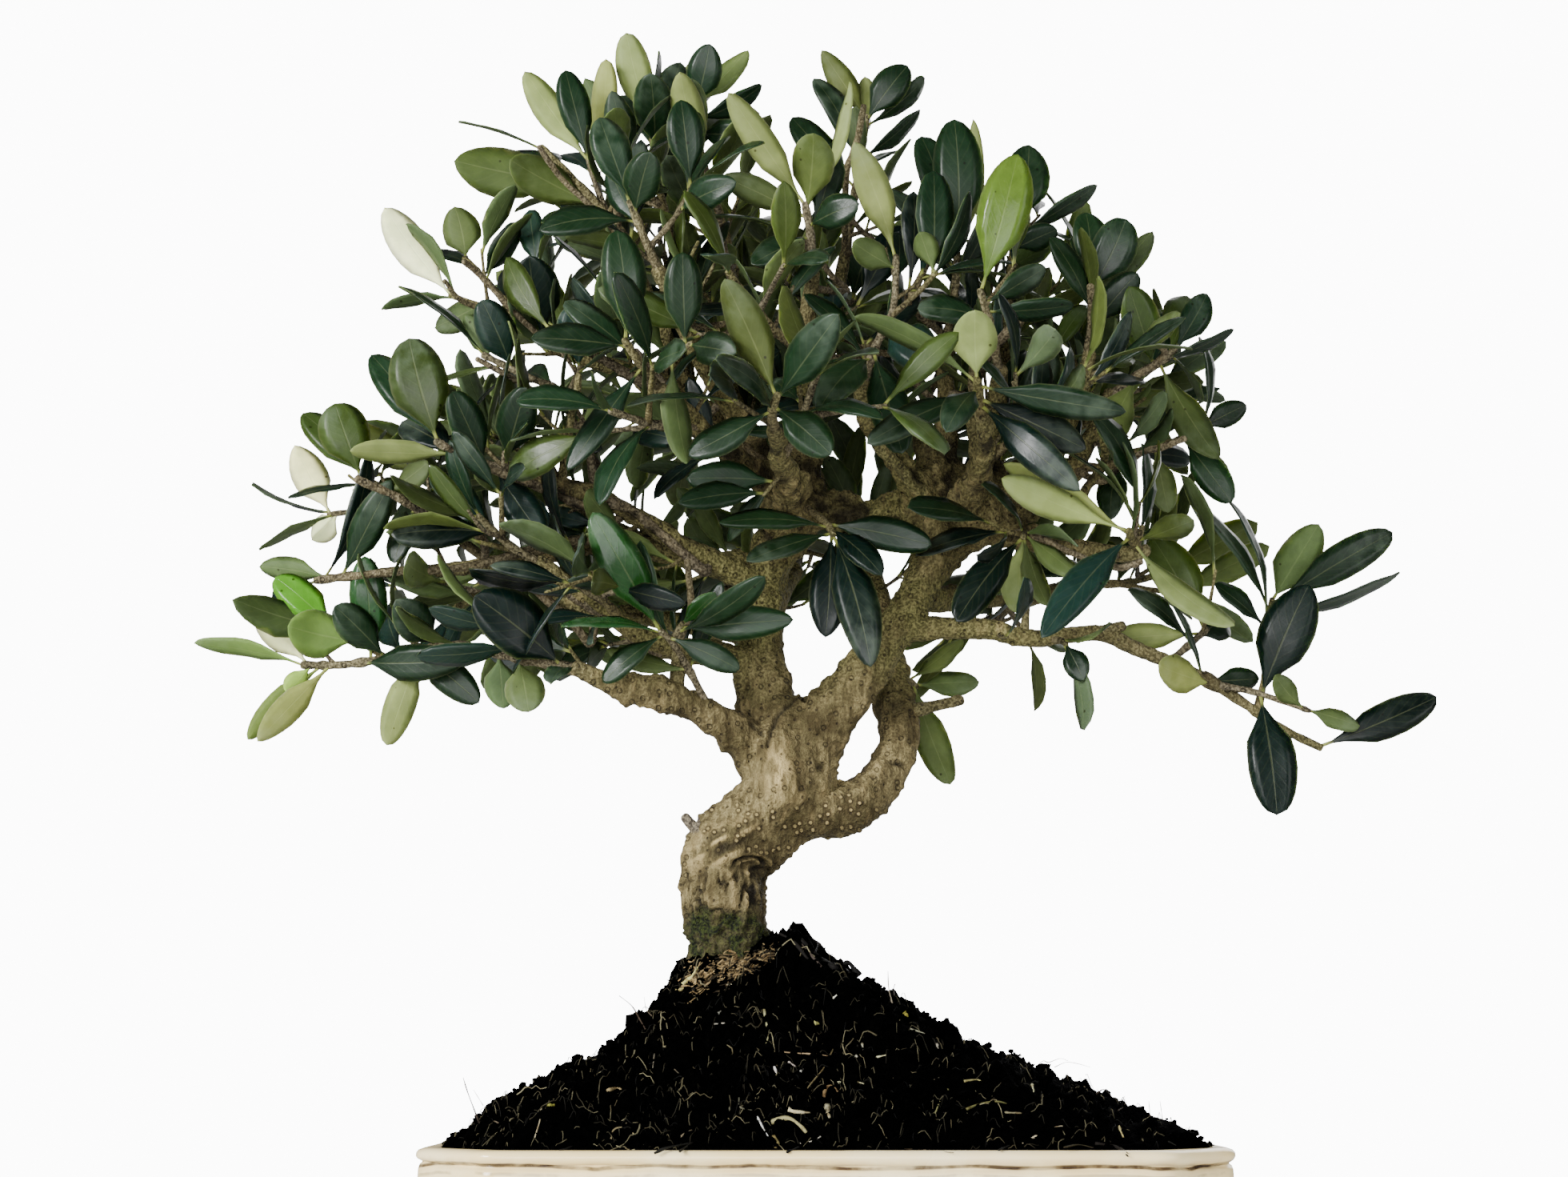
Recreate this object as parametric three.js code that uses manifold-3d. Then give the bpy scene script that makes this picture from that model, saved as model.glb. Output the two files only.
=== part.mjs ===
// Olive bonsai in a low glazed pot: a three.js model in millimetres, +Z up.
// The origin is on the ground under the middle of the pot, and the tree's front faces -Y.
import * as THREE from 'three';
import Module from 'manifold-3d';

const wasm = await Module();
wasm.setup();
const { Manifold } = wasm;
const V = (x, y, z) => new THREE.Vector3(x, y, z);

// ---- driving dimensions -----------------------------------------------------------------

const GAP = 0.3; // clearance where separate pieces meet
const POT = {
  footHeight: 8,
  floor: 8, // thickness under the soil
  depthLess: 33, // how much less deep than wide the tray is, each side
  cornerCut: 24, // leg of the cut across each corner
  holeRadius: 8, // drainage
  holeX: 62,
};
// Half widths of the pot at each height, bottom to rim outside, then rim to floor inside.
const POT_OUTSIDE = [
  [8, 111], [11, 113.5], [40, 118.5], [64, 122], [65.2, 125.2], [71, 126.4],
  [72.2, 124.8], [73.4, 127.2], [78.6, 128], [80, 127],
];
const POT_INSIDE = [[80, 121.6], [78.6, 120.6], [40, 114.5], [16, 108.5]];
const FOOT = { halfX: 20, halfY: 12, x: 84, y: 56, taper: 3 };

const TRUNK_FOOT = [-31, 1]; // where the trunk leaves the soil
// Height of the soil mound over the rim, from the trunk (0) to the pot's wall (1).
const MOUND = [
  [0, 68], [0.15, 68], [0.24, 58], [0.38, 43], [0.55, 28], [0.75, 17], [0.9, 9], [1, 0],
];
const SOIL_EDGE = 79; // soil height at the pot's wall

const BARK_RIDGES = 0.06; // swelling of thick limbs, share of the radius
const CROWN_CENTRE = V(-5, 0, 300);

const LEAF = {
  keel: 0.75, // depth of the midrib under the blade's edges' line
  fold: 0.1, // rise of the edges, share of the half width
  arch: 0.06, // rise of the middle, share of the length
  inset: 1.6, // nearest that a leaf's root comes to its twig's end
  apart: 1.5, // distance between the roots of leaves that aren't a pair
  step: 21, // distance between leaf pairs along a twig
  short: 27, long: 40, // leaf lengths drawn by the rule
  slim: 0.34, broad: 0.44, // width over length
  wide: 15.2, // a blade over this width gets one more section
  enough: 3, // a twig with this many leaves set by hand gets none by the rule
};
// Places along the blade and the share of the half width there.
const WIDE_BLADE = [[0.14, 0.13], [0.45, 0.97], [0.8, 0.76]];
const NARROW_BLADE = [[0.38, 0.94], [0.76, 0.84]];

const CLEAR = { leaf: 3.7, kin: 2.4, twig: 3, wood: 1.8 }; // distances kept free, in mm

// ---- the wood: limbs as [x, y, z, radius] ------------------------------------------------

const LIMBS = {
  trunk: [[-31, 2, 98, 16], [-31, 2, 120, 15], [-31, 1, 138, 13.6], [-32.5, 0, 152, 13.1],
    [-33.3, 0, 166, 14.2], [-31, 0, 178, 15.6], [-20, 0, 189, 14.4], [-12, 0, 200, 15.2],
    [-11, 1, 212, 14.6], [-10, 2, 223, 11]],
  loop: [[-8, 0, 189, 9], [5, 0, 191, 8.8], [15, 2, 196, 7.9], [22, 5, 204, 7.2], [26, 8, 213, 6.9],
    [27, 11, 222, 6.9], [26, 14, 230, 6.7], [26, 18, 238, 5.4], [25, 24, 250, 4.6], [22, 32, 270, 4],
    [17, 38, 288, 3.4]],
  loop_stub: [[29, 12, 227, 3], [40, 10, 229, 1.9], [49, 9, 231, 1.7]],
  cut_stub: [[-40, 0, 181, 2.4], [-47, 0, 189, 1.7]],
  right_limb: [[-6, -1, 208, 10.5], [2, -3, 222, 9.3], [13, -5, 236, 8.3], [23, -6, 250, 7.3],
    [30, -5, 260, 6.7], [36, -3, 272, 7], [42, 0, 284, 9.5], [45, 2, 294, 12], [44, 3, 305, 10],
    [41, 4, 318, 6.5]],
  right_burl: [[44, 0, 289, 9], [56, -2, 293, 9.5], [67, -3, 290, 6]],
  right_crest: [[48, 2, 299, 8.5], [57, 1, 306, 7], [61, 0, 313, 4]],
  middle_limb: [[-14, 4, 210, 10], [-18, 6, 225, 9.4], [-20, 8, 237, 9.6], [-21, 10, 252, 8.2],
    [-20, 12, 268, 7.4], [-17, 12, 284, 8.2], [-10, 10, 298, 11.2], [-6, 10, 310, 8]],
  burl_bridge: [[-8, 8, 300, 7.5], [16, 6, 297, 6], [40, 2, 296, 8]],
  low_left: [[-20, 0, 207, 9], [-27, -3, 216, 7.3], [-35, -8, 221, 5.8], [-44, -12, 226, 5.2],
    [-54, -16, 230, 5.3], [-65, -20, 231.5, 4.8], [-74, -24, 233, 3.4], [-83, -28, 237, 2.4]],
  low_left_snag: [[-50, -14, 229, 2.9], [-49, -15, 246, 2.3]],
  left_second: [[-20, 8, 242, 6.5], [-33, 2, 246, 4.7], [-50, -4, 247, 4.1], [-62, -8, 251, 3.7],
    [-75, -12, 260, 3.3], [-97, -18, 275, 2.6]],
  left_second_fork: [[-74, -12, 259, 2.8], [-90, -8, 264, 2.6], [-104, -6, 276, 2.3]],
  left_third: [[-18, 11, 268, 6], [-28, 5, 275, 4.6], [-40, -2, 280, 4.1], [-60, -10, 290, 3.5],
    [-80, -16, 300, 3], [-94, -18, 303, 2.7], [-107, -20, 306, 2.3]],
  left_fourth: [[-18, 12, 276, 6], [-48, 5, 282, 4.3], [-75, 3, 286, 3.7], [-90, 3, 284, 3.4],
    [-108, 4, 280, 3], [-130, 4, 277, 2.6], [-155, 4, 275, 2.3]],
  left_high: [[-12, 8, 306, 5.5], [-28, 4, 323, 4.2], [-45, 0, 337, 3.7], [-62, -4, 345, 3.2],
    [-80, -5, 350, 2.8], [-97, -4, 356, 2.3]],
  left_crown: [[-45, 0, 337, 3.3], [-55, -2, 359, 2.9], [-66, -4, 384, 2.5], [-72, -5, 398, 2.2]],
  low_right: [[28, -6, 254, 5.5], [45, -8, 254, 3.6], [58, -9, 253, 3.3], [66, -9, 251, 3.3],
    [75, -9, 250, 3], [85, -8, 251.5, 2.9], [97, -8, 252, 2.8], [108, -8, 247, 2.5],
    [120, -8, 242, 2.3], [133, -8, 236, 2.1]],
  low_right_snag: [[93, -8, 252, 2.4], [104, -9, 254.5, 1.7]],
  low_right_spur: [[70, -9, 251, 1.8], [71, -9, 261, 1.1]],
  right_front: [[64, -2, 289, 5], [85, -8, 283, 3.2], [105, -14, 279, 2.6], [112, -15, 280, 2.1]],
  front_left: [[-13, 2, 304, 5.5], [-28, -18, 311, 4], [-42, -38, 319, 3.3], [-54, -54, 327, 2.6]],
  front_middle: [[-9, 0, 301, 5.5], [-12, -20, 305, 4], [-15, -42, 309, 3.3], [-16, -62, 312, 2.6]],
  front_right: [[48, -6, 296, 5.5], [53, -24, 303, 4], [55, -42, 311, 3.3], [53, -56, 318, 2.6]],
  front_crown: [[-6, 3, 310, 5], [-8, -16, 331, 3.8], [-6, -30, 352, 3.1], [-3, -38, 372, 2.4]],
  front_left_crown: [[-14, 5, 308, 5], [-32, -12, 332, 3.8], [-46, -26, 354, 3.1],
    [-56, -36, 374, 2.4]],
  yellow_limb: [[38, -2, 302, 5.5], [26, -12, 313, 4], [17, -24, 322, 3.4], [13, -36, 334, 2.8]],
  front_right_crown: [[55, -1, 301, 5.5], [57, -10, 314, 3.9], [60, -22, 328, 3.2],
    [61, -34, 339, 2.6]],
  back_left_low: [[-20, 12, 256, 6], [-45, 34, 262, 4.1], [-70, 52, 270, 3.3], [-92, 66, 279, 2.5]],
  back_low: [[-18, 14, 266, 6], [-14, 36, 275, 4.1], [-10, 51, 284, 3.3], [-8, 64, 293, 2.5]],
  back_right_low: [[34, 0, 266, 5.5], [56, 26, 270, 3.9], [80, 44, 275, 3.2], [102, 58, 281, 2.5]],
  back_left_mid: [[-55, 5, 284, 3.6], [-80, 30, 299, 3], [-106, 46, 314, 2.4]],
  back_left_high: [[-13, 12, 306, 5.5], [-32, 36, 326, 3.9], [-52, 56, 345, 3.1], [-68, 72, 362, 2.5]],
  back_high: [[-7, 12, 306, 5.5], [-5, 36, 328, 3.9], [-4, 54, 350, 3.1], [-4, 68, 372, 2.5]],
  back_right_high: [[52, 4, 300, 5.5], [74, 30, 318, 3.9], [90, 50, 336, 3.1], [104, 64, 352, 2.5]],
  back_right_mid: [[46, 4, 298, 5.5], [42, 34, 316, 3.9], [38, 52, 334, 3.1], [40, 66, 352, 2.5]],
  top_middle: [[-6, 10, 308, 5.5], [-2, 16, 336, 3.9], [4, 14, 366, 3.1], [9, 10, 394, 2.3]],
  top_left: [[-11, 10, 305, 5.5], [-27, 14, 330, 3.9], [-38, 14, 356, 3.3], [-50, 11, 384, 2.7],
    [-53, 10, 398, 2.3]],
  top_left_fork: [[-38, 14, 356, 2.8], [-33, 8, 374, 2.5], [-31, 2, 388, 2.2]],
  top_right: [[44, 4, 308, 6], [45, 4, 326, 3.7], [44, -4, 346, 3], [44, -9, 358, 2.4]],
  top_far_right: [[55, 1, 304, 5.5], [64, 5, 330, 3.7], [66, 1, 354, 3], [66, -3, 372, 2.4]],
  right_crown: [[60, 0, 300, 5], [80, -4, 316, 3.5], [90, -10, 335, 2.9], [94, -14, 350, 2.3]],
  right_high: [[64, -2, 292, 5], [84, 1, 306, 3.6], [95, -2, 322, 3], [102, -6, 338, 2.4]],
};

// ---- the leafy shoots --------------------------------------------------------------------
// Each has twigs, as [radius, point, point, ...], the first of which starts inside the wood
// and the others on the twigs before them; and leaves set by hand, as
// [twig, place along it, tip x, tip y, tip z, width, turn], where turn 0 shows the leaf's
// face to the front, 180 its back and 90 its edge. A rule fills the rest of each twig.

const SHOOTS = [
  ['low_right_end', [
    [2.1, [131, -8, 237], [145, -8, 228], [158, -8, 219], [172, -8, 212]],
    [1.3, [136, -8, 234], [147, -14, 231], [158, -16, 227], [167, -15, 224]],
    [1.4, [150, -8, 225], [154, -4, 240], [155, -2, 254], [158, 0, 266]],
  ], [
    [0, 1, 212, -8, 230, 13, 0], [1, 0.42, 153, -22, 188, 17, 0], [1, 1, 184, -12, 219, 8, 170],
    [1, 0.95, 153, -26, 235, 8, 165], [0, 0.1, 109, -20, 238, 13, 175], [0, 0.12, 152, -3, 237, 9, 20],
    [0, 0.08, 121, -14, 262, 9, 60], [2, 0.08, 168, -15, 268, 19, 0], [2, 1, 176, 4, 293, 15, 175],
    [2, 0.98, 203, 8, 291, 13, 10], [2, 0.8, 206, 12, 277, 9, 70], [2, 0.93, 133, -8, 296, 12, 45],
    [2, 0.95, 144, 0, 301, 10, 62], [2, 0.8, 140, -10, 271, 10, 30],
  ]],
  ['low_right_inner', [
    [1.5, [120, -8, 242], [127, -4, 248], [135, -2, 255]],
  ], [
    [0, 1, 117, 3, 288, 17, 0], [0, 0.6, 106, -12, 267, 10, 30], [0, 0.85, 108, -16, 251, 10, 170],
    [0, 0.95, 143, 12, 262, 14, 20],
  ]],
  ['low_right_hanging', [
    [1.2, [78, -9, 250], [82, -13, 249], [84, -16, 247]],
  ], [[0, 1, 89, -20, 234, 9, 10]]],
  ['loop_back', [
    [1.3, [26, 20, 240], [31, 25, 241], [35, 27, 238]],
  ], [
    [0, 0.9, 57, 28, 240, 11, 165], [0, 0.6, 52, 34, 253, 9, 150], [0, 1, 46, 25, 203, 13, 170],
  ]],
  ['right_front_end', [
    [1.7, [110, -15, 280], [106, -24, 282], [104, -32, 284]],
    [1.3, [108, -19, 281], [110, -24, 287]],
  ], [
    [0, 1, 60, -44, 299, 12, 165], [0, 0.75, 62, -32, 307, 11, 130], [1, 1, 83, -30, 312, 10, 70],
    [1, 0.8, 121, -26, 286, 9, 72], [0, 0.8, 72, -50, 244, 13, 0], [0, 0.35, 138, -36, 250, 11, 165],
  ]],
  ['right_front_mid', [
    [1.4, [70, -4, 288], [70, -14, 286], [69, -22, 283]],
  ], [
    [0, 1, 45, -34, 252, 13, 0], [0, 0.7, 66, -22, 257, 12, 170], [0, 0.8, 74, -18, 259, 10, 150],
    [0, 0.9, 88, -26, 268, 10, 160],
  ]],
  ['centre_hanging', [
    [1.5, [-7, 3, 300], [1, -16, 290], [4, -26, 283]],
  ], [
    [0, 0.85, 1, -32, 247, 14, 0], [0, 1, 16, -34, 235, 15, 0], [0, 0.6, 37, -30, 279, 12, 10],
    [0, 0.7, -35, -34, 286, 9, 20], [0, 0.9, -26, -40, 268, 10, 20],
  ]],
  ['low_left_glossy', [
    [1.5, [-37, -9, 222], [-45, -20, 237], [-51, -29, 246], [-55, -34, 249]],
    [1.1, [-51, -28, 246], [-47, -34, 252]],
  ], [
    [0, 1, -78, -40, 287, 15, 0], [0, 0.98, -87, -44, 249, 10, 50], [0, 0.85, -74, -30, 232, 10, 20],
    [1, 1, -36, -38, 261, 8, 40], [1, 0.9, -10, -44, 251, 12, 10], [1, 0.6, -20, -46, 272, 10, 35],
    [0, 0.75, -28, -32, 236, 9, 15],
  ]],
  ['low_left_end', [
    [2, [-81, -27, 236], [-103, -25, 241], [-126, -19, 246], [-148, -13, 243], [-165, -9, 241],
      [-180, -8, 241]],
    [1.2, [-150, -13, 243], [-160, -8, 249], [-170, -6, 254]],
  ], [
    [0, 1, -217, -8, 249, 9, 55], [0, 0.98, -198, 0, 263, 13, 175], [0, 0.95, -184, -12, 231, 8, 160],
    [0, 0.9, -197, -10, 215, 9, 150], [0, 0.86, -193, -16, 212, 10, 165], [1, 0.5, -183, -18, 253, 17, 170],
    [1, 1, -191, -2, 273, 13, 10], [0, 0.68, -157, -20, 277, 13, 5], [0, 0.72, -121, -26, 240, 13, 15],
    [0, 0.5, -148, -18, 212, 11, 172], [0, 0.52, -121, -30, 229, 12, 10], [0, 0.45, -146, -26, 261, 14, 0],
    [0, 0.26, -108, -22, 224, 12, 172], [0, 0.2, -99, -28, 222, 14, 170], [0, 0.06, -116, -44, 259, 21, 8],
    [0, 0.04, -88, -34, 222, 9, 10], [0, 0.62, -166, -24, 259, 13, 8],
  ]],
  ['left_fourth_end', [
    [1.9, [-153, 4, 275], [-166, 2, 274], [-178, 0, 272]],
  ], [
    [0, 1, -195, 4, 264, 13, 10], [0, 0.85, -162, -6, 317, 10, 55], [0, 0.6, -149, -8, 307, 12, 12],
    [0, 0.4, -153, 0, 262, 10, 12], [0, 0.95, -199, 10, 279, 9, 150],
  ]],
  ['left_mid_outer', [
    [1.8, [-116, 4, 279], [-133, 0, 291], [-148, -3, 301], [-163, -4, 309]],
    [1.2, [-150, -3, 302], [-164, 3, 298], [-175, 6, 297]],
  ], [
    [0, 1, -171, -8, 334, 18, 8], [0, 0.96, -184, 2, 333, 15, 20], [0, 0.97, -186, -10, 300, 9, 55],
    [1, 1, -188, 10, 323, 13, 178], [1, 0.8, -181, 12, 289, 10, 175], [0, 0.75, -137, -10, 312, 12, 165],
    [0, 0.55, -150, -14, 284, 11, 20], [0, 0.4, -118, -12, 296, 12, 10],
  ]],
  ['left_third_end', [
    [1.9, [-104, -19, 305], [-115, -23, 308], [-124, -26, 311], [-133, -28, 316]],
    [1.3, [-109, -21, 306], [-109, -28, 312]],
  ], [
    [0, 1, -142, -32, 351, 20, 0], [0, 0.7, -160, -38, 310, 9, 140], [0, 0.9, -157, -18, 349, 15, 10],
    [1, 1, -107, -36, 356, 10, 80], [1, 0.7, -100, -34, 334, 14, 8], [0, 0.35, -126, -36, 331, 13, 10],
    [0, 0.25, -98, -38, 286, 13, 5],
  ]],
  ['left_high_mid', [
    [1.8, [-78, -15, 299], [-81, -20, 316], [-88, -24, 332], [-103, -24, 340], [-118, -22, 348]],
    [1.2, [-88, -24, 332], [-83, -30, 342]],
  ], [
    [0, 1, -148, -18, 374, 9, 55], [0, 0.97, -125, -26, 361, 8, 165], [1, 1, -84, -38, 362, 15, 5],
    [0, 0.82, -117, -34, 364, 14, 8], [0, 0.6, -124, -36, 330, 13, 15],
  ]],
  ['left_high_end', [
    [1.8, [-95, -4, 355], [-108, -3, 368], [-118, -2, 379], [-128, 0, 390]],
    [1.3, [-107, -3, 367], [-120, -2, 371], [-133, 0, 376]],
  ], [
    [1, 1, -157, 2, 409, 14, 178], [0, 0.98, -132, 4, 410, 14, 175], [0, 0.85, -140, 10, 404, 10, 30],
    [0, 0.06, -102, -24, 383, 19, 5], [1, 0.55, -139, 12, 367, 11, 168], [0, 0.75, -108, -12, 399, 11, 60],
  ]],
  ['left_crown_end', [
    [2, [-71, -5, 396], [-80, -5, 408], [-90, -4, 419], [-101, -2, 431]],
    [1.3, [-76, -5, 404], [-81, -2, 417], [-84, 2, 428]],
  ], [
    [0, 0.55, -131, -8, 423, 19, 170], [0, 0.3, -110, -18, 420, 15, 168], [0, 1, -131, 2, 442, 9, 65],
    [0, 0.8, -118, 8, 428, 12, 15], [1, 1, -108, 8, 463, 12, 178], [1, 0.96, -92, -4, 459, 12, 5],
    [1, 0.85, -78, 6, 467, 10, 170], [0, 0.1, -98, -22, 396, 12, 20],
  ]],
  ['top_left_end', [
    [1.9, [-52, 10, 395], [-57, 9, 412], [-60, 8, 428], [-61, 8, 444]],
    [1.3, [-57, 9, 412], [-68, 4, 420], [-74, 2, 430]],
  ], [
    [0, 1, -71, 8, 478, 13, 176], [1, 1, -58, -2, 467, 9, 75], [0, 0.75, -62, -8, 458, 15, 5],
    [0, 0.85, -52, 16, 467, 12, 10], [1, 0.7, -76, -10, 449, 12, 12],
  ]],
  ['top_left_inner', [
    [1.7, [-31, 3, 386], [-36, -2, 405], [-41, -5, 420], [-45, 2, 440], [-46, 8, 452]],
  ], [
    [0, 0.5, -50, -20, 452, 12, 174], [0, 1, -50, 14, 474, 8, 175], [0, 0.96, -26, 8, 471, 10, 168],
    [0, 0.9, -40, -4, 469, 13, 5], [0, 0.7, -24, -10, 432, 11, 25], [0, 0.79, -21, 6, 457, 9, 60],
  ]],
  ['top_middle_end', [
    [1.8, [9, 10, 392], [12, 9, 412], [15, 7, 430], [17, 6, 446]],
  ], [
    [0, 1, 1, 10, 472, 10, 170], [0, 0.98, 32, 2, 463, 13, 8], [0, 0.92, 39, 14, 463, 9, 60],
    [0, 1, 17, 16, 464, 8, 176], [0, 0.6, -2, 4, 459, 11, 15], [0, 0.45, -10, 20, 450, 13, 8],
    [0, 0.65, 37, 10, 449, 9, 65],
  ]],
  ['front_crown_end', [
    [1.7, [-3, -37, 370], [-4, -43, 384], [-6, -47, 395]],
  ], [
    [0, 1, -32, -52, 432, 11, 172], [0, 0.95, 10, -46, 438, 9, 130], [0, 1, -3, -62, 414, 15, 168],
    [0, 0.8, -34, -56, 401, 10, 150], [0, 0.75, 12, -60, 390, 12, 15], [0, 0.5, -24, -50, 372, 12, 10],
  ]],
  ['yellow_limb_end', [
    [1.7, [13, -35, 332], [18, -42, 345], [24, -46, 358], [25, -48, 376]],
    [1.1, [22, -45, 354], [32, -48, 362], [39, -49, 370]],
  ], [
    [0, 1, 11, -56, 413, 12, 174], [0, 0.94, 10, -58, 377, 10, 160], [1, 1, 33, -54, 382, 9, 150],
    [0, 0.5, 36, -60, 334, 16, 10], [0, 0.3, 26, -60, 304, 14, 5], [0, 0.25, -2, -56, 316, 15, 8],
    [1, 0.8, 50, -54, 396, 10, 55],
  ]],
  ['front_right_crown_end', [
    [1.8, [61, -33, 337], [57, -44, 351], [53, -51, 363]],
  ], [
    [0, 1, 66, -58, 408, 18, 4], [0, 0.7, 85, -48, 358, 10, 60], [0, 0.6, 32, -52, 356, 12, 12],
    [0, 0.8, 76, -46, 372, 10, 40],
  ]],
  ['top_right_end', [
    [1.7, [44, -8, 356], [47, -14, 373], [48, -17, 388]],
  ], [
    [0, 1, 47, -24, 433, 18, 2], [0, 0.85, 36, -12, 431, 15, 8], [0, 0.95, 56, 4, 443, 9, 150],
    [0, 0.7, 24, -10, 412, 11, 20], [0, 0.6, 62, -20, 403, 10, 45],
  ]],
  ['top_far_right_end', [
    [1.7, [66, -2, 370], [68, -4, 386], [70, -5, 399]],
  ], [
    [0, 1, 75, -6, 430, 17, 4], [0, 0.95, 99, -8, 414, 9, 65], [0, 0.7, 84, -10, 397, 10, 30],
    [0, 0.8, 50, 2, 422, 11, 20],
  ]],
  ['right_crown_end', [
    [1.7, [94, -14, 348], [95, -15, 362], [95, -16, 376]],
  ], [
    [0, 1, 94, -14, 402, 13, 10], [0, 0.97, 107, -22, 397, 16, 4], [0, 0.92, 118, -10, 396, 11, 165],
    [0, 0.85, 90, 4, 421, 9, 55], [0, 0.6, 80, -26, 389, 11, 20], [0, 0.4, 110, -26, 376, 11, 15],
  ]],
  ['right_high_end', [
    [1.7, [102, -6, 336], [110, -10, 343], [118, -12, 347], [125, -12, 353]],
  ], [
    [0, 0.62, 104, -20, 372, 15, 4], [0, 0.7, 137, -20, 311, 14, 172], [0, 1, 137, -8, 374, 11, 12],
    [0, 0.9, 132, -2, 378, 15, 2], [0, 1, 145, -14, 359, 7, 70], [0, 0.4, 97, -30, 314, 13, 170],
  ]],
  ['right_mid_end', [
    [1.8, [90, -1, 313], [100, -4, 312], [112, -6, 317], [125, -6, 321], [136, -6, 327]],
  ], [
    [0, 1, 139, -6, 359, 9, 60], [0, 0.98, 150, -6, 334, 9, 10], [0, 0.8, 143, -10, 298, 12, 6],
    [0, 0.85, 145, 2, 309, 9, 160], [0, 0.6, 122, -2, 296, 11, 170], [0, 0.35, 100, -14, 291, 11, 20],
    [0, 0.5, 128, 10, 343, 12, 10],
  ]],
  ['front_right_end', [
    [1.8, [53, -55, 317], [51, -66, 323], [50, -73, 326]],
  ], [
    [0, 1, 49, -84, 346, 15, 172], [0, 0.9, 10, -84, 344, 9, 120], [0, 0.95, 98, -76, 314, 11, 40],
    [0, 0.8, 39, -86, 305, 11, 8], [0, 0.5, 14, -74, 304, 11, 10], [0, 0.6, 86, -66, 304, 14, 5],
    [0, 0.7, 82, -80, 287, 12, 25],
  ]],
  ['front_middle_end', [
    [1.8, [-16, -61, 312], [-17, -74, 314], [-15, -84, 318]],
  ], [
    [0, 0.9, -32, -92, 354, 14, 155], [0, 1, 4, -110, 337, 14, 10], [0, 0.7, 2, -84, 298, 13, 5],
    [0, 0.6, -44, -74, 300, 12, 12], [0, 0.95, -34, -116, 321, 12, 15],
  ]],
  ['front_left_end', [
    [1.8, [-53, -53, 326], [-60, -62, 333], [-66, -68, 341]],
    [1.2, [-58, -59, 331], [-50, -68, 334], [-43, -74, 338]],
  ], [
    [0, 1, -68, -74, 376, 15, 5], [0, 0.5, -84, -66, 297, 11, 20], [1, 0.5, -45, -70, 298, 11, 150],
    [0, 0.9, -96, -72, 340, 13, 10], [1, 1, -26, -84, 330, 12, 12], [1, 0.9, -46, -82, 366, 13, 8],
    [0, 0.7, -86, -60, 356, 12, 25],
  ]],
  ['front_left_crown_end', [
    [1.8, [-55, -35, 372], [-61, -42, 384], [-66, -46, 396]],
    [1.2, [-59, -40, 381], [-50, -46, 390], [-44, -50, 400]],
  ], [
    [0, 1, -76, -50, 424, 14, 8], [0, 0.7, -96, -50, 384, 13, 12], [1, 1, -48, -56, 428, 13, 8],
    [0, 0.8, -58, -60, 408, 13, 6], [1, 0.6, -26, -56, 398, 12, 15],
  ]],
  // Shoots with no leaf set by hand: a middle twig from the first point to the second, with
  // two side twigs that the rule adds.
  ['front_left_side', [-42, -38, 319], [-70, -74, 315]],
  ['front_middle_side', [-14, -34, 307], [-2, -82, 326]],
  ['front_right_side', [54, -32, 307], [88, -56, 334]],
  ['front_crown_side', [-6, -26, 346], [-32, -62, 366]],
  ['left_second_end', [-96, -18, 274], [-118, -28, 290]],
  ['left_second_fork_end', [-103, -6, 275], [-128, -2, 262]],
  ['left_second_front', [-70, -11, 257], [-78, -38, 268]],
  ['back_left_low_end', [-91, 65, 279], [-124, 75, 291]],
  ['back_left_low_side', [-64, 48, 268], [-74, 78, 262]],
  ['back_low_end', [-8, 63, 293], [-4, 84, 306]],
  ['back_low_side', [-12, 46, 279], [-40, 76, 286]],
  ['back_right_low_end', [101, 57, 281], [134, 76, 290]],
  ['back_right_low_side', [74, 40, 273], [62, 74, 270]],
  ['back_left_mid_end', [-105, 45, 313], [-138, 58, 328]],
  ['back_left_mid_side', [-84, 33, 301], [-112, 30, 334]],
  ['back_left_high_end', [-67, 71, 361], [-92, 88, 386]],
  ['back_left_high_side', [-48, 52, 341], [-38, 82, 346]],
  ['back_high_end', [-4, 67, 371], [-8, 74, 405]],
  ['back_high_side', [-4, 52, 348], [18, 80, 358]],
  ['back_right_high_end', [103, 63, 351], [126, 78, 372]],
  ['back_right_high_side', [86, 45, 331], [112, 30, 350]],
  ['back_right_mid_end', [40, 65, 351], [50, 80, 381]],
  ['back_right_mid_side', [40, 45, 326], [68, 72, 324]],
  ['top_back_left', [-44, 13, 370], [-60, 42, 410]],
  ['top_back_middle', [2, 15, 360], [-6, 42, 400]],
  ['top_back_right', [65, 3, 346], [62, 40, 392]],
  ['loop_end', [18, 36, 284], [8, 62, 306]],
];

const SIDE_TWIGS = [[0.32, 1], [0.58, -1]]; // place on the middle twig, and side
const SIDE_SPREAD = THREE.MathUtils.degToRad(52);
const DODGES = [0, 24, -24, 48, -48, 72, -72]; // degrees by which the rule turns a leaf clear
const SHIFTS = [0, 5, -5, 10, -10, 16]; // mm by which a leaf set by hand leans clear

// ---- small helpers -----------------------------------------------------------------------

function seeded(seed) { // mulberry32: the same draws on every run
  let state = seed >>> 0;
  return () => {
    state = (state + 0x6d2b79f5) >>> 0;
    let t = Math.imul(state ^ (state >>> 15), state | 1);
    t ^= t + Math.imul(t ^ (t >>> 7), t | 61);
    return ((t ^ (t >>> 14)) >>> 0) / 4294967296;
  };
}

function solid(points, faces) {
  const vertProperties = new Float32Array(points.flatMap((p) => [p.x, p.y, p.z]));
  const triVerts = new Uint32Array(faces.flat());
  return new Manifold(new wasm.Mesh({ numProp: 3, vertProperties, triVerts }));
}

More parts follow.
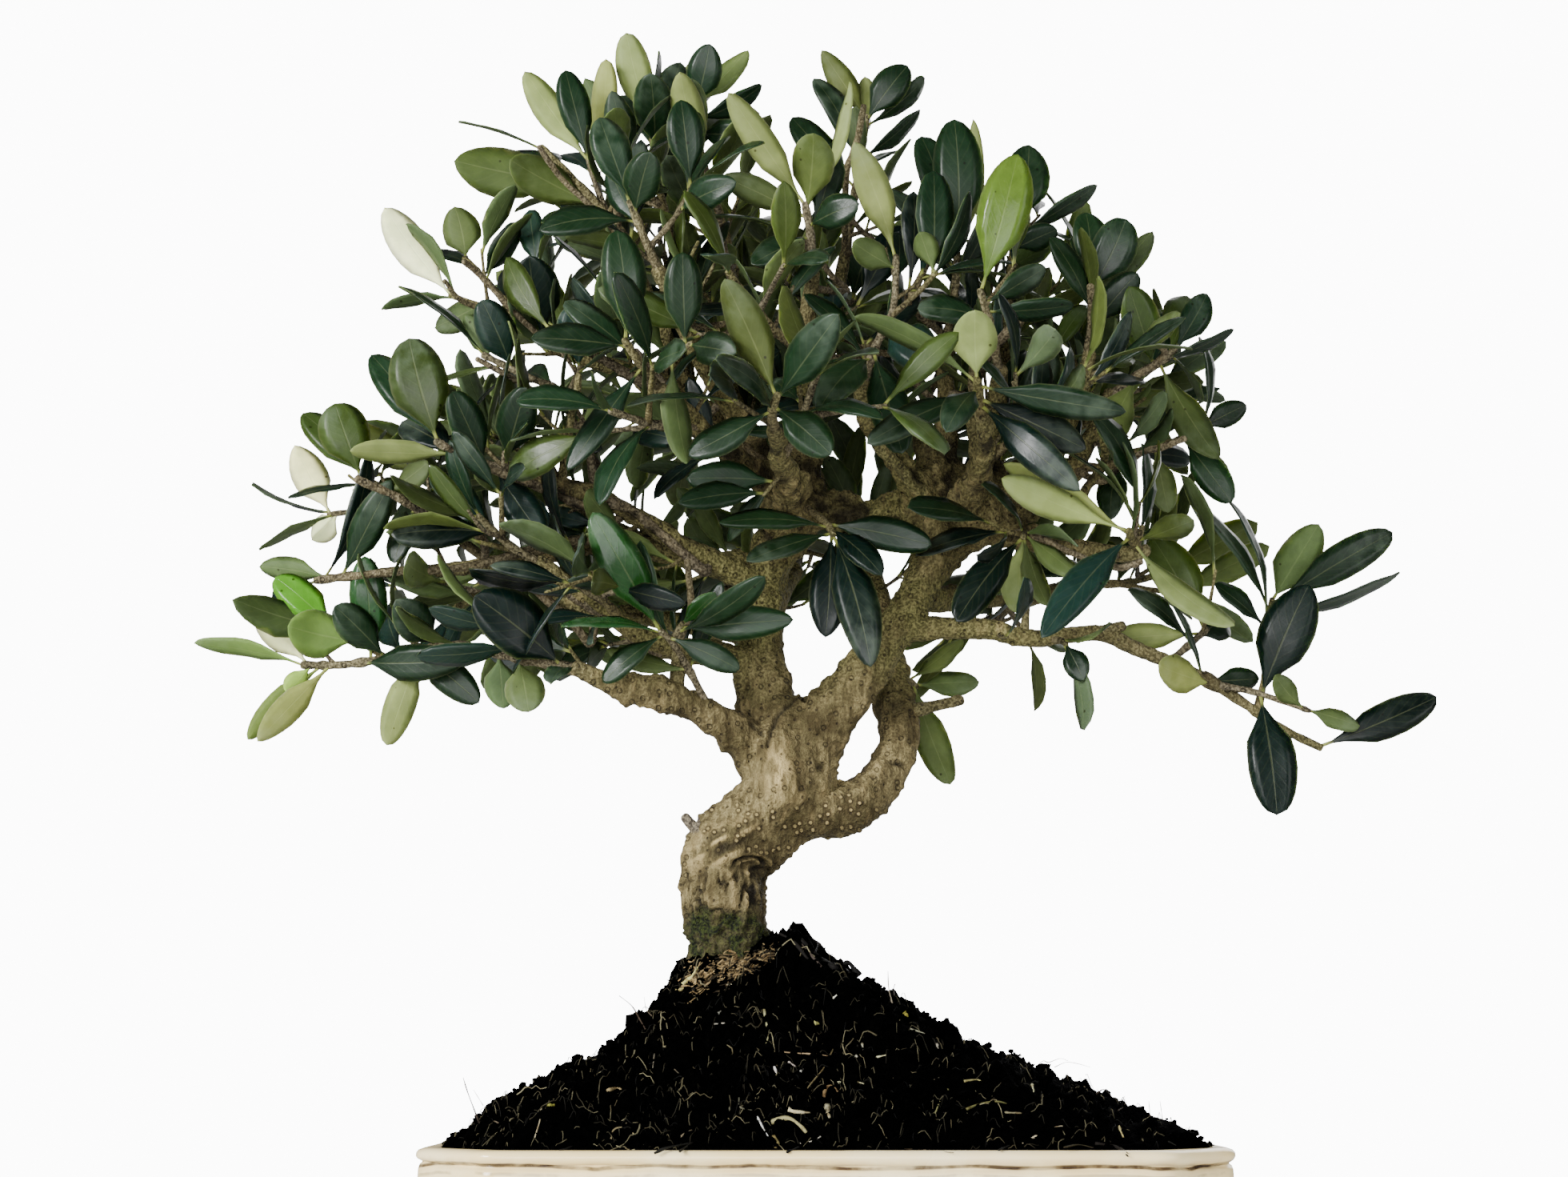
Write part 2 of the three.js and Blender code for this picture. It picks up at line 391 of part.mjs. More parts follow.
// Joins rings of equal size into a closed skin; first and last may be single points.
function skin(rings) {
  const points = rings.flat();
  const faces = [];
  let start = 0;
  rings.slice(1).forEach((next, i) => {
    const ring = rings[i];
    const after = start + ring.length;
    const n = Math.max(ring.length, next.length);
    for (let k = 0; k < n; k++) {
      const m = (k + 1) % n;
      if (ring.length === 1) faces.push([start, after + m, after + k]);
      else if (next.length === 1) faces.push([start + k, start + m, after]);
      else faces.push([start + k, start + m, after + m], [start + k, after + m, after + k]);
    }
    start = after;
  });
  const cap = (from, n, flip) => {
    for (let k = 1; k < n - 1; k++) {
      faces.push(flip ? [from, from + k + 1, from + k] : [from, from + k, from + k + 1]);
    }
  };
  cap(0, rings[0].length, true);
  cap(start, rings[rings.length - 1].length, false);
  return solid(points, faces);
}

function smoothPath(points) {
  return new THREE.CatmullRomCurve3(points.map((p) => V(...p.slice(0, 3))), false, 'catmullrom', 0.5);
}

// The direction that a path's cross-sections are measured from: the axis it runs along least.
function sectionAxis(points) {
  const first = points[0];
  const last = points[points.length - 1];
  const run = [0, 1, 2].map((k) => Math.abs(last[k] - first[k]));
  const least = run.indexOf(Math.min(...run));
  return V(...[0, 1, 2].map((k) => (k === least ? 1 : 0)));
}

// A limb: rings of the given number of sides along a smooth path, with swellings on thick wood.
function limb(points, sides, perSpan, grow = 0) {
  const path = smoothPath(points);
  const axis = sectionAxis(points);
  const steps = (points.length - 1) * perSpan;
  const rings = [];
  for (let i = 0; i <= steps; i++) {
    const span = Math.min(Math.floor(i / perSpan), points.length - 2);
    const blend = i / perSpan - span;
    const radius = points[span][3] * (1 - blend) + points[span + 1][3] * blend + grow;
    const centre = path.getPoint(i / steps);
    const along = path.getTangent(i / steps);
    const across = axis.clone().addScaledVector(along, -axis.dot(along)).normalize();
    const other = along.clone().cross(across);
    const ridge = radius > 5 ? BARK_RIDGES : 0;
    const ring = [];
    for (let k = 0; k < sides; k++) {
      const a = (k / sides) * 2 * Math.PI;
      const waves = Math.sin(3 * a + centre.z / 16) + 0.5 * Math.sin(5 * a - centre.z / 9);
      const r = radius * (1 + ridge * waves);
      const point = centre.clone().addScaledVector(across, r * Math.cos(a));
      ring.push(point.addScaledVector(other, r * Math.sin(a)));
    }
    rings.push(ring);
  }
  return skin(rings);
}

function limbSolid(points, grow) {
  const thick = points[0][3];
  if (thick > 10.2) return limb(points, 10, 1, grow);
  return limb(points, thick > 6.9 ? 6 : 4, 1, grow);
}

function grownWood(grow) {
  return Manifold.union(Object.values(LIMBS).map((points) => limbSolid(points, grow)));
}

// ---- pot and soil ------------------------------------------------------------------------

// The eight corners of a rectangle with cut corners, counter-clockwise.
function trayOutline(halfX, halfY, cut, z) {
  const corners = [
    [halfX, -halfY + cut], [halfX, halfY - cut], [halfX - cut, halfY], [cut - halfX, halfY],
    [-halfX, halfY - cut], [-halfX, cut - halfY], [cut - halfX, -halfY], [halfX - cut, -halfY],
  ];
  return corners.map(([x, y]) => V(x, y, z));
}

function box(halfX, halfY, x, y, z0, z1, taper) {
  const signs = [[-1, -1], [1, -1], [1, 1], [-1, 1]];
  const ring = (hx, hy, z) => signs.map(([sx, sy]) => V(x + sx * hx, y + sy * hy, z));
  return skin([ring(halfX - taper, halfY - taper, z0), ring(halfX, halfY, z1)]);
}

function potSolid() {
  const ring = ([z, half]) => trayOutline(half, half - POT.depthLess, POT.cornerCut * (half / 128), z);
  const tray = skin([...POT_OUTSIDE, ...POT_INSIDE].map(ring));
  const feet = [[1, 1], [1, -1], [-1, 1], [-1, -1]].map(([sx, sy]) =>
    box(FOOT.halfX, FOOT.halfY, sx * FOOT.x, sy * FOOT.y, 0, POT.footHeight + POT.floor / 2, FOOT.taper));
  const holes = [-1, 1].map((side) => {
    const drill = (z) => Array.from({ length: 16 }, (_, k) => {
      const a = (k / 16) * 2 * Math.PI;
      return V(side * POT.holeX + POT.holeRadius * Math.cos(a), POT.holeRadius * Math.sin(a), z);
    });
    return skin([drill(-1), drill(POT.footHeight + POT.floor + 1)]);
  });
  return Manifold.union([tray, ...feet]).subtract(Manifold.union(holes));
}

// Distance from the trunk's foot to the cut-cornered wall, along a direction.
function wallDistance(angle, half) {
  const [x0, y0] = TRUNK_FOOT;
  const dx = Math.cos(angle);
  const dy = Math.sin(angle);
  const halfY = half - POT.depthLess;
  const cut = POT.cornerCut * (half / 128);
  const walls = [[1, 0, half], [-1, 0, half], [0, 1, halfY], [0, -1, halfY]];
  [[1, 1], [1, -1], [-1, 1], [-1, -1]].forEach(([sx, sy]) => walls.push([sx, sy, half + halfY - cut]));
  const hits = walls.map(([nx, ny, d]) => (d - nx * x0 - ny * y0) / (nx * dx + ny * dy));
  return Math.min(...hits.filter((t) => t > 0));
}

function moundHeight(share) {
  const i = Math.max(1, MOUND.findIndex(([s]) => s >= share));
  const [s0, h0] = MOUND[i - 1];
  const [s1, h1] = MOUND[i];
  return SOIL_EDGE + h0 + ((h1 - h0) * (share - s0)) / (s1 - s0);
}

// The mound, with a crest and a full shoulder right of the trunk, a dip in front of the trunk
// and a steep fall left of it.
function soilTop(x, y, share) {
  const crest = 3.5 * Math.exp(-((x + 10) ** 2 + (y - 2) ** 2) / 150);
  const shoulder = 2.6 * Math.exp(-(((x - 52) / 42) ** 4) - (y / 40) ** 2);
  const dip = 7 * Math.exp(-(((x + 38) / 15) ** 2) - ((y + 18) / 12) ** 2);
  const fall = 9 * Math.exp(-(((x + 63) / 20) ** 2) - (y / 40) ** 2);
  const lumps = 1.6 * Math.sin(0.19 * x + 0.6) * Math.cos(0.23 * y) + 1.1 * Math.sin(0.41 * x - 0.33 * y);
  const rise = crest + shoulder - dip - fall + lumps * Math.min(1, (1 - share) * 6);
  return moundHeight(share) + rise;
}

function soilSolid(wood) {
  const around = 24;
  const shares = [1, 0.9, 0.75, 0.55, 0.38, 0.24, 0.15];
  const rim = POT_INSIDE[1][1] - GAP;
  const bottom = POT_INSIDE[3];
  const ringAt = (half, share, height) => Array.from({ length: around }, (_, k) => {
    const a = (k / around) * 2 * Math.PI;
    const d = wallDistance(a, half) * share;
    const x = TRUNK_FOOT[0] + d * Math.cos(a);
    const y = TRUNK_FOOT[1] + d * Math.sin(a);
    return V(x, y, height ?? soilTop(x, y, share));
  });
  const rings = [
    ringAt(bottom[1] - GAP, 1, bottom[0] + GAP),
    ringAt(rim, 1, POT_INSIDE[1][0]),
    ...shares.map((share) => ringAt(rim, share === 1 ? 0.985 : share)),
    [V(...TRUNK_FOOT, SOIL_EDGE + MOUND[0][1])],
  ];
  return skin(rings).subtract(wood);
}

// ---- leaves ------------------------------------------------------------------------------

// A leaf's own directions: along it, out of its upper face, and across it.
function leafAxes(base, tip, facing) {
  const along = tip.clone().sub(base).normalize();
  const up = facing.clone().addScaledVector(along, -facing.dot(along)).normalize();
  return { along, up, across: along.clone().cross(up) };
}

function bladePoint(leaf, t) {
  const rise = LEAF.arch * leaf.base.distanceTo(leaf.tip) * 4 * t * (1 - t);
  return leaf.base.clone().lerp(leaf.tip, t).addScaledVector(leaf.up, rise);
}

function bladeSolid(leaf) {
  const profile = leaf.width > LEAF.wide ? WIDE_BLADE : NARROW_BLADE;
  const rings = profile.map(([t, share]) => {
    const half = (leaf.width / 2) * share;
    const middle = bladePoint(leaf, t);
    const edge = (side) => middle.clone().addScaledVector(leaf.across, side * half)
      .addScaledVector(leaf.up, LEAF.fold * half);
    return [edge(1), middle.clone().addScaledVector(leaf.up, -LEAF.keel), edge(-1)];
  });
  return skin([[leaf.base], ...rings, [leaf.tip]]);
}

// Points spread over a blade, by which its distance from other pieces is judged.
function bladeSamples(leaf) {
  const samples = [];
  [0.22, 0.38, 0.54, 0.7, 0.86].forEach((t) => {
    const half = leaf.width * 0.42 * Math.min(1, 4.4 * t * (1 - t));
    const middle = bladePoint(leaf, t);
    [-1, 0, 1].forEach((side) => samples.push(middle.clone().addScaledVector(leaf.across, side * half)));
  });
  samples.push(leaf.tip.clone());
  return samples;
}

const taken = { wood: [], twigs: [], leaves: [] }; // what stands where, as the leaves see it

function near(samples, spots, reach) {
  return samples.some((p) => spots.some((s) => p.distanceToSquared(s.at) < (s.r + reach) ** 2));
}

function isClear(leaf, shoot) {
  const samples = bladeSamples(leaf);
  if (near(samples, taken.wood, CLEAR.wood)) return false;
  if (near(samples, taken.twigs.filter((s) => s.shoot !== shoot), CLEAR.twig)) return false;
  if (near(samples, taken.leaves.filter((s) => s.shoot !== shoot), CLEAR.leaf)) return false;
  return !near(samples.slice(3), taken.leaves.filter((s) => s.shoot === shoot), CLEAR.kin);
}

function place(leaf, shoot) {
  bladeSamples(leaf).forEach((at) => taken.leaves.push({ at, r: 0, shoot: shoot.name }));
  shoot.leaves.push(leaf);
}

// Looking along -y to +y, the side of a leaf that a turn of 0 shows to the front.
function turned(base, tip, degrees) {
  const { along, up } = leafAxes(base, tip, V(0, -1, 0.12));
  return up.applyAxisAngle(along, THREE.MathUtils.degToRad(degrees));
}

// A leaf's root on the twig's axis, kept off the twig's end and off the roots already there.
function leafRoot(twig, share) {
  const length = twig.path.getLength();
  let run = Math.min(share * length, length - LEAF.inset);
  while (run > LEAF.apart && twig.roots.some((root) => Math.abs(root - run) < LEAF.apart)) {
    run -= LEAF.apart;
  }
  twig.roots.push(run);
  return twig.path.getPoint(run / length);
}

function leafByHand(shoot, [twig, share, x, y, z, width, turn]) {
  const base = leafRoot(shoot.twigs[twig], share);
  const facing = turned(base, V(x, y, z), turn);
  const choices = SHIFTS.map((shift) => {
    const tip = V(x, y, z).addScaledVector(facing, shift);
    return { base, tip, width, ...leafAxes(base, tip, facing) };
  });
  const clear = choices.find((leaf) => isClear(leaf, shoot.name));
  if (clear) place(clear, shoot);
}

// The rule: pairs of leaves along a twig, each pair at right angles to the one before.
function leavesByRule(shoot, twig, random) {
  const length = twig.path.getLength();
  const fits = Math.max(1, Math.round((length - 6) / LEAF.step));
  const pairs = twig.set < LEAF.enough ? fits : 0;
  const start = random() * 90;
  for (let pair = 0; pair < pairs; pair++) {
    const share = 1 - (pair * LEAF.step) / length;
    const along = twig.path.getTangent(share);
    const side = along.clone().cross(V(0.05, 0.1, 1)).normalize();
    const over = side.clone().cross(along);
    const base = leafRoot(twig, share);
    [0, 180].forEach((half) => {
      const angle = start + pair * 90 + half + (random() - 0.5) * 36;
      const spread = THREE.MathUtils.degToRad(36 + 26 * Math.min(1, pair / 2) + (random() - 0.5) * 22);
      const size = LEAF.short + (LEAF.long - LEAF.short) * random();
      const width = size * (LEAF.slim + (LEAF.broad - LEAF.slim) * random());
      const lean = V(random() - 0.5, random() - 0.5, random() - 0.5);
      const leaf = DODGES.map((dodge) => {
        const a = THREE.MathUtils.degToRad(angle + dodge);
        const out = side.clone().multiplyScalar(Math.cos(a)).addScaledVector(over, Math.sin(a));
        const run = along.clone().multiplyScalar(Math.cos(spread)).addScaledVector(out, Math.sin(spread));
        const tip = base.clone().addScaledVector(run, size);
        const facing = tip.clone().sub(CROWN_CENTRE).normalize().add(V(0, 0, 0.35)).add(lean);
        return { base, tip, width, ...leafAxes(base, tip, facing) };
      }).find((choice) => isClear(choice, shoot.name));
      if (leaf) place(leaf, shoot);
    });
  }
}

// ---- shoots ------------------------------------------------------------------------------

// A middle twig and two side twigs that leave it to either side.
function spreadingTwigs(from, to, random) {
  const start = V(...from);
  const run = V(...to).sub(start);
  const length = run.length();
  const along = run.clone().normalize();
  const side = along.clone().cross(V(0.05, 0.1, 1)).normalize();
  const over = side.clone().cross(along);
  const at = (p) => [p.x, p.y, p.z];
  const middle = start.clone().addScaledVector(run, 0.5).addScaledVector(over, -0.05 * length);
  const twigs = [[1.8, from, at(middle), to]];
  SIDE_TWIGS.forEach(([share, hand]) => {
    const tilt = (random() - 0.5) * 1.4;
    const out = side.clone().multiplyScalar(hand * Math.cos(tilt)).addScaledVector(over, Math.sin(tilt));
    const way = along.clone().multiplyScalar(Math.cos(SIDE_SPREAD));
    way.addScaledVector(out, Math.sin(SIDE_SPREAD));
    const root = smoothPath(twigs[0].slice(1)).getPoint(share);
    const reach = (p, d) => p.clone().addScaledVector(way, d);
    twigs.push([1.2, at(root), at(reach(root, 0.6 * length).add(V(0, 0, 0.05 * length)))]);
  });
  return twigs;
}

function layOut([name, first, second], index) {
  const random = seeded(101 + 37 * index);
  const rows = Array.isArray(first[0]) ? first : spreadingTwigs(first, second, random);
  const twigs = rows.map(([r, ...points]) => ({ r, points, path: smoothPath(points), roots: [] }));
  twigs.forEach((twig) => {
    const steps = Math.ceil(twig.path.getLength() / 4);
    for (let i = 1; i <= steps; i++) {
      taken.twigs.push({ at: twig.path.getPoint(i / steps), r: 0, shoot: name });
    }
  });
  const byHand = Array.isArray(first[0]) ? second : [];
  twigs.forEach((twig, k) => {
    twig.set = byHand.filter((row) => row[0] === k).length;
  });
  return { name, twigs, random, byHand, leaves: [] };
}

function twigSolid({ r, points }) {
  const last = points.length - 1;
  return limb(points.map((p, i) => [...p, r * (1 - (0.4 * i) / last)]), 3, 1);
}

// A shoot is its stems and its blades in one; a blade that would cross a neighbour is left out.
function shootSolid(shoot, stems, wood, others) {
  const crosses = (blade) => [wood, ...others].some((other) => blade.intersect(other).volume() > 0.002);
  const blades = shoot.leaves.map(bladeSolid).filter((blade) => !crosses(blade));
  const whole = Manifold.union([stems, ...blades]).subtract(wood);
  return whole.decompose().sort((a, b) => b.volume() - a.volume())[0];
}

// ---- assembly ----------------------------------------------------------------------------

function finish(color, roughness) {
  return new THREE.MeshStandardMaterial({ color, roughness, metalness: 0 });
}

const tree = new THREE.Group();
tree.name = 'olive_bonsai';

function add(name, body, material) {
  const { vertProperties, triVerts } = body.getMesh();
  const geometry = new THREE.BufferGeometry();
  geometry.setAttribute('position', new THREE.BufferAttribute(vertProperties, 3));
  geometry.setIndex(new THREE.BufferAttribute(triVerts, 1));
  geometry.computeVertexNormals();
  const mesh = new THREE.Mesh(geometry, material);
  mesh.name = name;
  tree.add(mesh);
}

const clearOfWood = grownWood(GAP);
add('pot', potSolid(), finish(0xf2ead4, 0.25));
add('soil', soilSolid(clearOfWood), finish(0x15110d, 0.95));
add('tree_wood', grownWood(0), finish(0x8a7a57, 0.85));

Object.values(LIMBS).forEach((points) => {
  const path = smoothPath(points);
  const steps = Math.ceil(path.getLength() / 3);
  for (let i = 0; i <= steps; i++) {
    const spans = (i / steps) * (points.length - 1);
    const k = Math.min(Math.floor(spans), points.length - 2);
    const r = points[k][3] + (points[k + 1][3] - points[k][3]) * (spans - k);
    taken.wood.push({ at: path.getPoint(i / steps), r });
  }
});

const shoots = SHOOTS.map(layOut);
shoots.forEach((shoot) => shoot.byHand.forEach((row) => leafByHand(shoot, row)));
shoots.forEach((shoot) => shoot.twigs.forEach((twig) => leavesByRule(shoot, twig, shoot.random)));
const stems = shoots.map((shoot) => Manifold.union(shoot.twigs.map(twigSolid)));
const built = [];
shoots.forEach((shoot, index) => {
  const body = shootSolid(shoot, stems[index], clearOfWood, [...built, ...stems.slice(index + 1)]);
  built.push(body);
  add(`shoot_${shoot.name}`, body, finish(0x3f5a3a, 0.45));
});

export default tree;
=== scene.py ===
"""An olive bonsai in a low glazed tray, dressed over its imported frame.

Shapes are worked out in millimetres, +Z up and the tree's front towards -Y, and go into
Blender in metres. The wood, the twigs and the leaves grow by the same rule as the frame's
solids, so each fine piece lies on its solid; further leaves then fill the crown.
"""

import itertools
import logging
import math
from collections.abc import Sequence
from dataclasses import dataclass, field
from enum import Enum

import bpy
import numpy as np
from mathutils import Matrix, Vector


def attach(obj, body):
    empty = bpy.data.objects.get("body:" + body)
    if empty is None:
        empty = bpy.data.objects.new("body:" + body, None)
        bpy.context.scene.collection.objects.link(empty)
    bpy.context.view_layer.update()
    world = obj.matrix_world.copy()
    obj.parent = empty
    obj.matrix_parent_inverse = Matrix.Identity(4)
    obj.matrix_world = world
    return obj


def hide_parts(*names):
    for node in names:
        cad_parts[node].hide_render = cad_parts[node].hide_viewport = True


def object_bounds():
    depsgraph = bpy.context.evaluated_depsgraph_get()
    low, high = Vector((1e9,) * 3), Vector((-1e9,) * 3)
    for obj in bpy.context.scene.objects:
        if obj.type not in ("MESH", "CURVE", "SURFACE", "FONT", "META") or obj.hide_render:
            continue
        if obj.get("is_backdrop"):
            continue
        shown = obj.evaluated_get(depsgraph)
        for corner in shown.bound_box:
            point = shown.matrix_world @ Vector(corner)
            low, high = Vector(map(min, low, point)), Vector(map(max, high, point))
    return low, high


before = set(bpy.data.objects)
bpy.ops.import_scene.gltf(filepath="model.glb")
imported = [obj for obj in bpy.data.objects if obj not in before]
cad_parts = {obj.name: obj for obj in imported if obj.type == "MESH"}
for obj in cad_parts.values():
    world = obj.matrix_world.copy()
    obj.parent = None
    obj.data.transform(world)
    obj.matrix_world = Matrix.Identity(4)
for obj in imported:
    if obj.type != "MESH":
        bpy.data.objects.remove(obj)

LOG = logging.getLogger("olive_bonsai")
MM = 0.001  # metres in a millimetre
Row = tuple[float, ...]
Colour = tuple[float, float, float, float]
Socket = bpy.types.NodeSocket


def linear(red: float, green: float, blue: float) -> Colour:
    """A screen colour as linear light, by the rule of screens: a 2.4th power over a short line.

    Args:
        red: the red share, 0 to 255.
        green: the green share.
        blue: the blue share.

    Returns:
        The colour, fully opaque.
    """
    share = [c / 255 for c in (red, green, blue)]
    bright = [c / 12.92 if c <= 0.04045 else ((c + 0.055) / 1.055) ** 2.4 for c in share]
    return (bright[0], bright[1], bright[2], 1.0)


class Tone(Enum):
    """How a leaf is coloured: the screen colours of its upper face and its underside."""

    LEAFY = ((17, 38, 20), (74, 90, 48))
    DEEP = ((4, 20, 16), (54, 70, 38))
    BLUE = ((18, 40, 34), (70, 86, 58))
    OLIVE = ((50, 66, 24), (66, 80, 34))
    FRESH = ((25, 66, 24), (104, 138, 56))
    BRIGHT = ((70, 124, 32), (132, 164, 70))
    LIGHT = ((88, 116, 44), (106, 132, 58))
    # pale undersides and pale leaves: partly the leaf's own paler colour, partly painted backlight of
    # leaves lit through from behind
    PALE_AND_BACKLIT = ((104, 117, 64), (124, 138, 80))
    # painted backlight: a near white for leaves lit through from behind
    WHITE = ((238, 246, 176), (244, 250, 186))


@dataclass(frozen=True)
class Shoot:
    """A leafy shoot: its twigs as (radius, point, point, ...) and the leaves listed one by one.

    A leaf's row is (twig, place along it, tip x, tip y, tip z, width, turn), with its tone where
    that isn't LEAFY; turn 0 shows its upper face to the front, 180 its underside, 90 its edge.
    """

    name: str
    twigs: tuple = ()
    leaves: tuple = ()
    start: Row = ()
    end: Row = ()


def spread(name: str, start: Row, end: Row) -> Shoot:
    """A shoot that the rule fills: a middle twig from start to end and two side twigs."""
    return Shoot(name, start=start, end=end)


# ---- the tree: limbs as (x, y, z, radius), then its shoots -----------------------------------

LIMBS: dict[str, tuple[Row, ...]] = {
    "trunk": ((-31, 2, 98, 16), (-31, 2, 120, 15), (-31, 1, 138, 13.6), (-32.5, 0, 152, 13.1),
        (-33.3, 0, 166, 14.2), (-31, 0, 178, 15.6), (-20, 0, 189, 14.4), (-12, 0, 200, 15.2),
        (-11, 1, 212, 14.6), (-10, 2, 223, 11)),
    "loop": ((-8, 0, 189, 9), (5, 0, 191, 8.8), (15, 2, 196, 7.9), (22, 5, 204, 7.2), (26, 8, 213, 6.9),
        (27, 11, 222, 6.9), (26, 14, 230, 6.7), (26, 18, 238, 5.4), (25, 24, 250, 4.6), (22, 32, 270, 4),
        (17, 38, 288, 3.4)),
    "loop_stub": ((29, 12, 227, 3), (40, 10, 229, 1.9), (49, 9, 231, 1.7)),
    "cut_stub": ((-40, 0, 181, 2.4), (-47, 0, 189, 1.7)),
    "right_limb": ((-6, -1, 208, 10.5), (2, -3, 222, 9.3), (13, -5, 236, 8.3), (23, -6, 250, 7.3),
        (30, -5, 260, 6.7), (36, -3, 272, 7), (42, 0, 284, 9.5), (45, 2, 294, 12), (44, 3, 305, 10),
        (41, 4, 318, 6.5)),
    "right_burl": ((44, 0, 289, 9), (56, -2, 293, 9.5), (67, -3, 290, 6)),
    "right_crest": ((48, 2, 299, 8.5), (57, 1, 306, 7), (61, 0, 313, 4)),
    "middle_limb": ((-14, 4, 210, 10), (-18, 6, 225, 9.4), (-20, 8, 237, 9.6), (-21, 10, 252, 8.2),
        (-20, 12, 268, 7.4), (-17, 12, 284, 8.2), (-10, 10, 298, 11.2), (-6, 10, 310, 8)),
    "burl_bridge": ((-8, 8, 300, 7.5), (16, 6, 297, 6), (40, 2, 296, 8)),
    "low_left": ((-20, 0, 207, 9), (-27, -3, 216, 7.3), (-35, -8, 221, 5.8), (-44, -12, 226, 5.2),
        (-54, -16, 230, 5.3), (-65, -20, 231.5, 4.8), (-74, -24, 233, 3.4), (-83, -28, 237, 2.4)),
    "low_left_snag": ((-50, -14, 229, 2.9), (-49, -15, 246, 2.3)),
    "left_second": ((-20, 8, 242, 6.5), (-33, 2, 246, 4.7), (-50, -4, 247, 4.1), (-62, -8, 251, 3.7),
        (-75, -12, 260, 3.3), (-97, -18, 275, 2.6)),
    "left_second_fork": ((-74, -12, 259, 2.8), (-90, -8, 264, 2.6), (-104, -6, 276, 2.3)),
    "left_third": ((-18, 11, 268, 6), (-28, 5, 275, 4.6), (-40, -2, 280, 4.1), (-60, -10, 290, 3.5),
        (-80, -16, 300, 3), (-94, -18, 303, 2.7), (-107, -20, 306, 2.3)),
    "left_fourth": ((-18, 12, 276, 6), (-48, 5, 282, 4.3), (-75, 3, 286, 3.7), (-90, 3, 284, 3.4),
        (-108, 4, 280, 3), (-130, 4, 277, 2.6), (-155, 4, 275, 2.3)),
    "left_high": ((-12, 8, 306, 5.5), (-28, 4, 323, 4.2), (-45, 0, 337, 3.7), (-62, -4, 345, 3.2),
        (-80, -5, 350, 2.8), (-97, -4, 356, 2.3)),
    "left_crown": ((-45, 0, 337, 3.3), (-55, -2, 359, 2.9), (-66, -4, 384, 2.5), (-72, -5, 398, 2.2)),
    "low_right": ((28, -6, 254, 5.5), (45, -8, 254, 3.6), (58, -9, 253, 3.3), (66, -9, 251, 3.3),
        (75, -9, 250, 3), (85, -8, 251.5, 2.9), (97, -8, 252, 2.8), (108, -8, 247, 2.5),
        (120, -8, 242, 2.3), (133, -8, 236, 2.1)),
    "low_right_snag": ((93, -8, 252, 2.4), (104, -9, 254.5, 1.7)),
    "low_right_spur": ((70, -9, 251, 1.8), (71, -9, 261, 1.1)),
    "right_front": ((64, -2, 289, 5), (85, -8, 283, 3.2), (105, -14, 279, 2.6), (112, -15, 280, 2.1)),
    "front_left": ((-13, 2, 304, 5.5), (-28, -18, 311, 4), (-42, -38, 319, 3.3), (-54, -54, 327, 2.6)),
    "front_middle": ((-9, 0, 301, 5.5), (-12, -20, 305, 4), (-15, -42, 309, 3.3), (-16, -62, 312, 2.6)),
    "front_right": ((48, -6, 296, 5.5), (53, -24, 303, 4), (55, -42, 311, 3.3), (53, -56, 318, 2.6)),
    "front_crown": ((-6, 3, 310, 5), (-8, -16, 331, 3.8), (-6, -30, 352, 3.1), (-3, -38, 372, 2.4)),
    "front_left_crown": ((-14, 5, 308, 5), (-32, -12, 332, 3.8), (-46, -26, 354, 3.1),
        (-56, -36, 374, 2.4)),
    "yellow_limb": ((38, -2, 302, 5.5), (26, -12, 313, 4), (17, -24, 322, 3.4), (13, -36, 334, 2.8)),
    "front_right_crown": ((55, -1, 301, 5.5), (57, -10, 314, 3.9), (60, -22, 328, 3.2),
        (61, -34, 339, 2.6)),
    "back_left_low": ((-20, 12, 256, 6), (-45, 34, 262, 4.1), (-70, 52, 270, 3.3), (-92, 66, 279, 2.5)),
    "back_low": ((-18, 14, 266, 6), (-14, 36, 275, 4.1), (-10, 51, 284, 3.3), (-8, 64, 293, 2.5)),
    "back_right_low": ((34, 0, 266, 5.5), (56, 26, 270, 3.9), (80, 44, 275, 3.2), (102, 58, 281, 2.5)),
    "back_left_mid": ((-55, 5, 284, 3.6), (-80, 30, 299, 3), (-106, 46, 314, 2.4)),
    "back_left_high": ((-13, 12, 306, 5.5), (-32, 36, 326, 3.9), (-52, 56, 345, 3.1), (-68, 72, 362, 2.5)),
    "back_high": ((-7, 12, 306, 5.5), (-5, 36, 328, 3.9), (-4, 54, 350, 3.1), (-4, 68, 372, 2.5)),
    "back_right_high": ((52, 4, 300, 5.5), (74, 30, 318, 3.9), (90, 50, 336, 3.1), (104, 64, 352, 2.5)),
    "back_right_mid": ((46, 4, 298, 5.5), (42, 34, 316, 3.9), (38, 52, 334, 3.1), (40, 66, 352, 2.5)),
    "top_middle": ((-6, 10, 308, 5.5), (-2, 16, 336, 3.9), (4, 14, 366, 3.1), (9, 10, 394, 2.3)),
    "top_left": ((-11, 10, 305, 5.5), (-27, 14, 330, 3.9), (-38, 14, 356, 3.3), (-50, 11, 384, 2.7),
        (-53, 10, 398, 2.3)),
    "top_left_fork": ((-38, 14, 356, 2.8), (-33, 8, 374, 2.5), (-31, 2, 388, 2.2)),
    "top_right": ((44, 4, 308, 6), (45, 4, 326, 3.7), (44, -4, 346, 3), (44, -9, 358, 2.4)),
    "top_far_right": ((55, 1, 304, 5.5), (64, 5, 330, 3.7), (66, 1, 354, 3), (66, -3, 372, 2.4)),
    "right_crown": ((60, 0, 300, 5), (80, -4, 316, 3.5), (90, -10, 335, 2.9), (94, -14, 350, 2.3)),
    "right_high": ((64, -2, 292, 5), (84, 1, 306, 3.6), (95, -2, 322, 3), (102, -6, 338, 2.4)),
}

